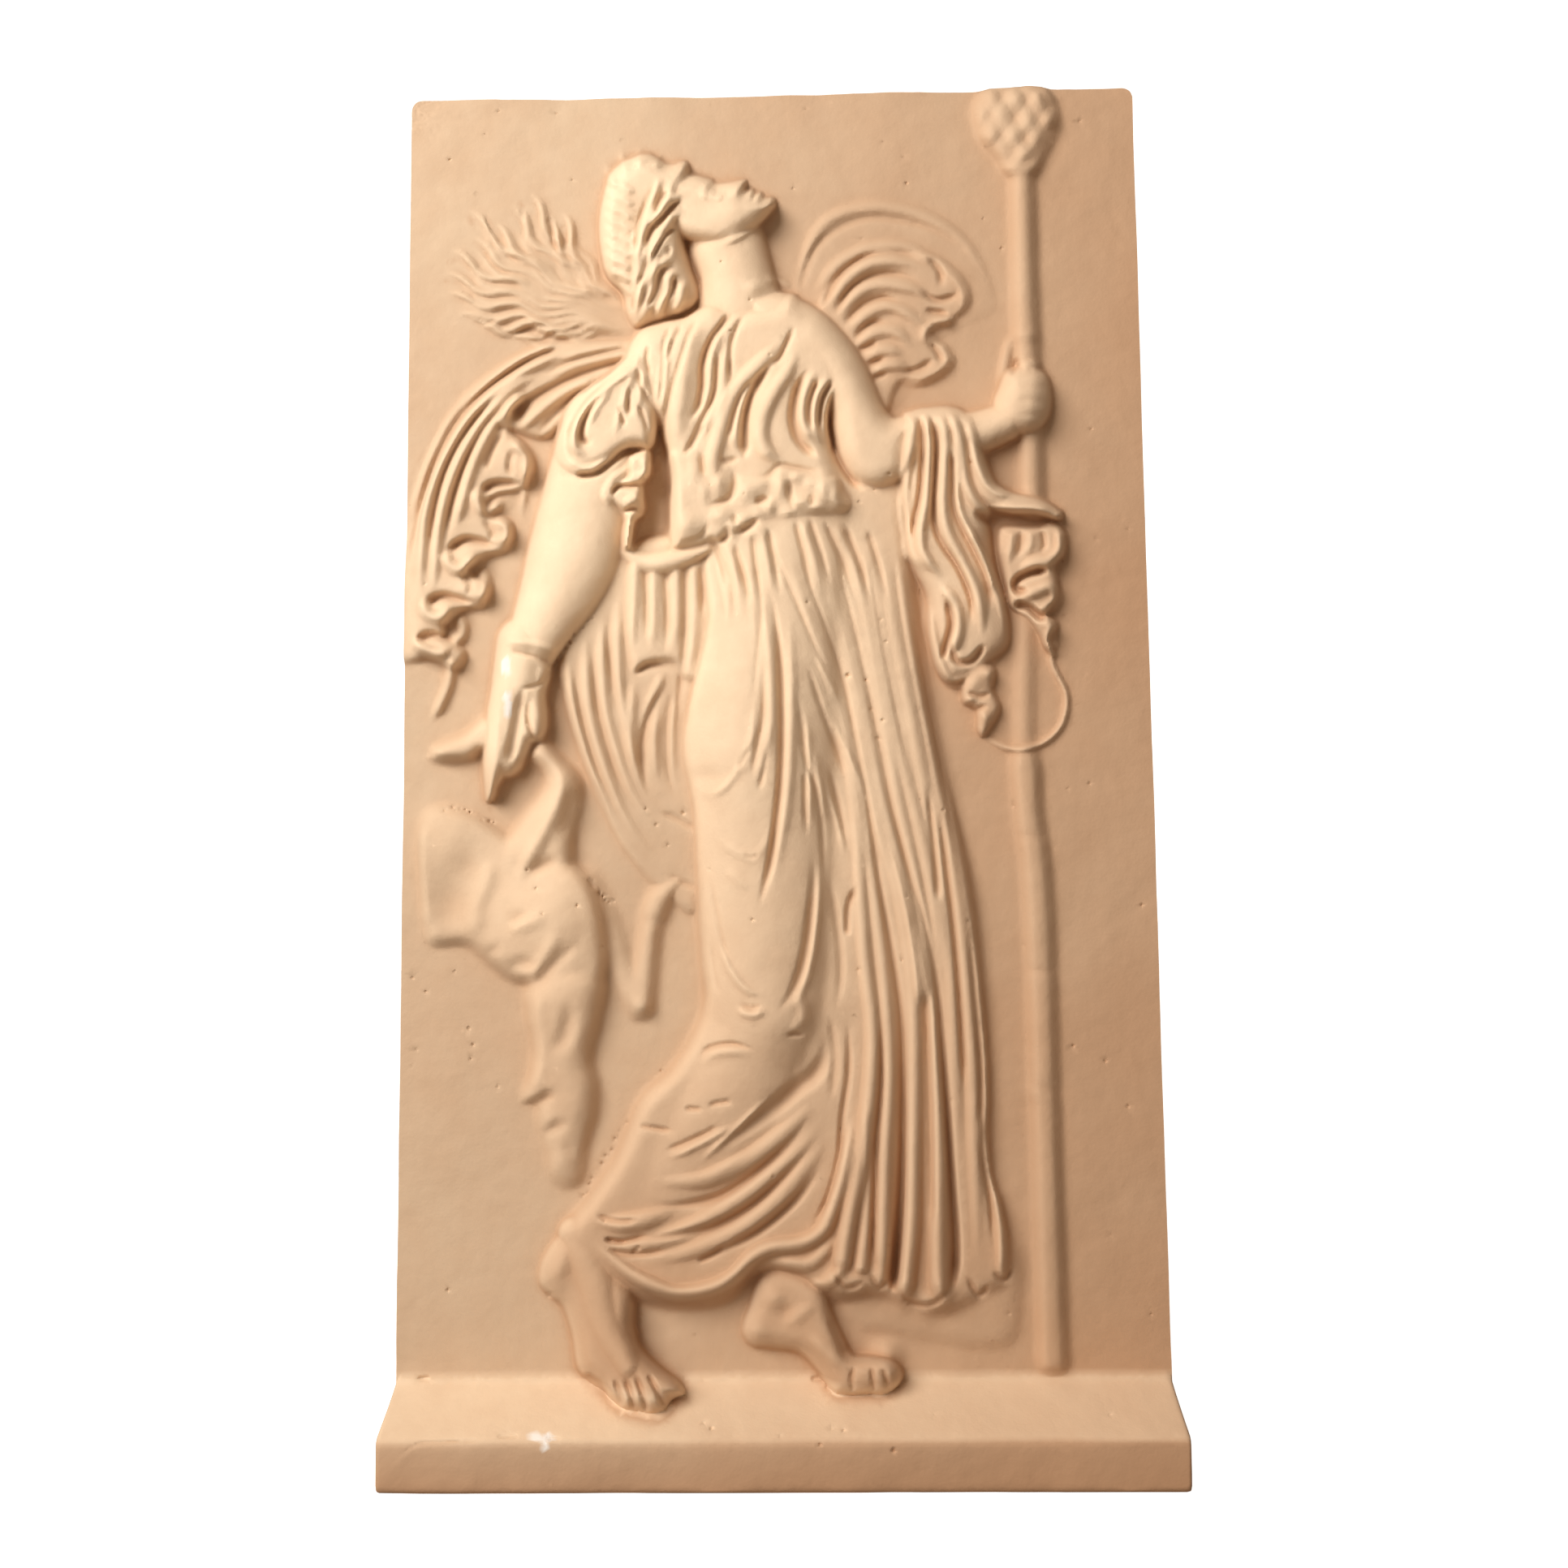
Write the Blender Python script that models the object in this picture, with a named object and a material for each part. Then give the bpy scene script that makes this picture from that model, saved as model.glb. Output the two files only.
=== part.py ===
"""A plaster relief cast: a dancer with a staff, carved on a slab that stands on a ledge of its own.

The cast is one solid. Its front faces -Y and it stands on its underside, at the origin.
The carving is drawn in drawing units, 330 across the slab and 606 up it, and then sized by the
dimensions below.
"""

import math

import bpy
import numpy as np

# driving dimensions, in metres
SLAB_WIDTH = 0.330
CAST_HEIGHT = 0.606
SLAB_THICKNESS = 0.030
RELIEF_DEPTH = 0.025
LEDGE_REACH = 0.030
LEDGE_RISE = 0.036
LEDGE_ARRIS = 0.021
LEDGE_HEEL = 0.0035
EDGE_ROUND = 0.0025
CORNER_ROUND = 0.005

# how fine the carving is worked, in drawing units, and how many flat facets the solid keeps
WIDTH_UNITS = 330.0
HEIGHT_UNITS = 606.0
DEPTH_UNITS = 25.0
CARVING_STEP = 1.0
SURFACE_STEP = 1.0
FACETS = 9300
FLATNESS = 3e-5

# the picture plane that is drawn on, a little wider than the slab as the viewer sees it
DRAWN_LEFT, DRAWN_RIGHT = -180.0, 180.0
DRAWN_FOOT, DRAWN_TOP = -14.0, 616.0

# raised forms lean towards a viewer here: across, up and away, in drawing units
VIEWER = (13.0, 241.0, 605.0)
LEAN_MARGIN = 20.0
EDGE_BULGE = 7.0
SIDE_FADE = 9.0

# the head, in drawing units: a face in equal thirds, thrown back
HAIRLINE = (-42.0, 570.0)
FACE_LENGTH = 46.0
FACE_TILT = 20.0

PLASTER_COLOUR = (0.79, 0.66, 0.51, 1.0)
PLASTER_ROUGHNESS = 0.8


class Carving:
    """Depth of the carving in front of the slab, on a square grid of the picture plane, in drawing units."""

    def __init__(self, step):
        self.step = step
        self.x = np.arange(DRAWN_LEFT, DRAWN_RIGHT + step, step)
        self.z = np.arange(DRAWN_FOOT, DRAWN_TOP + step, step)
        self.depth = np.zeros((len(self.z), len(self.x)))

    def window(self, line, reach):
        """Rows and columns of the grid around a line."""
        (x0, z0), (x1, z1) = line.min(axis=0) - reach, line.max(axis=0) + reach
        row, col = int(max(0, (z0 - DRAWN_FOOT) / self.step)), int(max(0, (x0 - DRAWN_LEFT) / self.step))
        last_row, last_col = (z1 - DRAWN_FOOT) / self.step, (x1 - DRAWN_LEFT) / self.step
        return slice(row, int(max(row, last_row + 2))), slice(col, int(max(col, last_col + 2)))

    def near(self, line, reach):
        """Distance to a line and the share of its length reached there."""
        view = self.window(line, reach)
        x, z = self.x[view[1]][None, :], self.z[view[0]][:, None]
        far = np.full((z.size, x.size), reach * 1.0)
        share = np.zeros(far.shape)
        lengths = np.hypot(*np.diff(line, axis=0).T)
        along = np.concatenate([[0.0], np.cumsum(lengths)]) / max(lengths.sum(), 1e-9)
        for (ax, az), (bx, bz), s0, s1 in zip(line[:-1], line[1:], along[:-1], along[1:]):
            dx, dz = bx - ax, bz - az
            t = np.clip(((x - ax) * dx + (z - az) * dz) / (dx * dx + dz * dz + 1e-12), 0, 1)
            d = np.hypot(x - ax - t * dx, z - az - t * dz)
            closer = d < far
            far = np.where(closer, d, far)
            share = np.where(closer, s0 + t * (s1 - s0), share)
        return view, far, share

    def inside(self, outline, view):
        """True inside a closed outline."""
        x, z = self.x[view[1]][None, :], self.z[view[0]][:, None]
        found = np.zeros((z.size, x.size), bool)
        for (ax, az), (bx, bz) in zip(outline, np.roll(outline, -1, axis=0)):
            if az != bz:
                crossed = (z > min(az, bz)) & (z <= max(az, bz))
                found ^= crossed & (x > ax + (z - az) * (bx - ax) / (bz - az))
        return found

    def mass(self, points, top, rim):
        """A cushion with this outline that rises to top within rim of its edge; returns where it is."""
        outline = curve(points, 6, closed=True)
        view, far, _ = self.near(np.vstack([outline, outline[:1]]), rim)
        mask = self.inside(outline, view)
        level = top if not isinstance(top, tuple) else self.slope(view, *top)
        shape = level * np.sqrt(1 - (1 - np.clip(far / rim, 0, 1)) ** 2) * mask
        self.depth[view] = np.maximum(self.depth[view], shape)
        whole = np.zeros(self.depth.shape)
        whole[view] = mask
        return whole

    def slope(self, view, level, ax, az, other, bx, bz):
        """A level that changes evenly from one point to another."""
        x, z = self.x[view[1]][None, :], self.z[view[0]][:, None]
        t = ((x - ax) * (bx - ax) + (z - az) * (bz - az)) / ((bx - ax) ** 2 + (bz - az) ** 2)
        return level + (other - level) * np.clip(t, 0, 1)

    def limb(self, points, clip=None):
        """A round limb through points of (x, z, half width, depth)."""
        path = curve(points, 6)
        view, far, share = self.near(path[:, :2], path[:, 2].max() + 1)
        lengths = np.hypot(*np.diff(path[:, :2], axis=0).T)
        along = np.concatenate([[0.0], np.cumsum(lengths)]) / lengths.sum()
        wide, tall = np.interp(share, along, path[:, 2]), np.interp(share, along, path[:, 3])
        shape = tall * np.sqrt(np.clip(1 - (far / wide) ** 2, 0, 1))
        if clip is not None:
            shape *= clip[view]
        self.depth[view] = np.maximum(self.depth[view], shape)

    def swell(self, x, z, wide, tall, lift, turn=0.0, clip=None):
        """A soft swelling with its half width and half height, turned anticlockwise by degrees."""
        c, s = math.cos(math.radians(turn)), math.sin(math.radians(turn))
        dx, dz = self.x[None, :] - x, self.z[:, None] - z
        u, v = (dx * c + dz * s) / wide, (-dx * s + dz * c) / tall
        bump = lift * np.exp(-1.2 * (u * u + v * v))
        self.depth += bump if clip is None else bump * clip

    def folds(self, paths, wide, lift, kind="bell", fade=(0.25, 0.25), clip=None):
        """Ridges along paths, or grooves where lift is below 0: bell, cord or cut in section.

        Half width and lift are single values, or pairs for a path's start and end.
        """
        wide0, wide1 = wide if isinstance(wide, tuple) else (wide, wide)
        lift0, lift1 = lift if isinstance(lift, tuple) else (lift, lift)
        for points in paths:
            path = curve(points, 6)
            view, far, share = self.near(path, max(wide0, wide1))
            ends = ease(share / max(fade[0], 1e-6)) * ease((1 - share) / max(fade[1], 1e-6))
            grown = share * share
            reach = (wide0 + (wide1 - wide0) * grown) * (0.5 + 0.5 * ends)
            t = np.clip(far / reach, 0, 1)
            if kind == "bell":
                section = np.cos(t * math.pi / 2) ** 2
            elif kind == "cord":
                section = (1 - t * t) ** 0.75
            else:
                section = (1 - t) ** 1.5
            shape = (lift0 + (lift1 - lift0) * grown) * ends * section
            self.depth[view] += shape if clip is None else shape * clip[view]

    def soften(self, size):
        """Evens the surface over about this size."""
        cells = int(round(size / self.step))
        for axis in (0, 1, 0, 1) if cells else ():
            self.depth = box_mean(self.depth, cells, axis)


def box_mean(values, cells, axis):
    """Mean over the neighbours within so many cells along one axis."""
    pad = [(0, 0), (0, 0)]
    pad[axis] = (cells + 1, cells)
    total = np.cumsum(np.pad(values, pad, mode="edge"), axis=axis)
    n, width = values.shape[axis], 2 * cells + 1
    return (np.take(total, range(width, width + n), axis) - np.take(total, range(n), axis)) / width


def ease(t):
    """Rises from 0 to 1 with a soft start and end."""
    t = np.clip(t, 0, 1)
    return t * t * (3 - 2 * t)


def curve(points, per=6, closed=False):
    """A smooth line through the points, with per steps between each two."""
    p = np.array(points, float)
    if len(p) < 3:
        return p
    before = p[-1:] if closed else 2 * p[:1] - p[1:2]
    after = p[:2] if closed else 2 * p[-1:] - p[-2:-1]
    q = np.vstack([before, p, after])
    t = (np.arange(per) / per)[:, None]
    runs = []
    for a, b, c, d in zip(q[:-3], q[1:-2], q[2:-1], q[3:]):
        runs.append(b + 0.5 * t * (c - a + t * (2 * a - 5 * b + 4 * c - d + t * (3 * b - a - 3 * c + d))))
    line = np.vstack(runs)
    return line if closed else np.vstack([line, p[-1:]])


def wavy(start, bend, end, sway, turns):
    """A lock from start to end by way of a bend, swaying from side to side."""
    t = np.linspace(0, 1, 4 * turns + 3)[:, None]
    a, b, c = (np.array(p, float) for p in (start, bend, end))
    line = a * (1 - t) ** 2 + 2 * b * t * (1 - t) + c * t * t
    along = 2 * (b - a) * (1 - t) + 2 * (c - b) * t
    across = np.stack([-along[:, 1], along[:, 0]], axis=1) / np.hypot(along[:, :1], along[:, 1:])
    return line + across * sway * np.sin(t * turns * 2 * math.pi) * np.minimum(1, 3 * t)


def carve_cloth_behind(c):
    """Cloak, veil and the cloth hanging behind the body."""
    c.mass([(-56, 492), (-70, 491), (-95, 491), (-115, 485), (-135, 468), (-150, 445), (-160, 420),
            (-168, 395), (-172, 350), (-155, 347), (-142, 342), (-138, 350), (-147, 358), (-140, 368),
            (-130, 370), (-128, 380), (-137, 386), (-130, 392), (-119, 396), (-118, 408), (-129, 412),
            (-126, 420), (-112, 424), (-108, 434), (-114, 446), (-122, 452), (-104, 446), (-92, 455),
            (-74, 470)], (4.5, -70, 480, 6.5, -165, 380), 5)
    c.folds([[(-92, 491), (-105, 487.5), (-118, 481.5), (-130, 473), (-140, 463), (-149, 450),
              (-157, 434), (-162, 420), (-166, 404)],
             [(-90, 488), (-108, 480.5), (-120, 473.5), (-132, 463), (-141, 452), (-149, 438),
              (-154, 425), (-157, 410), (-158.5, 392), (-160, 374)],
             [(-105, 477), (-118, 470), (-127, 460), (-136, 447), (-143, 434), (-148, 420), (-151, 405),
              (-152, 388), (-153, 376)],
             [(-113, 467), (-125, 455), (-132, 443), (-137, 430), (-141, 415), (-143, 405)]],
            2.7, 3.0, "cord", (0.12, 0.15))
    c.folds([[(-92, 489.5), (-108, 484), (-120, 476.5), (-131, 468), (-141, 457), (-149, 443),
              (-155, 430), (-160, 415), (-163, 400), (-165, 384)]], 2.8, -4.4, "bell", (0.1, 0.15))
    c.folds([[(-124, 468), (-135, 456), (-143, 444), (-149, 430), (-153, 412), (-155.5, 392)],
             [(-119, 465), (-130, 453), (-137, 441), (-142, 428), (-146, 412), (-148, 398)],
             [(-122, 450), (-127, 441), (-130, 432)]], 1.9, -3.0, "bell", (0.2, 0.2))
    c.folds([[(-64, 486), (-78, 483), (-90, 480), (-103, 474)],
             [(-66, 490.5), (-85, 486.5), (-100, 482)]], 2.4, 2.2, "cord", (0.15, 0.3))
    c.folds([[(-64, 488), (-80, 485), (-92, 481.5), (-106, 475)]], 1.6, -2.2, "bell", (0.15, 0.3))
    # the deep pocket under the arm of the cloak
    c.folds([[(-64, 482.5), (-76, 479.5), (-90, 474.5), (-103, 468), (-113, 461), (-118, 454)]],
            (1.8, 5.4), (-3.0, -6.0), "bell", (0.15, 0.1))
    c.folds([[(-112, 468), (-119, 461), (-121, 453), (-117, 448)],
             [(-78, 475), (-93, 468.5), (-105, 459.5), (-116, 449)]], 2.8, 3.2, "cord", (0.2, 0.2))
    c.folds([[(-84, 471), (-97, 459), (-108, 447)]], 2.2, -2.4, "bell", (0.3, 0.3))
    c.folds([[(-102, 428), (-106, 412), (-108, 392)], [(-113, 440), (-112, 424), (-114, 408)]],
            2.4, 2.2, "bell", (0.2, 0.4))

    # the cloak's frilled inner hem: each lobe rolls over the hollow of the next
    c.folds([[(-119, 446), (-112.5, 441), (-110, 436), (-111.5, 430), (-114.5, 427)],
             [(-133, 425), (-133.5, 418), (-129, 413.5), (-121, 419)],
             [(-126, 410), (-120.5, 407), (-119.5, 402), (-124, 398)],
             [(-147, 397), (-146, 390), (-140, 387), (-133, 395)],
             [(-133, 387), (-129.5, 383), (-129, 377), (-134, 372.5)],
             [(-156, 375), (-156, 368), (-150, 365), (-144, 371)],
             [(-143, 366), (-139.5, 362), (-140, 357), (-145, 353)],
             [(-162, 358), (-158, 352), (-150, 349), (-144, 353)],
             [(-144, 349), (-145.5, 336), (-150, 325), (-154, 319)]], 2.8, 3.6, "cord", (0.2, 0.25))
    c.swell(-118, 438, 6, 9, 2.4, 10)
    c.swell(-124, 416, 6, 4, 2.4, 25)
    c.swell(-137, 391, 6, 4, 2.4, 25)
    c.swell(-136, 378, 6, 5, 2.4, 10)
    c.swell(-147, 369, 5, 4, 2.0, 25)
    c.swell(-146, 356, 5, 4, 2.0, 10)
    c.folds([[(-131.5, 421), (-127, 425), (-120, 426), (-112, 425.5)],
             [(-147, 394.5), (-140, 399.5), (-134, 400), (-122, 397)],
             [(-157, 371), (-150, 374.5), (-143, 374), (-132, 371)],
             [(-162, 355), (-154, 357.5), (-148, 356), (-141, 352.5)]],
            (3.6, 1.4), (-6.0, -3.5), "bell", (0.2, 0.3))
    c.folds([[(-117, 443), (-119, 434), (-117, 428)], [(-131, 410), (-126, 404), (-128, 399)],
             [(-141, 386), (-136, 380), (-138, 374)], [(-149, 364), (-146, 359), (-149, 355)]],
            2.4, -2.8, "bell", (0.3, 0.3))

    drape = c.mass([(-28, 396), (-62, 398), (-80, 385), (-95, 352), (-94, 328), (-86, 300), (-76, 277),
                    (-64, 256), (-50, 242), (-34, 236), (-30, 300)], (6.5, -60, 390, 3.0, -60, 250), 5)
    c.mass([(-28, 396), (-62, 398), (-68, 370), (-64, 338), (-57, 342), (-46, 343), (-42, 336),
            (-30, 340)], 9, 5)
    c.folds([[(-93, 350), (-91, 330), (-87, 312), (-80, 291), (-71, 268), (-54, 247)],
             [(-85, 360), (-84, 335), (-82, 318), (-77, 300), (-70, 281), (-58, 261), (-44, 248)],
             [(-77, 366), (-77, 340), (-75, 320), (-70, 302), (-63, 284), (-48, 262)],
             [(-70, 376), (-70, 345), (-69, 325), (-65, 305), (-60, 289), (-48, 272)]],
            4.2, 2.6, "bell", (0.2, 0.5), drape)
    c.folds([[(-95, 332), (-92, 320), (-88, 305), (-83, 293), (-78, 284), (-69, 262), (-50, 243)],
             [(-90, 348), (-88, 330), (-85, 317), (-80, 300), (-75, 288), (-67, 272), (-52, 254)],
             [(-81, 358), (-80, 335), (-78, 322), (-74, 307), (-70, 295), (-62, 280), (-46, 261)],
             [(-74, 372), (-74, 350), (-72, 336), (-69, 320), (-66, 303), (-59, 285)]],
            2.2, -2.0, "bell", (0.3, 0.5), drape)
    c.folds([[(-62, 394), (-63, 370), (-65, 345)], [(-54, 392), (-54, 365), (-55, 347)],
             [(-44, 392), (-44, 362), (-46, 346)], [(-36, 390), (-36, 360), (-39, 335)]],
            3.4, 1.8, "bell", (0.1, 0.3))
    c.folds([[(-58, 392), (-57, 366), (-58, 350)], [(-49, 390), (-48, 362), (-50, 344)],
             [(-40, 390), (-40, 360), (-42, 335), (-45, 310)], [(-32, 388), (-32, 362)]],
            2.0, -2.4, "bell", (0.1, 0.4))
    c.folds([[(-63, 337), (-64, 318), (-63, 302), (-58, 284)], [(-49, 340), (-55, 328), (-59, 314)],
             [(-52, 324), (-54, 308), (-52, 286)], [(-45, 330), (-47, 310), (-46, 284)]],
            3.2, 2.2, "bell", (0.2, 0.5))
    c.folds([[(-64, 337), (-60, 341), (-53, 343), (-46, 341)],
             [(-48, 334), (-54, 326), (-58, 314), (-59, 300), (-56, 282)],
             [(-46, 334), (-48, 312), (-47, 292), (-43, 280)]], 2.0, -2.8, "bell", (0.25, 0.4))
    c.folds([[(-52, 278), (-44, 274.5), (-36, 270)], [(-48, 250), (-36, 244)]],
            1.8, -1.6, "bell", (0.3, 0.1))

    # the veil blown up behind the shoulder
    c.mass([(10, 506), (13, 530), (21, 546), (38, 555), (52, 555.5), (70, 550), (84, 541), (96, 524),
            (101, 504), (92, 498), (72, 486), (50, 456), (22, 500)], 1.5, 3)
    c.folds([[(12, 514), (19, 538), (31, 549), (50, 552), (70, 547), (86, 536), (96, 519), (100, 504)]],
            3.0, 1.5, "cord", (0.15, 0.4))
    c.folds([[(12, 512), (19, 532), (33, 543.5), (50, 546.5), (72, 541), (88, 528)]],
            1.9, -2.2, "bell", (0.1, 0.4))
    c.mass([(20, 503), (31, 522), (46, 531), (60, 530), (74, 525), (85, 516), (87, 505), (80, 497),
            (73, 496), (70, 489), (78, 487), (79, 478), (69, 471), (57, 469), (50, 456), (36, 474)],
           3.6, 4)
    c.folds([[(18, 508), (28, 523), (42, 532), (60, 533), (72, 527), (80, 519)],
             [(24, 503), (34, 518), (46, 525.5), (62, 525), (72, 518)],
             [(28, 499), (38, 511), (50, 515.5), (66, 512), (76, 503)],
             [(33, 493), (43, 502), (54, 505), (66, 498), (70, 490)],
             [(37, 487), (46, 493), (56, 493), (64, 484)], [(41, 481), (50, 485), (60, 482)],
             [(44, 474), (52, 478), (62, 477)]], 3.2, 2.4, "cord", (0.25, 0.4))
    c.folds([[(21, 503), (31, 520), (44, 529), (58, 529)],
             [(27, 500), (36, 514), (48, 520), (62, 519), (70, 512)],
             [(31, 496), (41, 506), (51, 509), (62, 504)], [(36, 490), (45, 497.5), (54, 498)],
             [(38, 484.5), (48, 489)], [(42, 478), (51, 481)], [(44, 471), (52, 475)]],
            1.7, -3.0, "bell", (0.2, 0.4))
    c.folds([[(60, 530), (74, 526), (85, 516), (87, 506), (80, 497)],
             [(84, 498), (74, 497), (69, 491), (77, 487)], [(79, 486), (79, 478), (69, 471), (57, 469)]],
            2.6, 2.6, "cord", (0.2, 0.3))
    c.folds([[(66, 514), (73, 508), (81, 509), (85, 513)], [(70, 529), (76, 521), (76, 513)],
             [(68, 503), (74, 502), (80, 501)], [(70, 488), (74, 484), (76, 478)],
             [(57, 474), (66, 476), (73, 481)]], 2.2, -3.0, "bell", (0.3, 0.3))


def carve_flying_hair(c):
    """Loose locks blown back from the nape, each to a tip of its own."""
    c.mass([(-60, 494), (-66, 508), (-80, 512), (-84, 518), (-92, 528), (-102, 536), (-112, 541),
            (-124, 538), (-132, 528), (-136, 516), (-132, 504), (-115, 497), (-88, 493)], 1.5, 20)
    tips = [(-96, 552), (-103, 547), (-110.5, 562), (-119, 556), (-128, 548), (-139, 554), (-137, 541),
            (-148, 535), (-150, 524), (-149, 514), (-144, 504), (-136, 498), (-118, 492), (-91, 531),
            (-84, 519)]
    for k, (x, z) in enumerate(tips):
        bend = (-92 - 0.175 * (z - 500), 497 + 0.35 * (z - 500))
        root = (-64 - k % 3, 499 + k % 4)
        c.folds([wavy(root, bend, (x, z), 2.0 + k % 2, 3)], (3.0, 1.9), (0.9, 2.8), "cord", (0.2, 0.15))
        c.folds([wavy(root, (bend[0] - 4, bend[1] - 3), (x + 4.5, z - 5.0), 2.2 + k % 2, 3)],
                (2.0, 1.5), (0.6, 2.0), "cord", (0.3, 0.2))
        c.folds([wavy(root, (bend[0] - 6, bend[1] - 1), (x + 3.0, z - 2.5), 2.0 + k % 2, 3)],
                1.4, (-0.8, -2.6), "bell", (0.4, 0.15))
    c.folds([[(-97, 549), (-94, 541), (-95, 535)], [(-101, 546), (-99, 537), (-97, 531)],
             [(-115, 560), (-113, 547)], [(-104, 543), (-103, 533), (-99, 526)],
             [(-131, 552), (-126, 540)], [(-139, 553), (-135, 544)], [(-108, 538), (-107, 530)],
             [(-86, 529), (-82, 520), (-82, 513)], [(-149, 528), (-144, 531)],
             [(-137, 501), (-130, 500), (-124, 503)], [(-112, 493), (-106, 494), (-100, 497)],
             [(-150, 519), (-146, 522)], [(-109, 515), (-100, 515)], [(-94, 511), (-93, 504), (-90, 498)],
             [(-135, 519), (-129, 520), (-124, 522)], [(-111, 505), (-105, 507), (-100, 508)]],
            1.4, -2.0, "bell", (0.3, 0.3))


def carve_staff(c):
    """The staff with its cone, standing on the ledge."""
    c.limb([(114, 572, 5.2, 6.5), (114, 500, 5.4, 6.5), (115, 440, 5.4, 6.5), (115, 395, 5.2, 4.0)])
    c.limb([(111, 362, 4.4, 2.5), (109, 304, 4.6, 2.8)])
    c.mass([(104, 301), (114.5, 301), (116, 275), (119, 250), (120, 206), (120, 150), (121, 37),
            (109, 37), (108.5, 150), (108, 206), (107, 250), (104.5, 275)], 6.6, 5.6)
    c.folds([[(104, 266), (117, 265)], [(106, 208), (121, 206)], [(107, 158), (121, 155)]],
            1.4, -1.8, "bell", (0.1, 0.1))
    c.swell(109, 156, 2.6, 3.0, 1.4)
    c.mass([(112, 612), (98, 610), (93, 598), (95, 584), (103, 573), (107, 566), (120, 566), (125, 575),
            (131, 588), (131, 602), (126, 611)], 8.5, 9)
    # the cone's scales, between crossing rows of cuts
    c.folds([[(96, 604), (103, 590), (111, 575)], [(103, 611), (112, 593), (119, 576)],
             [(113, 611), (120, 597), (126, 584)], [(122, 610), (128, 598)],
             [(95, 586), (103, 599), (110, 611)], [(99, 577), (111, 592), (122, 610)],
             [(106, 570), (118, 586), (130, 602)], [(114, 569), (122, 578), (130, 590)]],
            2.0, -2.8, "bell", (0.1, 0.1))
    for x, z in ((102, 597), (109, 585), (112, 601), (118, 590), (122, 603), (126, 592), (116, 577),
                 (101, 584)):
        c.swell(x, z, 4.0, 4.0, 1.2)
    c.folds([[(107, 567), (114, 569), (120, 567)], [(108, 491), (120, 491)]],
            2.2, 1.6, "cord", (0.1, 0.1))


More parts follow.
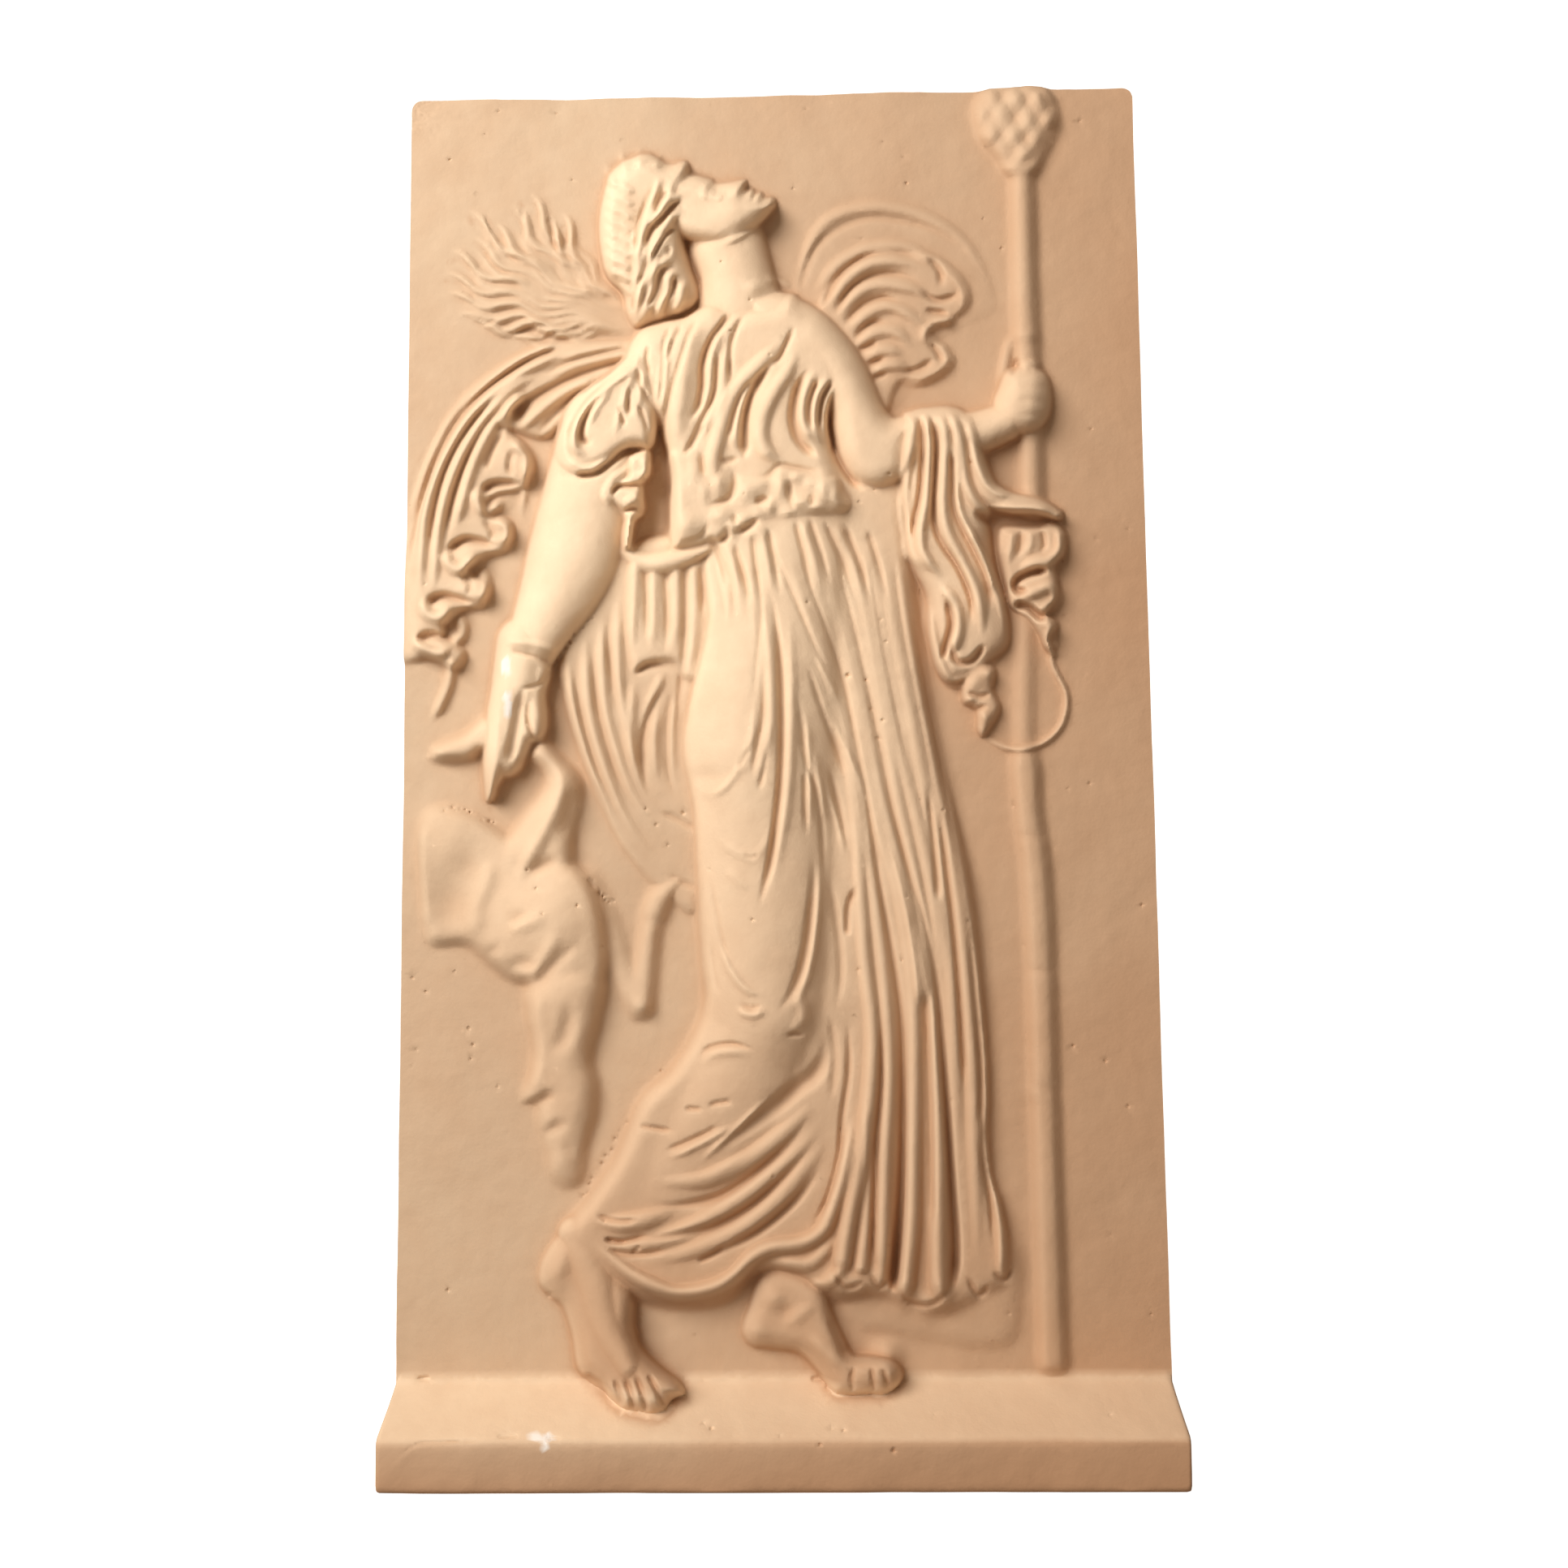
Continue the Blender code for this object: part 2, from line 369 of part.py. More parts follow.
def carve_kid(c):
    """The half of a kid that the figure holds by a hind leg."""
    body = c.mass([(-157.5, 262), (-156.5, 276), (-150, 281), (-140, 280), (-129, 275), (-118, 267),
                   (-104, 257), (-90, 255), (-81, 246), (-75.5, 228), (-76, 204), (-92, 199), (-109, 203),
                   (-118, 206), (-130, 215.5), (-137, 220.5), (-153, 221), (-156, 240)],
                  (5.5, -155, 250, 10.5, -100, 230), 6)
    c.swell(-104, 233, 20, 19, 4.5, 20)
    c.swell(-92, 222, 12, 22, 2.2)
    c.swell(-146, 266, 12, 14, 2.4)
    c.swell(-144, 238, 9, 15, -3.6)
    c.swell(-136, 254, 5, 7, -1.2)
    c.folds([[(-156, 274), (-156, 250), (-154, 228)]], 3.0, 2.2, "cord", (0.15, 0.1), body)
    c.folds([[(-125, 260), (-128, 247), (-132.5, 236), (-133, 222)]], 5.0, 3.0, "bell", (0.3, 0.2))
    c.folds([[(-129, 216), (-124, 218), (-121, 222)], [(-118, 230), (-113, 232.5), (-109, 235.5)]],
            2.2, -2.2, "bell", (0.2, 0.4))
    c.folds([[(-119, 225), (-110, 229), (-101, 233)]], 4.0, 1.8, "bell", (0.3, 0.3))
    c.folds([[(-119, 209), (-112, 212), (-106, 211)]], 4.0, -3.6, "bell", (0.2, 0.2))
    c.folds([[(-109, 203), (-104.5, 211), (-99, 220), (-95, 229)]], 3.0, 3.4, "cord", (0.1, 0.4))
    c.folds([[(-106, 204), (-99, 210), (-92, 217), (-84, 222)]], 3.4, -3.0, "bell", (0.1, 0.4))
    # hind leg rising to the hand, a broad plane on the left and a narrow one on the right
    c.mass([(-127, 248), (-124.5, 261), (-117, 269), (-110, 279), (-102.5, 289), (-103, 296), (-110, 303),
            (-104, 311), (-95, 302), (-87, 293), (-86, 282), (-89, 268), (-90, 250), (-98, 230),
            (-114, 226), (-126, 236)], (11.5, -98, 275, 9.0, -108, 234), 8)
    c.folds([[(-95, 300), (-96, 286), (-101, 273), (-109, 258), (-116, 244)]],
            5.0, 3.2, "bell", (0.2, 0.3))
    c.folds([[(-89, 290), (-91, 277), (-95, 264)]], 4.5, -2.4, "bell", (0.3, 0.3))
    c.folds([[(-110, 251), (-103, 254.5), (-94, 258)]], 2.6, -3.0, "bell", (0.15, 0.4))
    c.mass([(-153, 306), (-146, 310), (-138, 313), (-127, 321), (-124, 306), (-131, 305), (-136, 301.5),
            (-150, 301.5)], 8.5, 4)
    # neck and head hanging down
    c.mass([(-109, 203), (-109.5, 190), (-107.5, 181), (-106.5, 174), (-108, 165), (-111.5, 153),
            (-105, 149), (-104, 141), (-100.5, 130), (-99, 121), (-92, 116), (-85.5, 119), (-83.5, 130),
            (-79.5, 145), (-79, 160), (-81.5, 171), (-78, 187), (-76, 206), (-92, 214)],
           (12.0, -92, 200, 8.5, -92, 122), 10)
    c.folds([[(-105, 200), (-105, 188), (-103.5, 176), (-104.5, 165), (-107, 156)]],
            4.6, 2.4, "bell", (0.15, 0.15))
    c.folds([[(-91, 196), (-92, 184), (-95, 177), (-99, 173)]], 5.5, -2.8, "bell", (0.4, 0.3))
    c.folds([[(-110.5, 150.5), (-105, 152), (-97.5, 156.5)]], 2.4, -5.5, "bell", (0.1, 0.2))
    c.folds([[(-102, 138), (-98.5, 141), (-92.5, 143.5)]], 1.7, -4.0, "bell", (0.1, 0.2))
    c.folds([[(-80.5, 146), (-82, 138), (-84.5, 128)], [(-92, 136), (-91, 128)]],
            2.0, -2.0, "bell", (0.3, 0.3))
    c.swell(-101, 145, 4, 3.4, 1.8)
    c.swell(-96, 126, 3.4, 5, 1.6)
    c.swell(-88, 150, 6, 8, 1.2)
    # the other hind leg, loose beside the body
    c.limb([(-83, 248, 5, 3), (-75, 230, 5.5, 2.6), (-67, 206, 5.5, 3), (-60, 194, 5.5, 6)])
    c.limb([(-60, 193, 5.4, 8), (-58, 207, 4.6, 7.5), (-56, 224, 4.3, 7), (-54, 233, 5.0, 8),
            (-51, 240, 5.0, 8), (-44, 247, 3.4, 7)])
    c.swell(-60, 193, 4.5, 3.5, 1.8)
    c.folds([[(-60, 230.5), (-50, 229)]], 1.6, -2.0, "bell", (0.1, 0.2))


def carve_figure(c):
    """The dancer: dress over the moving legs, bodice, arms and head."""
    dress = c.mass([(-29, 400), (-31, 362), (-38, 328), (-42, 303), (-37, 280), (-35, 245), (-33, 215),
                    (-32, 192), (-45, 168), (-60, 153), (-70, 130), (-82, 112), (-93, 97), (-86, 84),
                    (-66, 71), (-46, 66), (-25, 68), (-11, 79), (4, 78), (16, 71), (26, 68), (40, 70),
                    (52, 67), (70, 62), (88, 70), (98, 78), (95, 105), (90, 125), (90, 170), (86, 232),
                    (79, 270), (72, 300), (65, 345), (60, 400), (58, 430), (44, 446), (26, 440)],
                   (12.0, -10, 200, 7.5, 80, 200), 7)
    c.mass([(26, 70), (32, 57), (46, 54), (64, 51), (82, 48), (96, 49), (101, 60), (99, 92), (60, 86)],
           2.6, 9)
    # the body under the cloth: hip, thigh and the bent leg trailing to the left
    c.limb([(2, 420, 40, 16), (-2, 365, 36, 19), (-6, 320, 38, 21), (-5, 280, 34, 21), (-5, 235, 32, 20),
            (-6, 195, 29, 20), (-8, 178, 26, 18)], dress)
    c.limb([(-6, 190, 25, 18), (-18, 158, 28, 17), (-42, 122, 28, 14), (-66, 94, 22, 11)], dress)
    c.swell(-14, 308, 22, 34, 2.5, 0, dress)
    c.swell(-4, 182, 20, 13, 2.5, 0, dress)
    c.soften(1.5)
    carve_skirt(c, dress)

    # left foot, heel raised and toes over the ledge
    c.mass([(-104, 77), (-102, 87), (-93, 97), (-78, 92), (-64, 74), (-63, 58), (-60, 49), (-52, 41),
            (-43, 34), (-41, 29), (-46, 26.5), (-49, 21), (-56, 18.5), (-62, 20), (-69, 22), (-76, 29),
            (-84, 36), (-88, 42), (-90, 54), (-94, 66), (-100, 71)], (9, -90, 80, 21, -60, 30), 9)
    c.limb([(-88, 96, 8, 11), (-80, 76, 11, 14), (-75, 56, 11, 17), (-66, 40, 9, 21)])
    c.swell(-95, 82, 6, 9, 2.5, -15)
    for x, z, size in ((-46, 32, 5.2), (-54, 26, 4.4), (-61, 28, 3.6), (-66.5, 27, 3.2), (-72, 31, 3.0)):
        c.swell(x, z, size, size * 1.6, 2.6, 32)
    c.folds([[(-58, 39), (-54, 32), (-50, 24)], [(-63, 38), (-60, 31), (-57.5, 22)],
             [(-67.5, 37), (-65, 31), (-63, 23)], [(-72, 36), (-70, 31), (-68, 25)]],
            1.5, -3.2, "bell", (0.3, 0.1))
    c.folds([[(-85, 38), (-79, 34), (-74, 28)]], 2.6, -5.0, "bell", (0.2, 0.2))
    # right foot, flat and turned to the right
    c.mass([(-14, 66), (-17, 56), (-13, 49.5), (-4, 48), (6, 46.5), (12, 42), (18, 34), (22, 28.5),
            (29, 27.5), (37, 28), (44, 28), (50, 33), (51, 39), (47, 43), (38, 45), (30, 46), (26, 53),
            (22, 62), (17, 74), (2, 82), (-9, 78)], (9, -8, 66, 17, 38, 34), 8)
    c.swell(-3, 69, 4.5, 4.5, 1.8)
    c.swell(1.5, 63, 4, 3.5, -1.4)
    c.swell(-11, 55, 6, 6, 1.4)
    c.swell(45, 45, 6.5, 6.0, 4.4)
    c.folds([[(1, 57), (8, 62), (15, 67)], [(10, 56), (20, 46), (30, 39)]], 5.0, 1.4, "bell", (0.4, 0.4))
    c.folds([[(31, 41), (29.5, 36), (30, 30)], [(38, 41), (38.5, 35), (39, 30)],
             [(42, 40), (44, 36), (45, 31)]], 1.4, -2.6, "bell", (0.3, 0.1))
    c.folds([[(-12, 48), (0, 46.3), (8, 43.5), (14, 39)], [(20, 62), (24, 52), (28, 43)]],
            2.4, -2.0, "bell", (0.2, 0.2))

    carve_bodice(c)

    # left arm, hanging, with its bracelet
    c.limb([(-78, 452, 18, 17), (-83, 420, 21, 17), (-91, 388, 21, 17), (-104, 360, 14.5, 16),
            (-111, 344, 11.5, 15), (-115, 326, 12.5, 14), (-120, 312, 9, 13)])
    # the hand closes round the leg, with its long edge on the left
    c.mass([(-123, 350), (-126, 337), (-128.5, 322), (-130, 305), (-129.5, 291), (-128, 283),
            (-124.5, 284.5), (-121, 292), (-116, 301), (-110, 307), (-103, 310), (-100.5, 319),
            (-101.5, 330), (-99, 342), (-104, 351)], 13.5, 7)
    c.folds([[(-120, 344), (-122, 325), (-124, 306), (-127, 290)]], 6.5, 1.4, "bell", (0.25, 0.2))
    c.folds([[(-112, 336), (-114, 322), (-116.5, 309), (-119, 298)]], 4.0, -3.0, "bell", (0.3, 0.2))
    c.folds([[(-109.5, 330), (-110, 320), (-107, 311), (-103, 312)]], 1.5, -2.6, "bell", (0.3, 0.2))
    c.swell(-105.5, 321, 3.4, 8.5, 1.4)
    c.folds([[(-126, 287), (-119, 290), (-111, 294), (-104, 292)]], 4.0, -3.2, "bell", (0.2, 0.3))
    c.folds([[(-120, 354), (-108, 353), (-97, 349)]], 2.2, 1.4, "cord", (0.1, 0.1))
    c.folds([[(-119, 350), (-108, 347.5), (-100, 344)], [(-113, 333), (-105, 334.5), (-100, 340)]],
            1.5, -1.8, "bell", (0.2, 0.1))
    carve_sleeve(c)

    # right arm reaching for the staff
    c.mass([(4, 513), (12, 511), (25, 501.5), (36, 488), (43, 476), (49, 461), (54, 454), (64, 454),
            (62, 430), (52, 421), (43, 420.5), (35, 425), (29, 435), (26, 448), (24, 460), (16, 474),
            (4, 486), (-6, 500)], 17.3, 11)
    c.limb([(48, 438, 13, 15), (62, 440, 15, 16), (78, 443, 12.5, 15), (92, 446.5, 10, 14),
            (104, 451, 9, 13)])
    c.mass([(98, 459), (101, 468), (104, 474), (108, 472), (113, 472.5), (119, 476.5), (124.5, 476),
            (123, 470), (123, 460), (122.5, 452), (116, 446), (110, 443), (105, 448), (99, 455)], 13.5, 9)
    c.folds([[(101, 466), (104, 476), (107, 489), (110, 491)], [(112, 474), (116, 477), (121, 477)]],
            2.8, 3.2, "cord", (0.3, 0.3))
    c.folds([[(110, 481), (109, 476), (107, 472)]], 1.6, -3.4, "bell", (0.3, 0.2))
    c.folds([[(108, 468), (116, 468), (123, 466)], [(108, 461), (116, 461), (123, 459)],
             [(109, 454), (117, 454), (122, 453)]], 2.4, -0.6, "bell", (0.3, 0.1))
    carve_arm_cloth(c)
    carve_head(c)


def carve_bodice(c):
    """The thin bodice over the chest, gathered above the girdle into ruffles."""
    bodice = c.mass([(-62, 494), (-50, 500), (-41, 501.5), (-35, 505), (-28, 508), (-16, 506), (-2, 509),
                     (8, 512), (14, 508), (22, 501), (30, 492), (34, 478), (33, 468), (28, 460),
                     (26, 448), (29, 436), (32, 426), (32, 408), (-30, 394), (-47, 396), (-47, 425),
                     (-49, 440), (-52, 452), (-60, 462), (-70, 474)], 17, 11)
    c.swell(-42, 470, 10, 20, 2.0)
    c.swell(2, 464, 12, 20, 1.6)
    c.folds([[(-31, 505), (-37, 491), (-40, 477), (-42, 462), (-45, 447), (-46, 434)]],
            6.5, 2.0, "bell", (0.25, 0.25), bodice)
    c.folds([[(-22, 502), (-26, 490), (-28.5, 478), (-29.5, 468), (-34, 457)],
             [(-17, 494), (-22, 478), (-23, 467), (-28, 455), (-34, 445)],
             [(-8, 474), (-13, 465), (-15.5, 457), (-17.5, 447), (-17, 438)],
             [(-47, 496), (-49, 480), (-51, 466), (-53, 452)]], 2.6, 1.8, "cord", (0.3, 0.2), bodice)
    c.folds([[(5, 491), (-4, 482), (-12, 474), (-17.5, 467), (-21, 460), (-24, 450), (-27, 438),
              (-29, 424)], [(11, 487), (7, 477), (1, 468), (-4, 458), (-6, 448), (-4, 440), (3, 433)]],
            3.8, 3.0, "cord", (0.25, 0.15), bodice)
    c.folds([[(20, 477), (15, 468), (13, 459), (14, 450), (19, 442)],
             [(28, 474), (20.5, 466), (18, 456), (19, 448), (23, 440)],
             [(33, 472), (25.5, 464), (23.3, 455), (24, 446), (27, 438)]],
            2.3, 2.3, "cord", (0.25, 0.2), bodice)
    c.folds([[(-16.5, 506), (-22, 499), (-28, 490), (-31.5, 480), (-32, 469), (-33.5, 461), (-38, 453)]],
            2.5, -4.4, "bell", (0.1, 0.2), bodice)
    c.folds([[(-32, 505), (-37, 496), (-40.5, 486), (-43, 478), (-45.5, 470), (-47.5, 461), (-49.5, 451),
              (-50, 443)], [(-45.5, 500), (-49, 490), (-49.7, 480), (-50.3, 470), (-52, 458)],
             [(-41, 499), (-46, 488), (-48, 480)],
             [(-25.5, 489), (-25.5, 475), (-27, 464), (-31, 456), (-35, 448), (-40, 438), (-44, 429)],
             [(-31, 452), (-35, 445), (-38, 439)],
             [(-9, 473), (-14, 466), (-17, 458), (-19, 450), (-20.5, 444)]],
            1.5, -2.4, "bell", (0.15, 0.2), bodice)
    c.folds([[(-11, 504), (-15.5, 498), (-18.5, 490), (-19.5, 480), (-19, 470)],
             [(10, 497), (6, 488), (3, 482), (-2, 478)],
             [(32, 476), (26, 470), (22, 462), (20.8, 453), (21.5, 446)],
             [(21, 473), (17.5, 464), (16.3, 455), (18, 447)]], 1.7, -3.0, "bell", (0.2, 0.25), bodice)
    c.folds([[(1, 481), (-6, 472), (-10.5, 463), (-12.5, 454), (-13, 444), (-13, 435)],
             [(17, 478), (12, 470), (9.5, 461), (9, 452), (12, 443), (20, 435)]],
            3.2, -4.4, "bell", (0.3, 0.15), bodice)
    c.folds([[(35, 470), (29, 464), (26, 456), (25.5, 448), (27, 440), (30.5, 432), (36, 424),
              (41, 420)]], 2.6, -5.0, "bell", (0.2, 0.15))
    c.folds([[(-17, 506.5), (-10, 506.5), (-3, 508.5), (1, 511)]], 1.8, -2.6, "bell", (0.2, 0.2))
    # ruffles gathered over the girdle
    c.mass([(-47, 398), (-46, 425), (-48, 440), (-38, 442), (-28, 436), (-24, 433), (-12, 432), (2, 432),
            (22, 431), (30, 428), (32, 418), (28, 411), (20, 411), (10, 409), (0, 407), (-5, 408),
            (-10, 404), (-16, 401), (-21, 400), (-24, 396), (-29, 397), (-33, 395), (-45, 394)], 17.5, 6)
    lumps = [(-39, 406, 6, 6, 3.2), (-44, 420, 3.4, 12, 2.2), (-36, 428, 4, 9, 2.0),
             (3, 424, 3.4, 6.5, 3.4), (10, 427.5, 3.4, 2.6, 2.2), (22, 421, 3.8, 7, 3.4),
             (12, 415.5, 5.5, 3.4, 2.8), (-25, 425, 4, 7, 3.2), (-12.5, 421, 5, 6, 3.0),
             (-6, 424, 4, 4, 1.8), (-14, 407.5, 4, 3, 2.6), (-2, 413.5, 2.6, 3.6, 2.4),
             (-24, 410, 5, 4, 2.8), (28, 417.5, 2.8, 6, 2.4), (16, 424, 2.6, 3, 1.8),
             (-19, 404, 3, 3.4, 2.0), (6, 411, 4, 2.4, 1.8), (-31.5, 421, 2.6, 6, 1.8),
             (18, 413, 3.6, 2.2, 1.6), (-7, 411, 3.2, 3.2, 1.8)]
    for x, z, wide, tall, lift in lumps:
        c.swell(x, z, wide, tall, lift)
    c.folds([[(-19, 432), (-17.5, 425), (-20, 418), (-26, 415.5), (-31, 414.5)],
             [(-6, 409.5), (-11, 405), (-17, 401)], [(-22, 406), (-21, 401), (-25, 397)],
             [(-9, 415), (-5, 417), (-1, 417.5)]], 2.4, -3.6, "bell", (0.3, 0.35))
    c.folds([[(-25, 435), (-20, 435), (-15, 436)],
             [(-10, 427), (-3, 428), (3, 432.5), (10, 431), (24, 429)], [(-18, 411), (-17, 405)],
             [(-46, 398), (-38, 398.5), (-32, 401), (-29, 409)], [(-33, 440), (-31, 427)],
             [(7.5, 427), (7, 419), (9, 411)], [(17, 420), (17, 413)]], 2.0, -2.4, "bell", (0.35, 0.35))
    c.limb([(-70, 396, 4, 8), (-55, 389, 6.5, 13), (-42, 391, 6.5, 14), (-30, 395, 4, 14)])


def carve_sleeve(c):
    """The left sleeve, looped round the upper arm, with its hem hanging in a curl."""
    sleeve = c.mass([(-60, 488), (-74, 476), (-86, 467), (-95, 454), (-97, 441), (-93, 431), (-84, 429),
                     (-74, 433), (-64, 440), (-56, 440), (-52, 448), (-51, 470)], 19, 8)
    c.folds([[(-64, 482), (-75, 475), (-85, 467.5), (-92, 457.5), (-95.5, 447), (-95, 438), (-90, 433),
              (-82, 432), (-74, 436), (-66, 441.5)],
             [(-62, 479), (-72, 473), (-80, 465.5), (-87, 457), (-90.3, 448), (-89, 441), (-82, 438)]],
            2.6, 3.2, "cord", (0.1, 0.2))
    c.folds([[(-72, 470), (-79.5, 461), (-83, 451)], [(-61, 482), (-66, 468), (-70, 454), (-72, 445)],
             [(-57, 480), (-60, 466), (-62, 453)]], 2.6, 1.6, "bell", (0.3, 0.3), sleeve)
    c.folds([[(-64, 480), (-74, 473.5), (-82, 466), (-88, 458), (-92, 449), (-92, 441)]],
            1.7, -3.4, "bell", (0.2, 0.2), sleeve)
    c.folds([[(-74, 469), (-82, 461), (-86, 453), (-86, 446), (-81, 443.5)]],
            2.6, -4.0, "bell", (0.3, 0.15), sleeve)
    c.folds([[(-64.7, 471), (-65.2, 463), (-65, 455)], [(-69.5, 462), (-67, 451)],
             [(-61.5, 481), (-60, 472), (-56.5, 464), (-53, 459)], [(-62, 463), (-58.5, 456), (-56, 447)],
             [(-56, 490), (-57, 482), (-55, 474)]], 1.3, -2.8, "bell", (0.25, 0.25))
    c.folds([[(-90, 429.5), (-81, 430), (-74, 434.5), (-67, 439.5), (-61, 440)]],
            2.6, -5.0, "bell", (0.15, 0.15))
    c.mass([(-66, 438), (-56, 441), (-55, 430), (-58, 424), (-58, 412), (-62, 407), (-64, 396),
            (-68, 396), (-68, 410), (-76, 418), (-75, 426), (-66, 430)], 17, 4)
    c.folds([[(-63, 438), (-66, 431), (-72, 427), (-75, 420), (-71, 413)],
             [(-58, 438), (-57, 431), (-61, 427)], [(-67, 416), (-60, 420)],
             [(-64.5, 409), (-66, 400), (-65, 393)]], 2.6, 2.6, "cord", (0.2, 0.25))
    c.folds([[(-73, 419), (-70.5, 423.5), (-64, 424), (-54, 425)],
             [(-68, 412), (-63, 413.5), (-58, 411)]], (1.8, 2.8), -4.6, "bell", (0.2, 0.2))
    c.folds([[(-49, 446), (-48.5, 430), (-48.5, 415), (-48, 399)]], 2.6, -7.0, "bell", (0.2, 0.15))


def carve_skirt(c, dress):
    """Folds of the dress, from the girdle to the hem."""
    # small folds that spring from the gathers
    c.folds([[(-27, 399), (-23, 385), (-21, 372)], [(-18, 398), (-14, 383), (-9, 366)],
             [(-10, 402), (-8, 385), (-5, 368)], [(-3, 405), (0, 388), (3, 370)],
             [(9, 408), (14, 388), (17, 372)], [(15, 410), (22, 388), (26, 370)],
             [(22, 408), (31, 386), (36, 366)], [(31, 406), (39, 384), (44, 364)],
             [(41, 404), (47, 384), (51, 364)]], 2.0, -1.9, "bell", (0.15, 0.5))
    c.folds([[(-22, 398), (-18, 385), (-15, 370)], [(-6, 404), (-3, 386), (0, 368)],
             [(12, 408), (18, 388), (22, 368)], [(27, 407), (35, 386), (40, 366)]],
            2.6, 1.2, "bell", (0.15, 0.5))
    # long folds that fan out from the girdle and trail to the right
    c.folds([[(4, 398), (13, 370), (21, 345), (28, 318), (33, 290), (35.5, 262), (36.5, 235), (38, 210),
              (40.5, 185), (40, 165), (37, 140), (33, 118), (29, 100), (25, 76)],
             [(20, 398), (28, 362), (35, 325), (40, 292), (46, 265), (52, 245), (56, 222), (58.5, 195),
              (58.5, 165), (57.5, 130), (56, 98), (52, 66)],
             [(34, 398), (42, 355), (48, 318), (53, 285), (59, 255), (64, 225), (66.5, 195), (67.5, 165),
              (68, 130), (67.5, 100), (67, 66)]], (2.4, 4.4), (0.7, 6.5), "cord", (0.08, 0.03), dress)
    c.folds([[(14, 380), (24, 345), (31, 315), (37, 282), (41, 250), (44, 225), (47, 190), (47.5, 160),
              (45.5, 130), (44, 100), (43, 74)],
             [(26, 380), (33, 350), (40, 315), (46, 283), (52, 258), (57, 235), (61, 210), (62.5, 190)],
             [(36, 150), (38, 128), (37, 105), (34, 78)]],
            (2.2, 3.6), (0.6, 5.0), "cord", (0.1, 0.05), dress)
    c.folds([[(46, 398), (54, 350), (60, 315), (66, 280), (72, 245), (75, 205), (76, 165), (77, 120)],
             [(54, 398), (61, 340), (69, 300), (75, 265), (79, 235), (82, 200), (83.5, 170), (84, 120),
              (84, 74)], [(40, 398), (47, 350), (53, 310), (60, 280), (66, 252), (70, 225), (72, 200)]],
            (2.4, 3.6), (0.7, 2.6), "cord", (0.08, 0.2), dress)
    c.folds([[(62, 380), (70, 330), (76, 285), (82, 245), (85, 215), (87, 190), (89, 170), (89, 150),
              (87.5, 138), (90, 122), (93.5, 108), (95, 96), (94, 74)]],
            (1.8, 2.8), (0.8, 4.0), "cord", (0.1, 0.04), dress)
    c.folds([[(28, 345), (34, 315), (40, 282), (44, 250), (48, 225), (51, 205), (53, 185), (53.2, 160),
              (52.5, 130), (51, 105), (47.5, 70)]], (1.4, 4.4), (-0.6, -10.0), "bell", (0.1, 0.03), dress)
    c.folds([[(38, 345), (45, 310), (51, 277), (58, 250), (63, 232), (66.5, 215), (69, 195), (70.5, 170),
              (72, 145), (73.5, 115), (74.5, 90), (73, 70)]],
            (1.4, 3.4), (-0.6, -8.0), "bell", (0.1, 0.05), dress)
    c.folds([[(-2, 398), (4, 383), (10, 369), (17, 352), (22, 340), (27, 325)],
             [(10, 396), (17, 374), (26, 348), (32, 325), (36, 300)],
             [(27, 396), (31, 376), (37, 350), (43, 320), (48, 290)],
             [(41, 394), (47, 355), (54, 315), (61, 280)], [(52, 394), (58, 350), (66, 305), (72, 270)],
             [(60, 370), (68, 320), (74, 285), (79, 250)]], 1.5, -1.1, "bell", (0.15, 0.4), dress)
    c.folds([[(-28, 394), (-25, 380), (-22.5, 366), (-24, 356)],
             [(-24, 394), (-20, 380), (-18.5, 368), (-20, 359)], [(-16, 391), (-13, 380), (-12, 365)],
             [(-10, 394), (-7, 376), (-6, 364), (-8, 348), (-10, 330), (-14, 313)],
             [(-31, 388), (-31, 360)]], 1.1, -1.1, "cut", (0.2, 0.4), dress)
    c.folds([[(-31, 392), (-27, 372), (-27, 356)], [(-26, 392), (-21.5, 374), (-21, 358)],
             [(-20, 392), (-16, 375), (-15, 360)], [(-13, 392), (-10, 372), (-9, 350)]],
            2.6, 0.7, "bell", (0.2, 0.4), dress)
    c.folds([[(-3, 382), (1, 356), (2.4, 335), (2.4, 308), (1, 285), (-3, 256), (-9, 233)]],
            2.4, -3.4, "bell", (0.3, 0.15), dress)
    c.folds([[(-6, 376), (-3, 350), (-2, 325), (-2, 300)],
             [(6, 372), (7, 345), (7, 315), (5, 285), (0, 255), (-4, 238)]],
            3.4, 1.5, "bell", (0.3, 0.3), dress)
    c.folds([[(-5.5, 343), (-5.5, 322), (-8, 308), (-11.5, 291)], [(-3, 309), (-5, 299), (-8, 286)],
             [(-11, 307), (-17, 296)]], 1.7, -1.7, "bell", (0.35, 0.2), dress)
    c.folds([[(-9, 330), (-11, 310), (-18, 294), (-28, 285), (-37, 290)],
             [(-3, 320), (-4, 305), (-8, 290)]], 2.6, 1.2, "bell", (0.3, 0.3), dress)
    c.swell(-29, 293, 9, 4, -1.0, 0, dress)
    c.folds([[(8, 334), (11, 318), (13, 300), (18, 284), (20, 262), (20, 240)],
             [(12, 347), (16, 336), (21, 320), (28, 300), (33, 284)], [(22, 300), (27, 280), (31, 258)],
             [(12.5, 300), (12.5, 280), (13, 264)]], 1.9, -1.6, "bell", (0.3, 0.3), dress)
    c.folds([[(13.5, 324), (14.5, 300), (14.5, 280), (13.5, 264)], [(16, 308), (19, 290), (21, 270)],
             [(17, 348), (24, 334), (28, 324)], [(23, 324), (29, 308), (36, 292), (40, 276)],
             [(21, 290), (27, 272), (30, 255)]], 2.0, 1.2, "bell", (0.3, 0.3), dress)
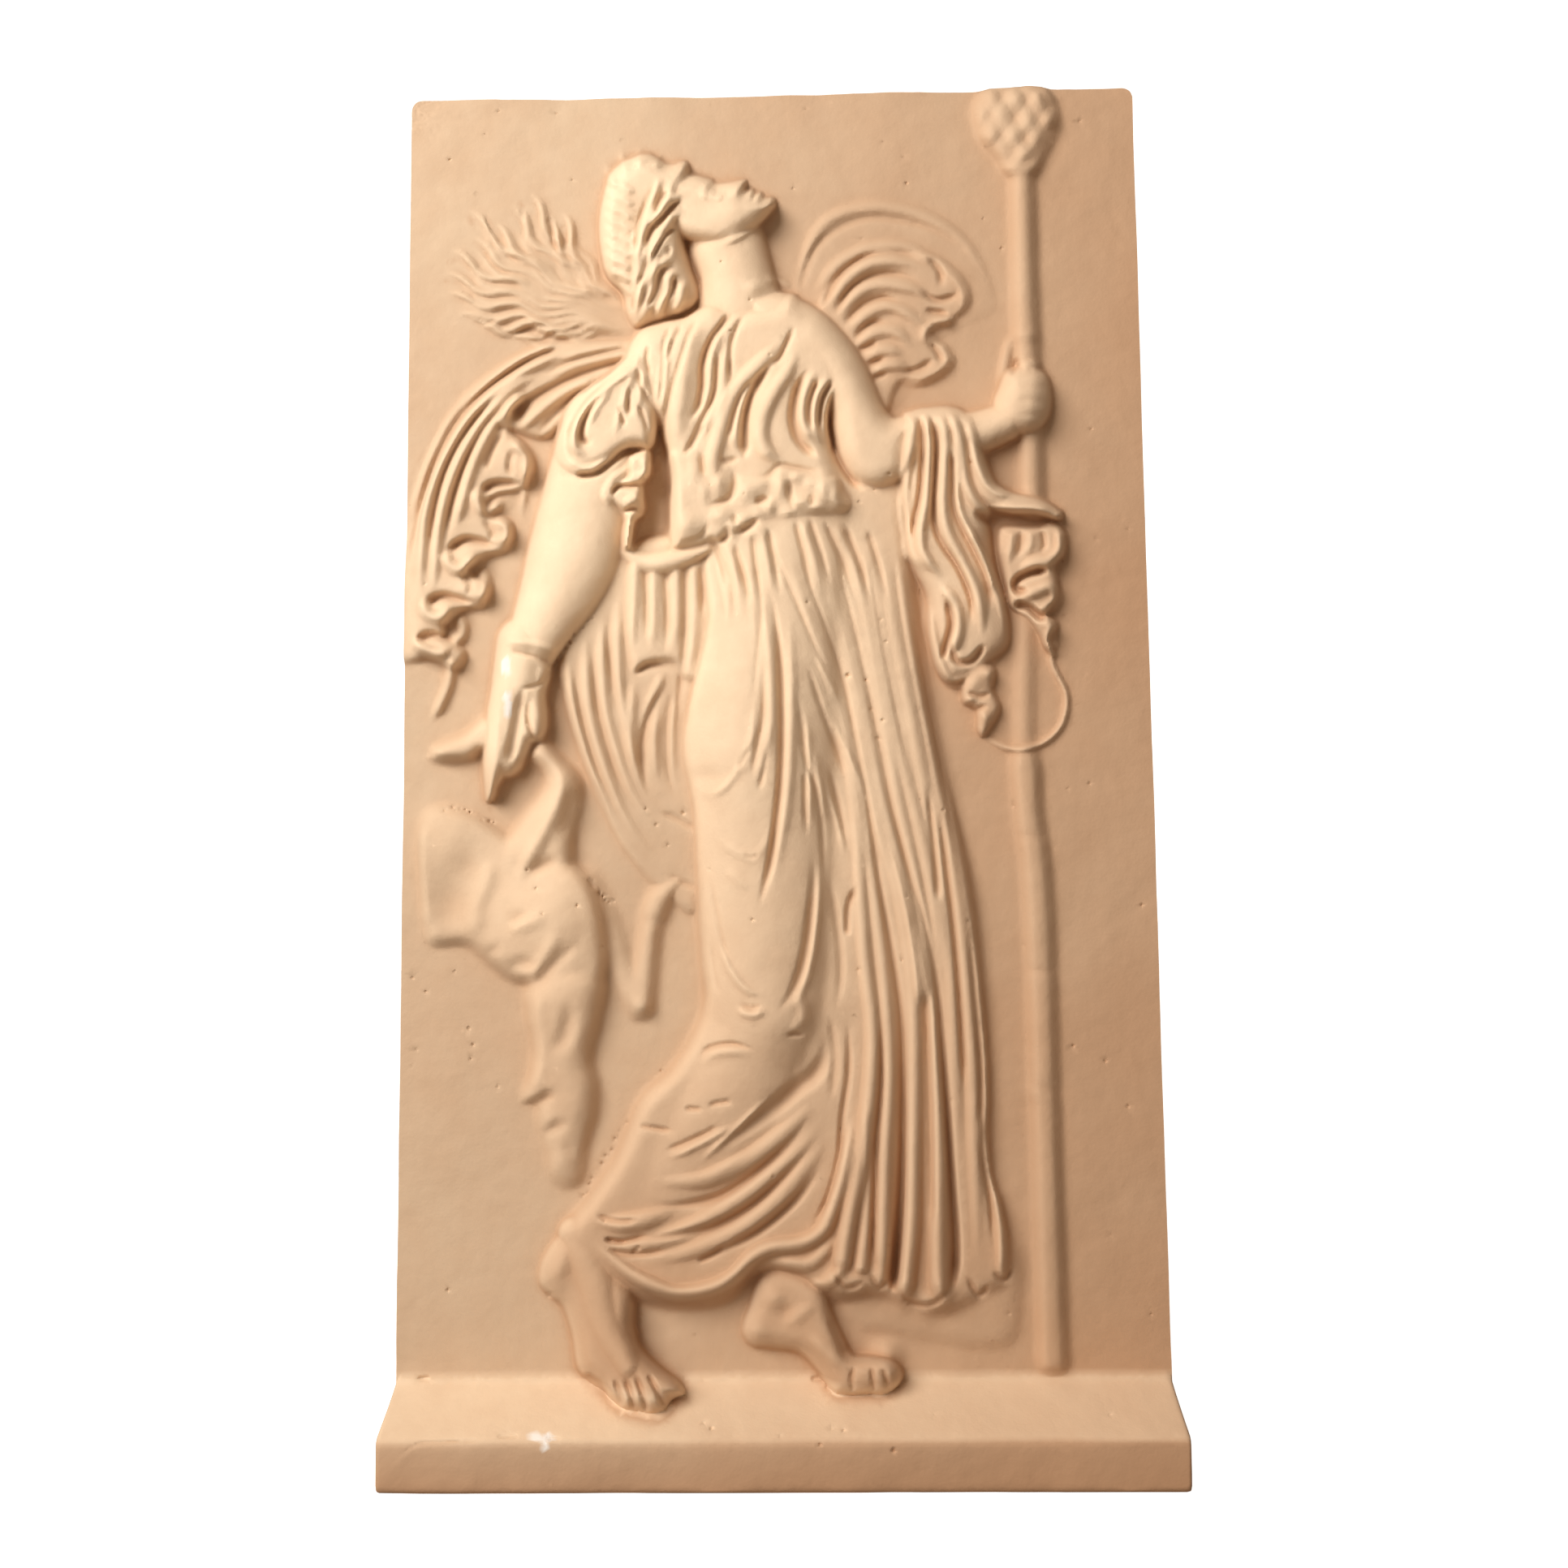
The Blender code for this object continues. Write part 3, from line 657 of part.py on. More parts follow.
    # cloth hanging in loops across the thigh, down to the knee
    c.folds([[(-30, 276), (-24, 264), (-15, 258), (-9, 258), (-4, 266), (-3, 276)],
             [(-24, 254), (-15, 245), (-11, 242)]], 3.2, 0.9, "bell", (0.4, 0.4), dress)
    c.folds([[(-15, 258.5), (-11, 257), (-8, 259)]], 1.2, -1.4, "bell", (0.2, 0.2), dress)
    c.folds([[(-30, 251), (-27, 235), (-23, 217), (-17, 203)], [(-29.5, 222), (-28, 208), (-25, 196)],
             [(-17, 194), (-12, 191.5), (-7, 194)]], 1.5, -1.2, "bell", (0.3, 0.3), dress)
    c.folds([[(-26, 222), (-20, 207), (-13, 199), (-5, 197.5)], [(-19, 192), (-12, 188.5), (-5, 191)]],
            2.6, 1.9, "bell", (0.3, 0.3), dress)
    c.folds([[(16, 262), (15, 240), (11.5, 215), (6, 199), (-3, 187)]],
            3.0, -2.6, "bell", (0.4, 0.3), dress)
    c.folds([[(19, 262), (18, 240), (15, 215), (10, 198), (2, 187)]], 2.6, 1.6, "bell", (0.4, 0.3), dress)
    c.folds([[(8, 200), (11, 188), (4, 181)]], 4.0, 1.5, "bell", (0.3, 0.3), dress)
    c.folds([[(-36, 169), (-31, 174.5), (-22, 176.5), (-14, 175), (-8, 172)],
             [(3, 179.3), (7, 180.5), (12, 179.6)]], 1.3, -2.6, "bell", (0.3, 0.4), dress)
    c.folds([[(-34, 167), (-28, 172), (-20, 173), (-11, 171)]], 2.8, 1.2, "bell", (0.3, 0.4), dress)
    # below the knee the cloth is swept back to the left heel
    c.folds([[(19, 184), (19.5, 172), (15, 163), (7, 157), (-3, 149), (-16, 139), (-32, 128)]],
            5.5, -3.6, "bell", (0.3, 0.5), dress)
    c.folds([[(-31, 150), (-26, 151.3), (-20, 152)], [(-50, 131), (-42, 134), (-33, 138), (-24, 143)],
             [(-62, 142), (-50, 140), (-45, 140)], [(-41, 149), (-33, 148.5)]],
            1.5, -2.2, "bell", (0.2, 0.3), dress)
    c.folds([[(-50, 127), (-40, 131), (-28, 137), (-18, 143)],
             [(-3, 155), (-12, 146.5), (-24, 135.5), (-36, 125)]], 2.0, 1.8, "bell", (0.3, 0.3), dress)
    c.folds([[(17, 154), (9, 145), (0, 137), (-10, 129.5), (-20, 124), (-34, 118.5), (-58, 118)],
             [(19, 146), (12, 135), (4, 127), (-5, 119.5), (-15, 112), (-28, 104), (-42, 97), (-60, 91.5),
              (-76, 92)],
             [(21, 140), (15, 129), (8, 120), (1, 112), (-8, 104), (-20, 96), (-32, 91), (-46, 86.5),
              (-62, 85)], [(-44, 106), (-56, 102.5), (-70, 100.5), (-82, 103)]],
            4.2, 3.4, "cord", (0.4, 0.4), dress)
    c.folds([[(14, 146), (6, 136), (-3, 128), (-14, 119), (-28, 111), (-46, 108), (-60, 110)],
             [(16, 137), (8, 127), (-2, 117), (-14, 107), (-30, 99), (-48, 95), (-70, 93.5)],
             [(20, 128), (12, 116), (2, 106), (-10, 97), (-22, 91), (-36, 84)]],
            3.2, -3.4, "bell", (0.4, 0.4), dress)
    c.folds([[(-80, 104), (-70, 101.5), (-60, 102)], [(-77, 94), (-68, 92.8), (-56, 96)],
             [(-76, 90), (-68, 88), (-60, 87.6), (-46, 89.5)], [(-36, 84), (-29, 87.5), (-23, 92)]],
            1.6, -2.6, "bell", (0.2, 0.3), dress)
    c.folds([[(33, 148), (28, 124), (22.5, 106), (17, 96), (8, 91.5), (-4, 90), (-12, 86), (-20, 78),
              (-30, 73), (-44, 71), (-56, 75), (-68, 82), (-82, 94)]], 3.6, 5.0, "cord", (0.15, 0.2))
    c.folds([[(25, 96), (14, 84), (4, 83), (-6, 84)], [(26, 82), (18, 74), (10, 76)]],
            3.2, 2.8, "cord", (0.3, 0.3), dress)
    c.folds([[(35, 245), (31, 236), (30, 222)],
             [(30, 190), (30, 165), (27, 145), (25.5, 128), (21, 112), (14, 99)],
             [(44, 190), (44, 160), (41.5, 135), (40, 105), (38.5, 80)],
             [(63, 215), (64.5, 180), (65.3, 145), (65, 95)],
             [(71, 286), (74, 250), (77, 218), (78.8, 185), (80, 155)],
             [(82, 240), (85, 200), (87, 165), (87, 132), (90, 110), (91, 88)],
             [(66, 290), (69, 258), (70, 236)]], 1.9, -2.6, "bell", (0.25, 0.12), dress)
    c.folds([[(22, 250), (26, 226), (27, 205), (24, 188)], [(22, 190), (24, 170), (22, 150)]],
            3.0, -1.4, "bell", (0.3, 0.3), dress)
    # turned-over ends of the long folds at the hem
    for x, z, size in ((26, 76, 5.0), (33, 75, 4.2), (41, 76, 4.6), (52, 69, 5.0), (62, 66, 5.4),
                       (69, 70, 3.6)):
        c.swell(x, z, size, 5.5, 3.0)
    c.folds([[(22, 80), (28, 73), (36, 76)], [(37, 80), (42, 73), (46, 77)],
             [(48, 74), (55, 67), (64, 66), (72, 72)], [(79, 78), (84, 70), (89, 74)],
             [(90, 80), (95, 76), (99, 81)]], 1.8, -2.6, "bell", (0.3, 0.2))


def carve_arm_cloth(c):
    """The cloth that hangs over the right forearm and swings out round the staff."""
    # the part that hangs in front of the hip
    c.mass([(57, 452), (62, 457), (70, 458.5), (80, 458.5), (87, 455), (92, 446), (93, 432), (97, 418),
            (96, 402), (98, 385), (103, 365), (103, 350), (92, 341), (80, 333), (72, 337), (68, 352),
            (67, 372), (60, 388), (58, 408), (56, 425)], (16.5, 75, 455, 10, 88, 350), 10)
    c.limb([(83, 450, 4.5, 12.5), (87, 443, 5.5, 14), (90, 430, 6, 14.5), (95, 419, 6, 14.5),
            (105, 414, 5, 14), (117, 412, 4.2, 13), (126, 408, 2.6, 12)])
    # the part that swings out behind the staff, ending in lobes
    c.mass([(98, 402), (106, 404), (118, 404), (127, 403.5), (129.5, 396), (128, 388), (123, 386),
            (116, 385.5), (110, 382), (106, 374), (101, 380), (98, 390)], 10, 7)
    c.mass([(103, 372), (107, 374), (112, 371.5), (119, 373), (124, 378), (126, 371), (123, 362),
            (117, 360), (111, 361), (105, 364)], 9, 5)
    c.mass([(111, 361), (122, 362), (125.5, 352), (122.5, 342), (117.5, 348)], 5.5, 4)
    c.swell(124, 395, 3.4, 8, 2.6)
    c.swell(106, 393, 4, 9, 2.2)
    c.folds([[(62, 457), (61.5, 442), (58.5, 425), (58, 412), (59.5, 400), (60.5, 391), (68, 383)],
             [(67.5, 457), (69.5, 442), (69, 428), (68, 415), (65, 402), (66, 391), (75, 380)],
             [(74, 457), (77, 445), (76.5, 430), (75.5, 415), (77, 402), (83, 389), (90, 372),
              (92, 352)]], 2.8, 3.6, "cord", (0.1, 0.15))
    c.folds([[(78, 458), (82.5, 448), (84.5, 436), (85.5, 425), (89, 416), (95, 411), (105, 411),
              (118, 411), (126, 408)], [(85, 457), (89.5, 442), (92, 430), (97, 421), (106, 417)]],
            2.6, 3.0, "cord", (0.1, 0.1))
    c.folds([[(81, 452), (81, 430), (82, 412), (88, 398), (96, 382), (101, 364), (100, 350)],
             [(86, 404), (92, 390), (97, 372)]], 2.4, 2.8, "cord", (0.2, 0.2))
    c.folds([[(65.5, 456), (67, 445), (66.5, 432), (65, 418), (62, 403), (62, 393)],
             [(70.5, 456), (72.5, 443), (72, 430), (71, 415), (71.5, 404), (75, 395), (82, 384),
              (87, 370), (86, 356)],
             [(79.5, 440), (80, 425), (80.5, 412), (84, 402), (90, 390), (94, 379), (96, 362)]],
            2.0, -4.2, "bell", (0.1, 0.2))
    c.folds([[(89, 411), (96, 405.5), (106, 405.5), (116, 404.5), (123, 404)]],
            3.4, -5.0, "bell", (0.15, 0.15))
    c.folds([[(103, 400), (103, 388)], [(112, 400), (113, 392)], [(124, 402), (125.5, 394), (123, 388)]],
            3.0, 1.8, "bell", (0.2, 0.3))
    c.folds([[(108.5, 401), (111, 394)], [(118, 402), (119, 391)]], 1.6, -2.0, "bell", (0.2, 0.3))
    c.folds([[(106.5, 374), (111, 379.5), (118, 382), (126, 384)]], 3.4, -4.0, "bell", (0.2, 0.25))
    c.folds([[(104, 364), (112, 361), (119, 357.5), (124, 352)]], 2.2, -4.0, "bell", (0.2, 0.2))
    # its lower end, folded up round a hollow
    c.folds([[(67, 374), (69, 356), (74, 338), (80, 333), (90, 338), (101, 348)],
             [(73, 378), (80, 368), (81, 356), (76, 344)]], 2.8, 3.0, "cord", (0.2, 0.2))
    c.folds([[(76, 372), (78, 360), (75, 348), (73, 342)], [(77, 352), (80, 343), (87, 343), (93, 351)]],
            2.4, -4.6, "bell", (0.2, 0.2))
    # the broken end, and the thin rim that runs on from it round the staff
    c.mass([(83, 336), (91, 342), (97, 339), (96, 330), (99, 322), (95, 314), (91, 309), (88, 313),
            (88, 321), (82, 325)], 6.5, 4)
    for x, z, size in ((88, 333, 4.6), (94, 337, 3.0), (86, 326, 2.6), (92, 318, 3.0)):
        c.swell(x, z, size, size * 0.7, 1.8, 17 * x)
    c.folds([[(84, 329), (90, 327), (96, 329)], [(88, 321), (93, 323)]], 1.6, -2.4, "bell", (0.2, 0.3))
    c.folds([[(121, 350), (122.5, 340), (128, 327), (125.5, 314), (117, 306), (106, 303.5), (97, 306),
              (90, 312)]], 1.5, 2.6, "cord", (0.1, 0.2))


def carve_head(c):
    """The head thrown back, a plain classical profile turned up to the right."""
    c.limb([(-14, 500, 21, 12), (-16, 520, 17, 13), (-20, 534, 17.5, 13)])
    c.swell(-8, 515, 4.5, 3, 1.5)
    c.folds([[(-4, 518), (3, 518), (9, 514)]], 2.6, 1.2, "bell", (0.3, 0.3))

    # the face is laid out in thirds: down runs from hairline to chin, out runs forward from the brow line
    turn = math.radians(FACE_TILT)
    down, out = (math.cos(turn), -math.sin(turn)), (math.sin(turn), math.cos(turn))

    def at(d, o):
        d, o = d * FACE_LENGTH, o * FACE_LENGTH
        return (HAIRLINE[0] + d * down[0] + o * out[0], HAIRLINE[1] + d * down[1] + o * out[1])

    third = 1 / 3
    face = c.mass([at(-0.06, -0.06), at(0.10, 0.02), at(0.24, 0.035), at(third, 0.035),
                   at(third + 0.05, 0.015), at(third + 0.17, 0.07), at(2 * third - 0.03, 0.135),
                   at(2 * third, 0.115), at(2 * third + 0.025, 0.05), at(2 * third + 0.08, 0.075),
                   at(2 * third + 0.12, 0.045), at(2 * third + 0.17, 0.065), at(2 * third + 0.22, 0.03),
                   at(0.96, 0.055), at(1.02, 0.0), at(1.0, -0.12), at(0.90, -0.32), at(0.74, -0.52),
                   at(0.55, -0.62), at(0.2, -0.62), at(-0.1, -0.4)], 15.5, 9)
    c.swell(*at(0.62, -0.22), 9, 8, 1.6)
    # brow, eye with its lids, nostril, lips and jaw
    c.folds([[at(0.30, 0.0), at(0.31, -0.10), at(0.35, -0.20)]], 3.4, 1.5, "bell", (0.3, 0.3), face)
    c.swell(*at(0.42, -0.07), 4.4, 3.4, -2.0)
    c.swell(*at(0.425, -0.095), 3.0, 2.4, 1.9)
    c.folds([[at(0.385, -0.03), at(0.375, -0.10), at(0.42, -0.17)],
             [at(0.465, -0.05), at(0.475, -0.10), at(0.44, -0.16)]], 1.3, 1.1, "cord", (0.2, 0.2), face)
    c.swell(*at(0.62, 0.005), 2.8, 2.6, 1.6)
    c.folds([[at(0.655, 0.03), at(0.66, -0.02)]], 1.2, -1.4, "bell", (0.2, 0.2), face)
    c.folds([[at(0.785, 0.06), at(0.79, 0.0), at(0.775, -0.05)]], 1.4, -1.6, "bell", (0.1, 0.3), face)
    c.folds([[at(0.755, 0.05), at(0.76, 0.0), at(0.775, -0.04)],
             [at(0.825, 0.04), at(0.82, 0.0), at(0.795, -0.04)]], 1.8, 0.9, "cord", (0.2, 0.4), face)
    c.folds([[at(1.0, -0.10), at(0.90, -0.30), at(0.74, -0.47), at(0.60, -0.56)]],
            5, 1.6, "bell", (0.3, 0.3), face)

    hair = c.mass([(-38, 574), (-47, 574), (-56, 579), (-65, 577), (-73, 571), (-77, 560), (-79, 546),
                   (-78, 532), (-75, 521), (-67, 513), (-64, 500), (-60, 495), (-55, 505), (-44, 515),
                   (-38, 524), (-40, 540), (-37, 556)], 16, 9)
    # a leafy wreath over the crown, and locks drawn back from the temple to the nape
    source = np.random.default_rng(11)
    for turn in np.linspace(62, 218, 30):
        a = math.radians(turn + source.uniform(-12, 12))
        start, reach = source.uniform(5, 17), source.uniform(8, 12)
        x, z = -60 + 0.8 * start * math.cos(a), 546 + 1.3 * start * math.sin(a)
        a += math.radians(source.uniform(-30, 30))
        tip = (x + reach * math.cos(a), z + reach * math.sin(a))
        c.folds([[(x, z), ((x + tip[0]) / 2 + 1, (z + tip[1]) / 2 - 1), tip]],
                (3.0, 2.2), 1.9, "cord", (0.3, 0.5))
    tips = [((-68, 566), (-74, 580)), ((-61, 570), (-62, 584)), ((-54, 570), (-53, 581)),
            ((-47, 568), (-41, 576)), ((-73, 556), (-82, 563)), ((-75, 545), (-83, 548)),
            ((-73, 526), (-79, 520))]
    c.folds([[a, b] for a, b in tips], 3.6, 3.0, "cord", (0.4, 0.6))
    c.folds([[(-44, 569), (-47, 560), (-52, 552), (-56, 545), (-59, 535), (-61, 520), (-62, 502)],
             [(-50, 569), (-54, 560), (-57, 550), (-61, 540), (-63, 525)],
             [(-41, 560), (-46, 556.5), (-51, 550), (-56, 543)],
             [(-41, 553), (-46, 548), (-51, 541), (-55, 534), (-58, 524)],
             [(-44, 542), (-50, 538), (-53, 532), (-56, 524), (-60, 512)],
             [(-43, 527), (-51, 526), (-57, 520), (-61, 508)],
             [(-41, 523), (-49, 521), (-54, 515), (-57, 507), (-60, 499)],
             [(-39, 519), (-47, 518.5), (-51, 513), (-54, 506), (-58, 500)]],
            2.7, 2.8, "cord", (0.2, 0.25), hair)
    c.folds([[(-40, 557), (-45, 554), (-49, 549), (-54, 545), (-56.5, 539), (-57, 533)],
             [(-47, 562), (-51, 556), (-53, 550)], [(-43, 544), (-47.5, 541), (-51.5, 535), (-55, 528)],
             [(-48, 528), (-54, 523.5), (-58, 518), (-61, 510)],
             [(-47, 521), (-52, 518), (-56, 511), (-59, 503)],
             [(-52, 568), (-57, 556), (-61, 544), (-62, 530)]], 1.5, -3.2, "bell", (0.2, 0.2), hair)
    c.swell(-47, 533, 3.2, 4.6, 2.6, -15)
    c.swell(-47, 533, 1.5, 2.6, -3.6, -15)


def cast_profile():
    """The cast's front seen from the side, from the top down: depth before the slab and height, in units."""
    up, away = HEIGHT_UNITS / CAST_HEIGHT, DEPTH_UNITS / RELIEF_DEPTH
    rise, arris, heel, reach = LEDGE_RISE * up, LEDGE_ARRIS * up, LEDGE_HEEL * up, LEDGE_REACH * away
    top = [(0.0, HEIGHT_UNITS), (0.0, rise + 60), (0.0, rise + 3)]
    # a hollow slope runs forward to the arris, and an upright face down to the rounded heel
    slope = [(reach * t, rise + (arris - rise) * t**0.85) for t in (0.02, 0.1, 0.3, 0.5, 0.7, 0.85, 0.95)]
    turn = [(reach - 0.3, arris - 0.8), (reach, arris - 2.5)]
    angles = np.linspace(0, math.pi / 2, 6)
    foot = [(reach - heel * (1 - math.cos(a)), heel * (1 - math.sin(a))) for a in angles]
    line = np.vstack([top, slope, turn, foot])
    length = np.concatenate([[0.0], np.cumsum(np.hypot(*np.diff(line, axis=0).T))])
    rows = np.linspace(0, length[-1], int(length[-1] / SURFACE_STEP) + 1)
    return np.interp(rows, length, line[:, 0]), np.interp(rows, length, line[:, 1])


def sample(carving, x, z):
    """The carving's depth at places on the picture plane."""
    col = np.clip((x - carving.x[0]) / carving.step, 0, len(carving.x) - 1.001)
    row = np.clip((z - carving.z[0]) / carving.step, 0, len(carving.z) - 1.001)
    c, r = col.astype(int), row.astype(int)
    u, v = col - c, row - r
    near = carving.depth[r, c] * (1 - u) + carving.depth[r, c + 1] * u
    return near * (1 - v) + (carving.depth[r + 1, c] * (1 - u) + carving.depth[r + 1, c + 1] * u) * v


def round_corners(x, z, size):
    """Turns the slab's two top corners on a quarter circle of this size."""
    u = (np.abs(x) - WIDTH_UNITS / 2 + size) / size
    v = (z - HEIGHT_UNITS + size) / size
    corner = (u > 0) & (v > 0)
    shrink = np.where(corner, np.maximum(u, v) / np.where(corner, np.hypot(u, v), 1), 1)
    x = np.where(corner, np.sign(x) * (WIDTH_UNITS / 2 - size * (1 - u * shrink)), x)
    return x, np.where(corner, HEIGHT_UNITS - size * (1 - v * shrink), z)


def front_surface(carving):
    """Points over the front, as rows from the top down: across, depth and height, in units."""
    base, height = cast_profile()
    across = np.linspace(-WIDTH_UNITS / 2, WIDTH_UNITS / 2, int(WIDTH_UNITS / SURFACE_STEP) + 1)
    x, z = np.meshgrid(across, height)
    depth = np.repeat(base[:, None], len(across), axis=1)
    # the outer edges are rounded over
    margin = np.minimum(WIDTH_UNITS / 2 - np.abs(x), HEIGHT_UNITS - z)
    size = EDGE_ROUND * WIDTH_UNITS / SLAB_WIDTH
    depth -= size - np.sqrt(np.maximum(size**2 - np.clip(size - margin, 0, size) ** 2, 0))
    # a form that stands out hides what lies behind it, so its depth is read along the line of sight
    eye_x, eye_z, eye_far = VIEWER
    lean = ease(np.clip(margin / LEAN_MARGIN, 0, 1))
    ahead = np.maximum(depth, 0) * lean + EDGE_BULGE * (1 - lean) * (z > HEIGHT_UNITS / 2)
    seen = eye_far / (eye_far - ahead)
    seen_x, seen_z = eye_x + (x - eye_x) * seen, eye_z + (z - eye_z) * seen
    # forms that reach the sides sink towards the edge
    sunk = 0.35 + 0.65 * ease(np.clip((WIDTH_UNITS / 2 - np.abs(x)) / SIDE_FADE, 0, 1))
    carved = np.maximum(sample(carving, seen_x, seen_z) * sunk, depth) - depth
    x = x + carved * lean * (eye_x - x) / (eye_far - depth)
    z = z + carved * lean * (eye_z - z) / (eye_far - depth)
    x, z = round_corners(x, z, CORNER_ROUND * WIDTH_UNITS / SLAB_WIDTH)
    return x, depth + carved, z


def cast_mesh(carving):
    """The closed solid: the carved front, four straight sides and a flat back."""
    x, depth, z = front_surface(carving)
    rows, cols = x.shape
    place = SLAB_WIDTH / WIDTH_UNITS, RELIEF_DEPTH / DEPTH_UNITS, CAST_HEIGHT / HEIGHT_UNITS
    middle = (LEDGE_REACH - SLAB_THICKNESS) / 2
    points = np.stack([x * place[0], middle - depth * place[1], z * place[2]], axis=-1).reshape(-1, 3)
    index = np.arange(rows * cols).reshape(rows, cols)
    ring = np.concatenate([index[0, :], index[1:, -1], index[-1, -2::-1], index[-2:0:-1, 0]])
    back = points[ring] * (1, 0, 1) + (0, middle + SLAB_THICKNESS, 0)
    # the last row lies on the ground and the first at the top, so the back's rim follows them exactly
    quads = np.stack([index[:-1, :-1], index[1:, :-1], index[1:, 1:], index[:-1, 1:]], axis=-1)
    first = rows * cols
    rim = first + np.arange(len(ring))
    walls = np.stack([ring, np.roll(ring, -1), np.roll(rim, -1), rim], axis=-1)
    mesh = bpy.data.meshes.new("relief_cast")
    faces = quads.reshape(-1, 4).tolist() + walls.tolist() + [rim.tolist()]
    mesh.from_pydata(np.vstack([points, back]).tolist(), [], faces)
    mesh.update()
    return mesh


def flatten(mesh):
    """Keeps the solid in its box and sets the outermost faces exactly flat."""
    half_depth = (LEDGE_REACH + SLAB_THICKNESS) / 2
    limits = ((-SLAB_WIDTH / 2, SLAB_WIDTH / 2), (-half_depth, half_depth), (0.0, CAST_HEIGHT))
    for vertex in mesh.vertices:
        for axis, (low, high) in enumerate(limits):
            if vertex.co[axis] < low + FLATNESS:
                vertex.co[axis] = low
            elif vertex.co[axis] > high - FLATNESS:
                vertex.co[axis] = high


def plaster():
    """Warm cream plaster, dry and matt."""
    material = bpy.data.materials.new("plaster")
    material.use_nodes = True
    shader = material.node_tree.nodes["Principled BSDF"]
    shader.inputs["Base Color"].default_value = PLASTER_COLOUR
    shader.inputs["Roughness"].default_value = PLASTER_ROUGHNESS
    shader.inputs["Metallic"].default_value = 0.0
    return material


def relief_cast():
    """The whole cast, as one object."""
    carving = Carving(CARVING_STEP)
    carve_cloth_behind(carving)
    carve_staff(carving)
    carve_kid(carving)
    carve_figure(carving)
    carve_flying_hair(carving)
    carving.soften(CARVING_STEP)
    cast = bpy.data.objects.new("relief_cast", cast_mesh(carving))
    cast.data.materials.append(plaster())
    bpy.context.scene.collection.objects.link(cast)
    bpy.context.view_layer.objects.active = cast
    facets = cast.modifiers.new("facets", "DECIMATE")
    facets.decimate_type = "COLLAPSE"
    facets.use_collapse_triangulate = True
    facets.ratio = FACETS / sum(len(face.vertices) - 2 for face in cast.data.polygons)
    bpy.ops.object.modifier_apply(modifier=facets.name)
    flatten(cast.data)
    return cast


def main():
    for item in list(bpy.data.objects):
        bpy.data.objects.remove(item)
    relief_cast()


main()
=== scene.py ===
"""The plaster relief cast with its fine carving, and the pale studio that it is shown in."""

import math

import bpy
import numpy as np
from bpy.props import FloatProperty, FloatVectorProperty, IntProperty, PointerProperty
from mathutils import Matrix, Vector


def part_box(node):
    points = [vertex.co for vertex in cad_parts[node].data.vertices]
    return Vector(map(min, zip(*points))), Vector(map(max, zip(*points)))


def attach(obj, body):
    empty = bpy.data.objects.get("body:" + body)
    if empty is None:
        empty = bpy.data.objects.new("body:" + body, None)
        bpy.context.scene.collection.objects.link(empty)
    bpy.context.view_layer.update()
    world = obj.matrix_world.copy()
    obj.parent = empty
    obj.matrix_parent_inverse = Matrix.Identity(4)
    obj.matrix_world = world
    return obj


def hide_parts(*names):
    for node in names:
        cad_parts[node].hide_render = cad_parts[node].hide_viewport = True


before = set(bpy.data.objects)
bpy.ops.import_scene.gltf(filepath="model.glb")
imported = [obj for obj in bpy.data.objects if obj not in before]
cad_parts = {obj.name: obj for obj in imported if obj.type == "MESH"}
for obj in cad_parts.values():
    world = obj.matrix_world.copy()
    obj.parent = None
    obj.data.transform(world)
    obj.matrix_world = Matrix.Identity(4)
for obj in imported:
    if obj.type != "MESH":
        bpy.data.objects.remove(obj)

bl_info = {
    "name": "Plaster Relief Cast",
    "version": (1, 0, 0),
    "blender": (4, 5, 0),
    "location": "View3D > Sidebar > Relief",
    "description": "Carves a plaster relief cast over its solid and sets up its studio",
    "category": "Object",
}

NODE = "relief_cast"

# the carving is drawn in these units across the slab, up it and out from it
WIDTH_UNITS = 330.0
HEIGHT_UNITS = 606.0
DEPTH_UNITS = 25.0

# raised forms lean towards a viewer here: across, up and away, in drawing units
VIEWER = (13.0, 241.0, 605.0)
LEAN_MARGIN = 20.0
EDGE_BULGE = 7.0
SIDE_FADE = 9.0

# the head, in drawing units: a face in equal thirds, thrown back
HAIRLINE = (-42.0, 570.0)
FACE_LENGTH = 46.0
FACE_TILT = 20.0

# points this close to the solid's box, in metres, are set on it
FLATNESS = 2e-5
SHARP_ANGLE = math.radians(62)

# the surface is marked by how far it lies under or over its surroundings, all in drawing units
FINE_SIZE = 1.5
BROAD_SIZE = 5.0
FULL_HOLLOW = 1.2
FULL_SHADE = 5.0
RAISED_FROM = 1.0
RAISED_RANGE = 11.0

# chips through the patina: middle across, middle up, half width and half height, in drawing units
RAW_CHIPS = [(-120, 343, 1.5, 3.0), (-119, 326, 1.5, 5.0),
             (-103, 12, 4.5, 1.2), (-101, 9.5, 1.0, 2.5)]
CHIP_SPREAD = 1.3
CHIP_EDGE = 4

FLOOR_SIZE = 8.0
KEY_TONE = (1.0, 0.93, 0.85)

# the picture plane that is drawn on, a little wider than the slab as the viewer sees it
DRAWN_LEFT, DRAWN_RIGHT = -180.0, 180.0
DRAWN_FOOT, DRAWN_TOP = -14.0, 616.0


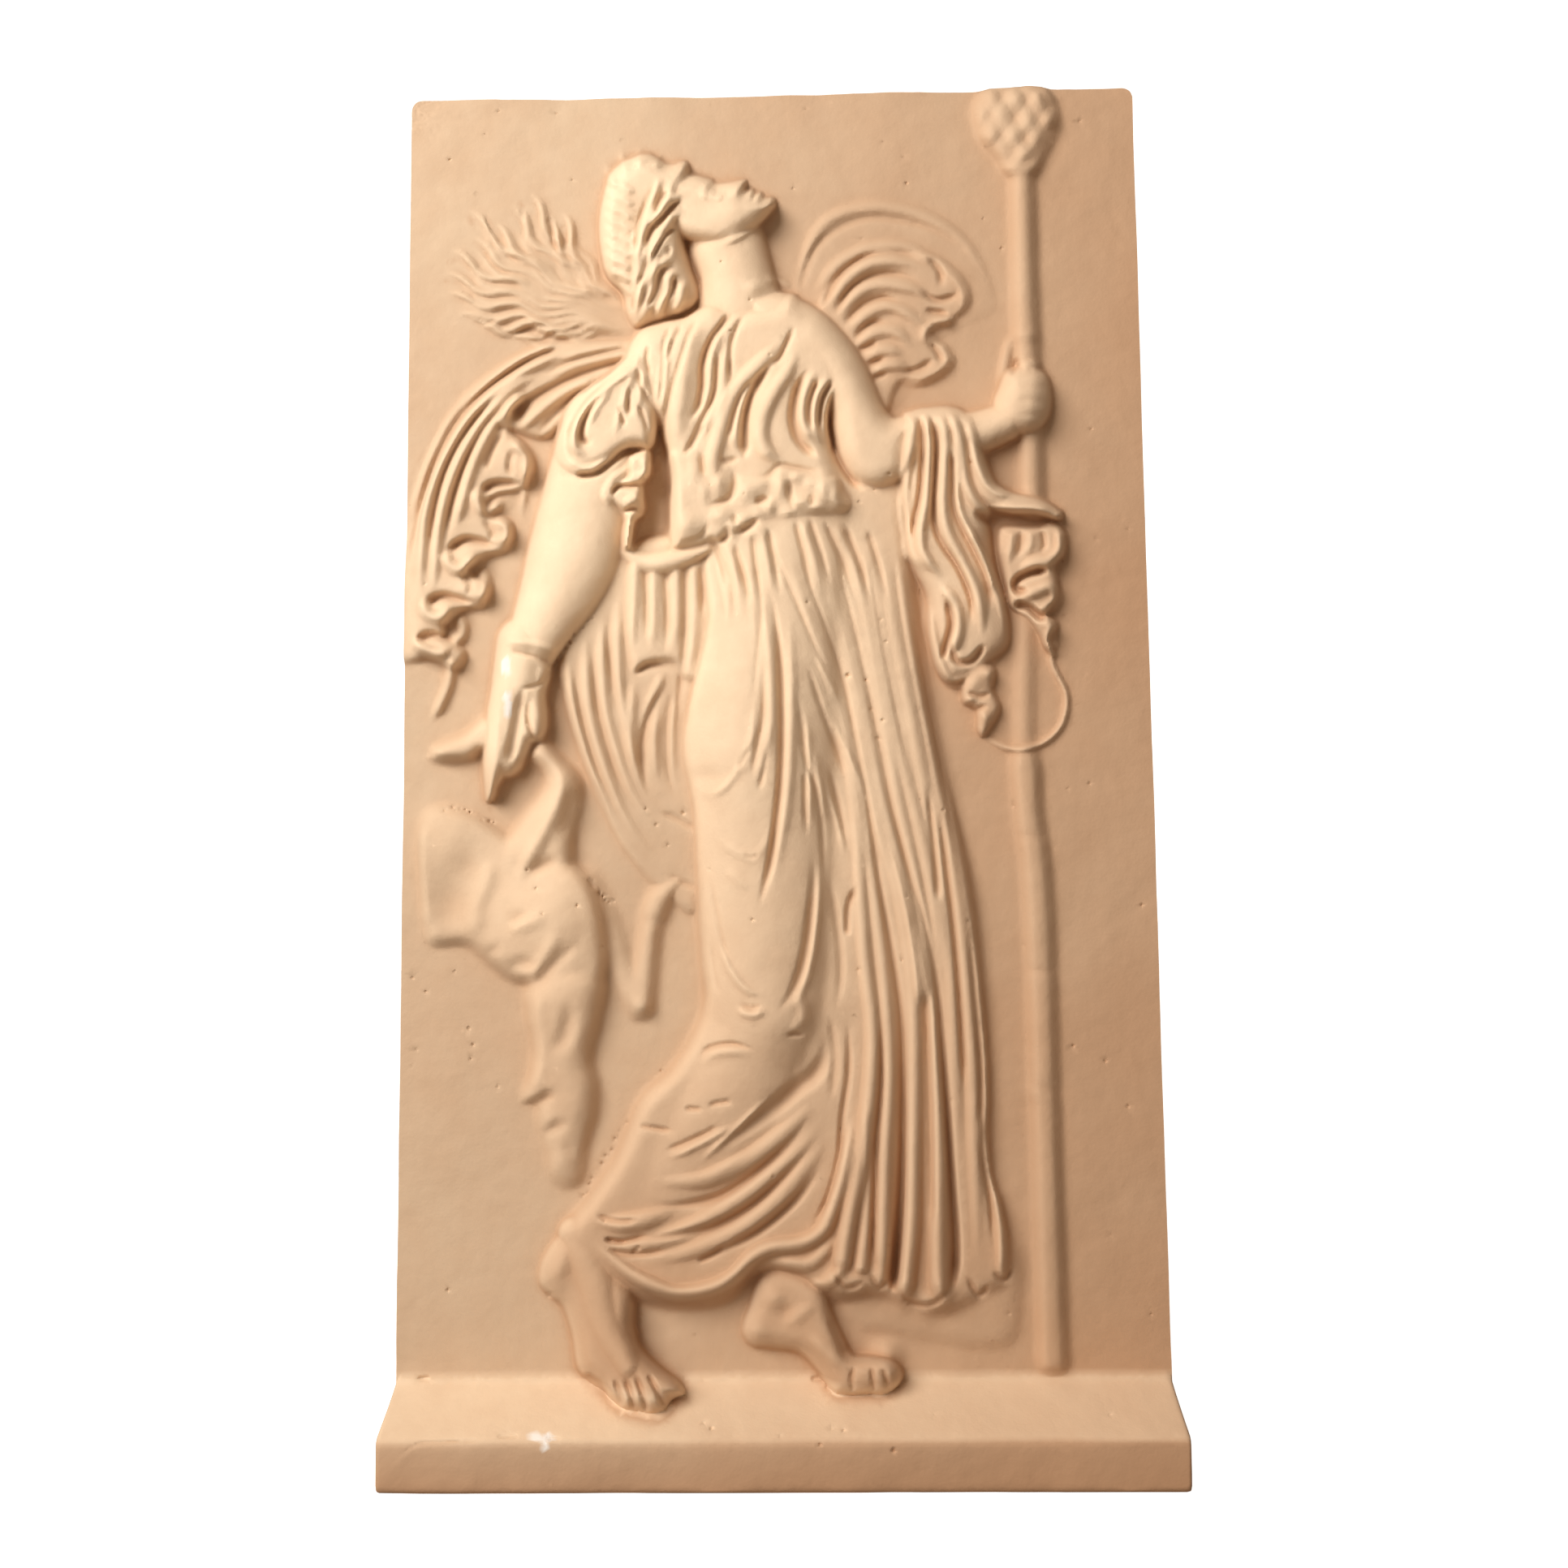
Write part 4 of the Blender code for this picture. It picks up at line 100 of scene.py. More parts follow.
class CastSettings(bpy.types.PropertyGroup):
    """The cast's sizes and finish."""

    slab_thickness: FloatProperty(
        name="Slab thickness", description="From the slab's front face to its back",
        default=0.030, unit="LENGTH", subtype="DISTANCE")
    relief_depth: FloatProperty(
        name="Relief depth", description="How far the deepest forms stand out from the slab",
        default=0.025, unit="LENGTH", subtype="DISTANCE")
    ledge_rise: FloatProperty(
        name="Ledge rise", description="Height at which the ledge meets the slab",
        default=0.036, unit="LENGTH", subtype="DISTANCE")
    ledge_arris: FloatProperty(
        name="Ledge arris", description="Height of the ledge's front edge",
        default=0.021, unit="LENGTH", subtype="DISTANCE")
    ledge_heel: FloatProperty(
        name="Ledge heel", description="Radius of the ledge's lower front edge",
        default=0.0035, unit="LENGTH", subtype="DISTANCE")
    edge_round: FloatProperty(
        name="Edge round", description="Radius of the slab's outer edges",
        default=0.0025, unit="LENGTH", subtype="DISTANCE")
    corner_round: FloatProperty(
        name="Corner round", description="Radius of the slab's two top corners",
        default=0.005, unit="LENGTH", subtype="DISTANCE")
    carving_step: FloatProperty(
        name="Carving step", description="Spacing of the carving's grid, in drawing units", default=0.5)
    surface_step: FloatProperty(
        name="Surface step", description="Spacing of the surface's points, in drawing units", default=0.6)
    facets: IntProperty(
        name="Facets", description="Triangles kept in the finished piece", default=196000)
    seed: IntProperty(
        name="Seed", description="Sets where the bubbles and small chips fall", default=7)
    bubbles: IntProperty(
        name="Bubbles", description="Pinholes left by air in the plaster", default=70)
    light_tone: FloatVectorProperty(
        name="Light tone", description="Plaster where it is cleanest",
        default=(0.66, 0.50, 0.35), subtype="COLOR", size=3)
    raw_tone: FloatVectorProperty(
        name="Raw tone", description="White plaster laid bare by a chip",
        default=(0.88, 0.84, 0.80), subtype="COLOR", size=3)
    # also painted light: the pale of forms that stand out and of the ledge's slope, besides rubbed wear
    rubbed_and_lit_tone: FloatVectorProperty(
        name="Raised tone", description="Paler colour of what stands out and is rubbed clean",
        default=(0.96, 0.77, 0.56), subtype="COLOR", size=3)
    # also painted shade: the darker tan on the right, towards the bottom and on the ledge's face
    tan_and_shade_tone: FloatVectorProperty(
        name="Warm tone", description="Plaster where it has aged",
        default=(0.54, 0.33, 0.20), subtype="COLOR", size=3)
    # also painted shade: in the hollows, on raised forms low down and towards the ground
    dirt_and_shade_tone: FloatVectorProperty(
        name="Dust tone", description="Dirt held in the hollows",
        default=(0.48, 0.27, 0.15), subtype="COLOR", size=3)
    roughness: FloatProperty(
        name="Roughness", description="Roughness of the dry plaster", default=0.72)


class StudioSettings(bpy.types.PropertyGroup):
    """The camera, lights and floor."""

    lens: FloatProperty(
        name="Lens", description="Focal length on a 36 mm sensor", default=31.68, subtype="DISTANCE_CAMERA")
    camera_place: FloatVectorProperty(
        name="Camera place", description="Where the camera stands", default=(0.013, -0.605, 0.241),
        subtype="XYZ", unit="LENGTH", size=3)
    camera_turn: FloatVectorProperty(
        name="Camera turn", description="How the camera is turned",
        default=(math.radians(94.56), math.radians(0.54), math.radians(0.97)), subtype="EULER", size=3)
    key_place: FloatVectorProperty(
        name="Key place", description="Where the main light stands", default=(-0.85, -1.05, 0.95),
        subtype="XYZ", unit="LENGTH", size=3)
    key_size: FloatProperty(
        name="Key size", description="Side of the main light", default=0.9, unit="LENGTH",
        subtype="DISTANCE")
    key_power: FloatProperty(
        name="Key power", description="Power of the main light", default=28.0, unit="POWER")
    sky: FloatProperty(
        name="Sky", description="Strength of the light all round", default=0.25)
    sky_tone: FloatVectorProperty(
        name="Sky tone", description="Colour of the light all round", default=(1.0, 0.80, 0.61),
        subtype="COLOR", size=3)
    floor_tone: FloatVectorProperty(
        name="Floor tone", description="Colour of the floor", default=(0.93, 0.93, 0.92),
        subtype="COLOR", size=3)
    floor_glow: FloatProperty(
        name="Floor glow", description="How far the floor is lifted towards the white round it",
        default=0.9)


class Carving:
    """The carving's depth before the slab, on a square grid of the picture plane, in drawing units."""

    def __init__(self, step):
        self.step = step
        self.x = np.arange(DRAWN_LEFT, DRAWN_RIGHT + step, step)
        self.z = np.arange(DRAWN_FOOT, DRAWN_TOP + step, step)
        self.depth = np.zeros((len(self.z), len(self.x)))

    def window(self, line, reach):
        """Rows and columns of the grid around a line."""
        (x0, z0), (x1, z1) = line.min(axis=0) - reach, line.max(axis=0) + reach
        row = int(max(0, (z0 - DRAWN_FOOT) / self.step))
        col = int(max(0, (x0 - DRAWN_LEFT) / self.step))
        last_row, last_col = (z1 - DRAWN_FOOT) / self.step, (x1 - DRAWN_LEFT) / self.step
        return slice(row, int(max(row, last_row + 2))), slice(col, int(max(col, last_col + 2)))

    def near(self, line, reach):
        """Distance to a line and the share of its length reached there."""
        view = self.window(line, reach)
        x, z = self.x[view[1]][None, :], self.z[view[0]][:, None]
        far = np.full((z.size, x.size), reach * 1.0)
        share = np.zeros(far.shape)
        lengths = np.hypot(*np.diff(line, axis=0).T)
        along = np.concatenate([[0.0], np.cumsum(lengths)]) / max(lengths.sum(), 1e-9)
        for (ax, az), (bx, bz), s0, s1 in zip(line[:-1], line[1:], along[:-1], along[1:]):
            dx, dz = bx - ax, bz - az
            t = np.clip(((x - ax) * dx + (z - az) * dz) / (dx * dx + dz * dz + 1e-12), 0, 1)
            d = np.hypot(x - ax - t * dx, z - az - t * dz)
            closer = d < far
            far = np.where(closer, d, far)
            share = np.where(closer, s0 + t * (s1 - s0), share)
        return view, far, share

    def inside(self, outline, view):
        """True inside a closed outline."""
        x, z = self.x[view[1]][None, :], self.z[view[0]][:, None]
        found = np.zeros((z.size, x.size), bool)
        for (ax, az), (bx, bz) in zip(outline, np.roll(outline, -1, axis=0)):
            if az != bz:
                crossed = (z > min(az, bz)) & (z <= max(az, bz))
                found ^= crossed & (x > ax + (z - az) * (bx - ax) / (bz - az))
        return found

    def mass(self, points, top, rim):
        """A cushion with this outline that rises to top within rim of its edge; returns where it is."""
        outline = curve(points, 6, closed=True)
        view, far, _ = self.near(np.vstack([outline, outline[:1]]), rim)
        mask = self.inside(outline, view)
        level = top if not isinstance(top, tuple) else self.slope(view, *top)
        shape = level * np.sqrt(1 - (1 - np.clip(far / rim, 0, 1)) ** 2) * mask
        self.depth[view] = np.maximum(self.depth[view], shape)
        whole = np.zeros(self.depth.shape)
        whole[view] = mask
        return whole

    def slope(self, view, level, ax, az, other, bx, bz):
        """A level that changes evenly from one point to another."""
        x, z = self.x[view[1]][None, :], self.z[view[0]][:, None]
        t = ((x - ax) * (bx - ax) + (z - az) * (bz - az)) / ((bx - ax) ** 2 + (bz - az) ** 2)
        return level + (other - level) * np.clip(t, 0, 1)

    def limb(self, points, clip=None):
        """A round limb through points of (x, z, half width, depth)."""
        path = curve(points, 6)
        view, far, share = self.near(path[:, :2], path[:, 2].max() + 1)
        lengths = np.hypot(*np.diff(path[:, :2], axis=0).T)
        along = np.concatenate([[0.0], np.cumsum(lengths)]) / lengths.sum()
        wide, tall = np.interp(share, along, path[:, 2]), np.interp(share, along, path[:, 3])
        shape = tall * np.sqrt(np.clip(1 - (far / wide) ** 2, 0, 1))
        if clip is not None:
            shape *= clip[view]
        self.depth[view] = np.maximum(self.depth[view], shape)

    def swell(self, x, z, wide, tall, lift, turn=0.0, clip=None):
        """A soft swelling with its half width and half height, turned anticlockwise by degrees."""
        c, s = math.cos(math.radians(turn)), math.sin(math.radians(turn))
        dx, dz = self.x[None, :] - x, self.z[:, None] - z
        u, v = (dx * c + dz * s) / wide, (-dx * s + dz * c) / tall
        bump = lift * np.exp(-1.2 * (u * u + v * v))
        self.depth += bump if clip is None else bump * clip

    def folds(self, paths, wide, lift, kind="bell", fade=(0.25, 0.25), clip=None):
        """Ridges along paths, or grooves where lift is below 0: bell, cord or cut in section.

        Half width and lift are single values, or pairs for a path's start and end.
        """
        wide0, wide1 = wide if isinstance(wide, tuple) else (wide, wide)
        lift0, lift1 = lift if isinstance(lift, tuple) else (lift, lift)
        for points in paths:
            path = curve(points, 6)
            view, far, share = self.near(path, max(wide0, wide1))
            ends = ease(share / max(fade[0], 1e-6)) * ease((1 - share) / max(fade[1], 1e-6))
            grown = share * share
            reach = (wide0 + (wide1 - wide0) * grown) * (0.5 + 0.5 * ends)
            t = np.clip(far / reach, 0, 1)
            if kind == "bell":
                section = np.cos(t * math.pi / 2) ** 2
            elif kind == "cord":
                section = (1 - t * t) ** 0.75
            else:
                section = (1 - t) ** 1.5
            shape = (lift0 + (lift1 - lift0) * grown) * ends * section
            self.depth[view] += shape if clip is None else shape * clip[view]

    def soften(self, size):
        """Evens the surface over about this size."""
        cells = int(round(size / self.step))
        for axis in (0, 1, 0, 1) if cells else ():
            self.depth = box_mean(self.depth, cells, axis)


def box_mean(values, cells, axis):
    """Mean over the neighbours within so many cells along one axis."""
    pad = [(0, 0), (0, 0)]
    pad[axis] = (cells + 1, cells)
    total = np.cumsum(np.pad(values, pad, mode="edge"), axis=axis)
    n, width = values.shape[axis], 2 * cells + 1
    return (np.take(total, range(width, width + n), axis) - np.take(total, range(n), axis)) / width


def ease(t):
    """Rises from 0 to 1 with a soft start and end."""
    t = np.clip(t, 0, 1)
    return t * t * (3 - 2 * t)


def curve(points, per=6, closed=False):
    """A smooth line through the points, with per steps between each two."""
    p = np.array(points, float)
    if len(p) < 3:
        return p
    before = p[-1:] if closed else 2 * p[:1] - p[1:2]
    after = p[:2] if closed else 2 * p[-1:] - p[-2:-1]
    q = np.vstack([before, p, after])
    t = (np.arange(per) / per)[:, None]
    runs = []
    for a, b, c, d in zip(q[:-3], q[1:-2], q[2:-1], q[3:]):
        bend = 2 * a - 5 * b + 4 * c - d + t * (3 * b - a - 3 * c + d)
        runs.append(b + 0.5 * t * (c - a + t * bend))
    line = np.vstack(runs)
    return line if closed else np.vstack([line, p[-1:]])


def wavy(start, bend, end, sway, turns):
    """A lock from start to end by way of a bend, swaying from side to side."""
    t = np.linspace(0, 1, 4 * turns + 3)[:, None]
    a, b, c = (np.array(p, float) for p in (start, bend, end))
    line = a * (1 - t) ** 2 + 2 * b * t * (1 - t) + c * t * t
    along = 2 * (b - a) * (1 - t) + 2 * (c - b) * t
    across = np.stack([-along[:, 1], along[:, 0]], axis=1) / np.hypot(along[:, :1], along[:, 1:])
    return line + across * sway * np.sin(t * turns * 2 * math.pi) * np.minimum(1, 3 * t)


def carve_cloth_behind(c):
    """Cloak, veil and the cloth hanging behind the body."""
    c.mass([(-56, 492), (-70, 491), (-95, 491), (-115, 485), (-135, 468), (-150, 445), (-160, 420),
            (-168, 395), (-172, 350), (-155, 347), (-142, 342), (-138, 350), (-147, 358), (-140, 368),
            (-130, 370), (-128, 380), (-137, 386), (-130, 392), (-119, 396), (-118, 408), (-129, 412),
            (-126, 420), (-112, 424), (-108, 434), (-114, 446), (-122, 452), (-104, 446), (-92, 455),
            (-74, 470)], (4.5, -70, 480, 6.5, -165, 380), 5)
    c.folds([[(-92, 491), (-105, 487.5), (-118, 481.5), (-130, 473), (-140, 463), (-149, 450),
              (-157, 434), (-162, 420), (-166, 404)],
             [(-90, 488), (-108, 480.5), (-120, 473.5), (-132, 463), (-141, 452), (-149, 438),
              (-154, 425), (-157, 410), (-158.5, 392), (-160, 374)],
             [(-105, 477), (-118, 470), (-127, 460), (-136, 447), (-143, 434), (-148, 420), (-151, 405),
              (-152, 388), (-153, 376)],
             [(-113, 467), (-125, 455), (-132, 443), (-137, 430), (-141, 415), (-143, 405)]],
            2.7, 3.0, "cord", (0.12, 0.15))
    c.folds([[(-92, 489.5), (-108, 484), (-120, 476.5), (-131, 468), (-141, 457), (-149, 443),
              (-155, 430), (-160, 415), (-163, 400), (-165, 384)]], 2.8, -4.4, "bell", (0.1, 0.15))
    c.folds([[(-124, 468), (-135, 456), (-143, 444), (-149, 430), (-153, 412), (-155.5, 392)],
             [(-119, 465), (-130, 453), (-137, 441), (-142, 428), (-146, 412), (-148, 398)],
             [(-122, 450), (-127, 441), (-130, 432)]], 1.9, -3.0, "bell", (0.2, 0.2))
    c.folds([[(-64, 486), (-78, 483), (-90, 480), (-103, 474)],
             [(-66, 490.5), (-85, 486.5), (-100, 482)]], 2.4, 2.2, "cord", (0.15, 0.3))
    c.folds([[(-64, 488), (-80, 485), (-92, 481.5), (-106, 475)]], 1.6, -2.2, "bell", (0.15, 0.3))
    # the deep pocket under the arm of the cloak
    c.folds([[(-64, 482.5), (-76, 479.5), (-90, 474.5), (-103, 468), (-113, 461), (-118, 454)]],
            (1.8, 5.4), (-3.0, -6.0), "bell", (0.15, 0.1))
    c.folds([[(-112, 468), (-119, 461), (-121, 453), (-117, 448)],
             [(-78, 475), (-93, 468.5), (-105, 459.5), (-116, 449)]], 2.8, 3.2, "cord", (0.2, 0.2))
    c.folds([[(-84, 471), (-97, 459), (-108, 447)]], 2.2, -2.4, "bell", (0.3, 0.3))
    c.folds([[(-102, 428), (-106, 412), (-108, 392)], [(-113, 440), (-112, 424), (-114, 408)]],
            2.4, 2.2, "bell", (0.2, 0.4))

    # the cloak's frilled inner hem: each lobe rolls over the hollow of the next
    c.folds([[(-119, 446), (-112.5, 441), (-110, 436), (-111.5, 430), (-114.5, 427)],
             [(-133, 425), (-133.5, 418), (-129, 413.5), (-121, 419)],
             [(-126, 410), (-120.5, 407), (-119.5, 402), (-124, 398)],
             [(-147, 397), (-146, 390), (-140, 387), (-133, 395)],
             [(-133, 387), (-129.5, 383), (-129, 377), (-134, 372.5)],
             [(-156, 375), (-156, 368), (-150, 365), (-144, 371)],
             [(-143, 366), (-139.5, 362), (-140, 357), (-145, 353)],
             [(-162, 358), (-158, 352), (-150, 349), (-144, 353)],
             [(-144, 349), (-145.5, 336), (-150, 325), (-154, 319)]], 2.8, 3.6, "cord", (0.2, 0.25))
    c.swell(-118, 438, 6, 9, 2.4, 10)
    c.swell(-124, 416, 6, 4, 2.4, 25)
    c.swell(-137, 391, 6, 4, 2.4, 25)
    c.swell(-136, 378, 6, 5, 2.4, 10)
    c.swell(-147, 369, 5, 4, 2.0, 25)
    c.swell(-146, 356, 5, 4, 2.0, 10)
    c.folds([[(-131.5, 421), (-127, 425), (-120, 426), (-112, 425.5)],
             [(-147, 394.5), (-140, 399.5), (-134, 400), (-122, 397)],
             [(-157, 371), (-150, 374.5), (-143, 374), (-132, 371)],
             [(-162, 355), (-154, 357.5), (-148, 356), (-141, 352.5)]],
            (3.6, 1.4), (-6.0, -3.5), "bell", (0.2, 0.3))
    c.folds([[(-117, 443), (-119, 434), (-117, 428)], [(-131, 410), (-126, 404), (-128, 399)],
             [(-141, 386), (-136, 380), (-138, 374)], [(-149, 364), (-146, 359), (-149, 355)]],
            2.4, -2.8, "bell", (0.3, 0.3))

    drape = c.mass([(-28, 396), (-62, 398), (-80, 385), (-95, 352), (-94, 328), (-86, 300), (-76, 277),
                    (-64, 256), (-50, 242), (-34, 236), (-30, 300)], (6.5, -60, 390, 3.0, -60, 250), 5)
    c.mass([(-28, 396), (-62, 398), (-68, 370), (-64, 338), (-57, 342), (-46, 343), (-42, 336),
            (-30, 340)], 9, 5)
    c.folds([[(-93, 350), (-91, 330), (-87, 312), (-80, 291), (-71, 268), (-54, 247)],
             [(-85, 360), (-84, 335), (-82, 318), (-77, 300), (-70, 281), (-58, 261), (-44, 248)],
             [(-77, 366), (-77, 340), (-75, 320), (-70, 302), (-63, 284), (-48, 262)],
             [(-70, 376), (-70, 345), (-69, 325), (-65, 305), (-60, 289), (-48, 272)]],
            4.2, 2.6, "bell", (0.2, 0.5), drape)
    c.folds([[(-95, 332), (-92, 320), (-88, 305), (-83, 293), (-78, 284), (-69, 262), (-50, 243)],
             [(-90, 348), (-88, 330), (-85, 317), (-80, 300), (-75, 288), (-67, 272), (-52, 254)],
             [(-81, 358), (-80, 335), (-78, 322), (-74, 307), (-70, 295), (-62, 280), (-46, 261)],
             [(-74, 372), (-74, 350), (-72, 336), (-69, 320), (-66, 303), (-59, 285)]],
            2.2, -2.0, "bell", (0.3, 0.5), drape)
    c.folds([[(-62, 394), (-63, 370), (-65, 345)], [(-54, 392), (-54, 365), (-55, 347)],
             [(-44, 392), (-44, 362), (-46, 346)], [(-36, 390), (-36, 360), (-39, 335)]],
            3.4, 1.8, "bell", (0.1, 0.3))
    c.folds([[(-58, 392), (-57, 366), (-58, 350)], [(-49, 390), (-48, 362), (-50, 344)],
             [(-40, 390), (-40, 360), (-42, 335), (-45, 310)], [(-32, 388), (-32, 362)]],
            2.0, -2.4, "bell", (0.1, 0.4))
    c.folds([[(-63, 337), (-64, 318), (-63, 302), (-58, 284)], [(-49, 340), (-55, 328), (-59, 314)],
             [(-52, 324), (-54, 308), (-52, 286)], [(-45, 330), (-47, 310), (-46, 284)]],
            3.2, 2.2, "bell", (0.2, 0.5))
    c.folds([[(-64, 337), (-60, 341), (-53, 343), (-46, 341)],
             [(-48, 334), (-54, 326), (-58, 314), (-59, 300), (-56, 282)],
             [(-46, 334), (-48, 312), (-47, 292), (-43, 280)]], 2.0, -2.8, "bell", (0.25, 0.4))
    c.folds([[(-52, 278), (-44, 274.5), (-36, 270)], [(-48, 250), (-36, 244)]],
            1.8, -1.6, "bell", (0.3, 0.1))

    # the veil blown up behind the shoulder
    c.mass([(10, 506), (13, 530), (21, 546), (38, 555), (52, 555.5), (70, 550), (84, 541), (96, 524),
            (101, 504), (92, 498), (72, 486), (50, 456), (22, 500)], 1.0, 12)
    c.folds([[(12, 514), (19, 538), (31, 549), (50, 552), (70, 547), (86, 536), (96, 519), (100, 504)]],
            3.0, 1.5, "cord", (0.15, 0.4))
    c.folds([[(12, 512), (19, 532), (33, 543.5), (50, 546.5), (72, 541), (88, 528)]],
            1.9, -2.2, "bell", (0.1, 0.4))
    c.mass([(20, 503), (31, 522), (46, 531), (60, 530), (74, 525), (85, 516), (87, 505), (80, 497),
            (73, 496), (70, 489), (78, 487), (79, 478), (69, 471), (57, 469), (50, 456), (36, 474)],
           3.6, 4)
    c.folds([[(18, 508), (28, 523), (42, 532), (60, 533), (72, 527), (80, 519)],
             [(24, 503), (34, 518), (46, 525.5), (62, 525), (72, 518)],
             [(28, 499), (38, 511), (50, 515.5), (66, 512), (76, 503)],
             [(33, 493), (43, 502), (54, 505), (66, 498), (70, 490)],
             [(37, 487), (46, 493), (56, 493), (64, 484)], [(41, 481), (50, 485), (60, 482)],
             [(44, 474), (52, 478), (62, 477)]], 3.2, 2.4, "cord", (0.25, 0.4))
    c.folds([[(21, 503), (31, 520), (44, 529), (58, 529)],
             [(27, 500), (36, 514), (48, 520), (62, 519), (70, 512)],
             [(31, 496), (41, 506), (51, 509), (62, 504)], [(36, 490), (45, 497.5), (54, 498)],
             [(38, 484.5), (48, 489)], [(42, 478), (51, 481)], [(44, 471), (52, 475)]],
            1.7, -3.0, "bell", (0.2, 0.4))
    c.folds([[(60, 530), (74, 526), (85, 516), (87, 506), (80, 497)],
             [(84, 498), (74, 497), (69, 491), (77, 487)], [(79, 486), (79, 478), (69, 471), (57, 469)]],
            2.6, 2.6, "cord", (0.2, 0.3))
    c.folds([[(66, 514), (73, 508), (81, 509), (85, 513)], [(70, 529), (76, 521), (76, 513)],
             [(68, 503), (74, 502), (80, 501)], [(70, 488), (74, 484), (76, 478)],
             [(57, 474), (66, 476), (73, 481)]], 2.2, -3.0, "bell", (0.3, 0.3))


def carve_flying_hair(c):
    """Loose locks blown back from the nape, each to a tip of its own."""
    c.mass([(-60, 494), (-66, 508), (-80, 512), (-84, 518), (-92, 528), (-102, 536), (-112, 541),
            (-124, 538), (-132, 528), (-136, 516), (-132, 504), (-115, 497), (-88, 493)], 1.5, 20)
    tips = [(-96, 552), (-103, 547), (-110.5, 562), (-119, 556), (-128, 548), (-139, 554),
            (-137, 541), (-148, 535), (-150, 524), (-149, 514), (-144, 504), (-136, 498),
            (-118, 492)]

    def lock(x, z, sway):
        """Leaves the nape level and then turns to its own tip, so that it crosses no other."""
        root = (-62, 497 + 0.13 * (z - 492))
        bend = (root[0] + 0.62 * (x - root[0]), root[1] + 0.26 * (z - root[1]))
        return wavy(root, bend, (x, z), sway, 3)

    for k, (x, z) in enumerate(tips):
        next_x, next_z = tips[k + 1] if k + 1 < len(tips) else (x + 2, z - 5)
        between = 0.5 * (x + next_x) + 3.0, 0.5 * (z + next_z) - 1.5
        cut = 0.75 * x + 0.25 * next_x, 0.75 * z + 0.25 * next_z
        c.folds([lock(x, z, 1.8 + 0.5 * (k % 2))], (3.2, 1.9), (0.9, 2.8), "cord", (0.3, 0.15))
        c.folds([lock(*between, 1.8)], (2.2, 1.5), (0.5, 2.0), "cord", (0.4, 0.25))
        c.folds([lock(*cut, 1.8)], 1.3, (-0.6, -2.4), "bell", (0.45, 0.15))
    c.folds([[(-97, 549), (-94, 541), (-95, 535)], [(-101, 546), (-99, 537), (-97, 531)],
             [(-115, 560), (-113, 547)], [(-131, 552), (-126, 540)], [(-139, 553), (-135, 544)],
             [(-149, 528), (-144, 531)], [(-137, 501), (-130, 500), (-124, 503)],
             [(-150, 519), (-146, 522)]],
            1.4, -2.0, "bell", (0.3, 0.3))


def carve_staff(c):
    """The staff with its cone, standing on the ledge."""
    c.limb([(114, 572, 5.4, 5.4), (114, 500, 5.6, 5.4), (115, 440, 5.6, 5.4), (115, 395, 5.2, 4.0)])
    c.limb([(111, 362, 4.4, 2.5), (109, 304, 4.6, 2.8)])
    c.mass([(104, 301), (114.5, 301), (116, 275), (119, 250), (120, 206), (120, 150), (121, 60),
            (121, 42), (119, 37.5), (111, 37.5), (109, 42), (109, 60), (108.5, 150), (108, 206),
            (107, 250), (104.5, 275)], 5.2, 4.4)
    c.folds([[(104, 266), (117, 265)], [(106, 208), (121, 206)], [(107, 158), (121, 155)]],
            1.4, -1.8, "bell", (0.1, 0.1))
    c.swell(109, 156, 2.6, 3.0, 1.4)
    c.mass([(112, 612), (98, 610), (93, 598), (95, 584), (103, 573), (107, 566), (120, 566), (125, 575),
            (131, 588), (131, 602), (126, 611)], 7.2, 11)
    # the cone's scales, between crossing rows of cuts
    c.folds([[(96, 604), (103, 590), (111, 575)], [(103, 611), (112, 593), (119, 576)],
             [(113, 611), (120, 597), (126, 584)], [(122, 610), (128, 598)],
             [(95, 586), (103, 599), (110, 611)], [(99, 577), (111, 592), (122, 610)],
             [(106, 570), (118, 586), (130, 602)], [(114, 569), (122, 578), (130, 590)]],
            2.4, -1.9, "bell", (0.1, 0.1))
    for x, z in ((102, 597), (109, 585), (112, 601), (118, 590), (122, 603), (126, 592), (116, 577),
                 (101, 584)):
        c.swell(x, z, 4.0, 4.0, 1.2)
    c.folds([[(107, 567), (114, 569), (120, 567)], [(108, 491), (120, 491)]],
            2.2, 1.6, "cord", (0.1, 0.1))


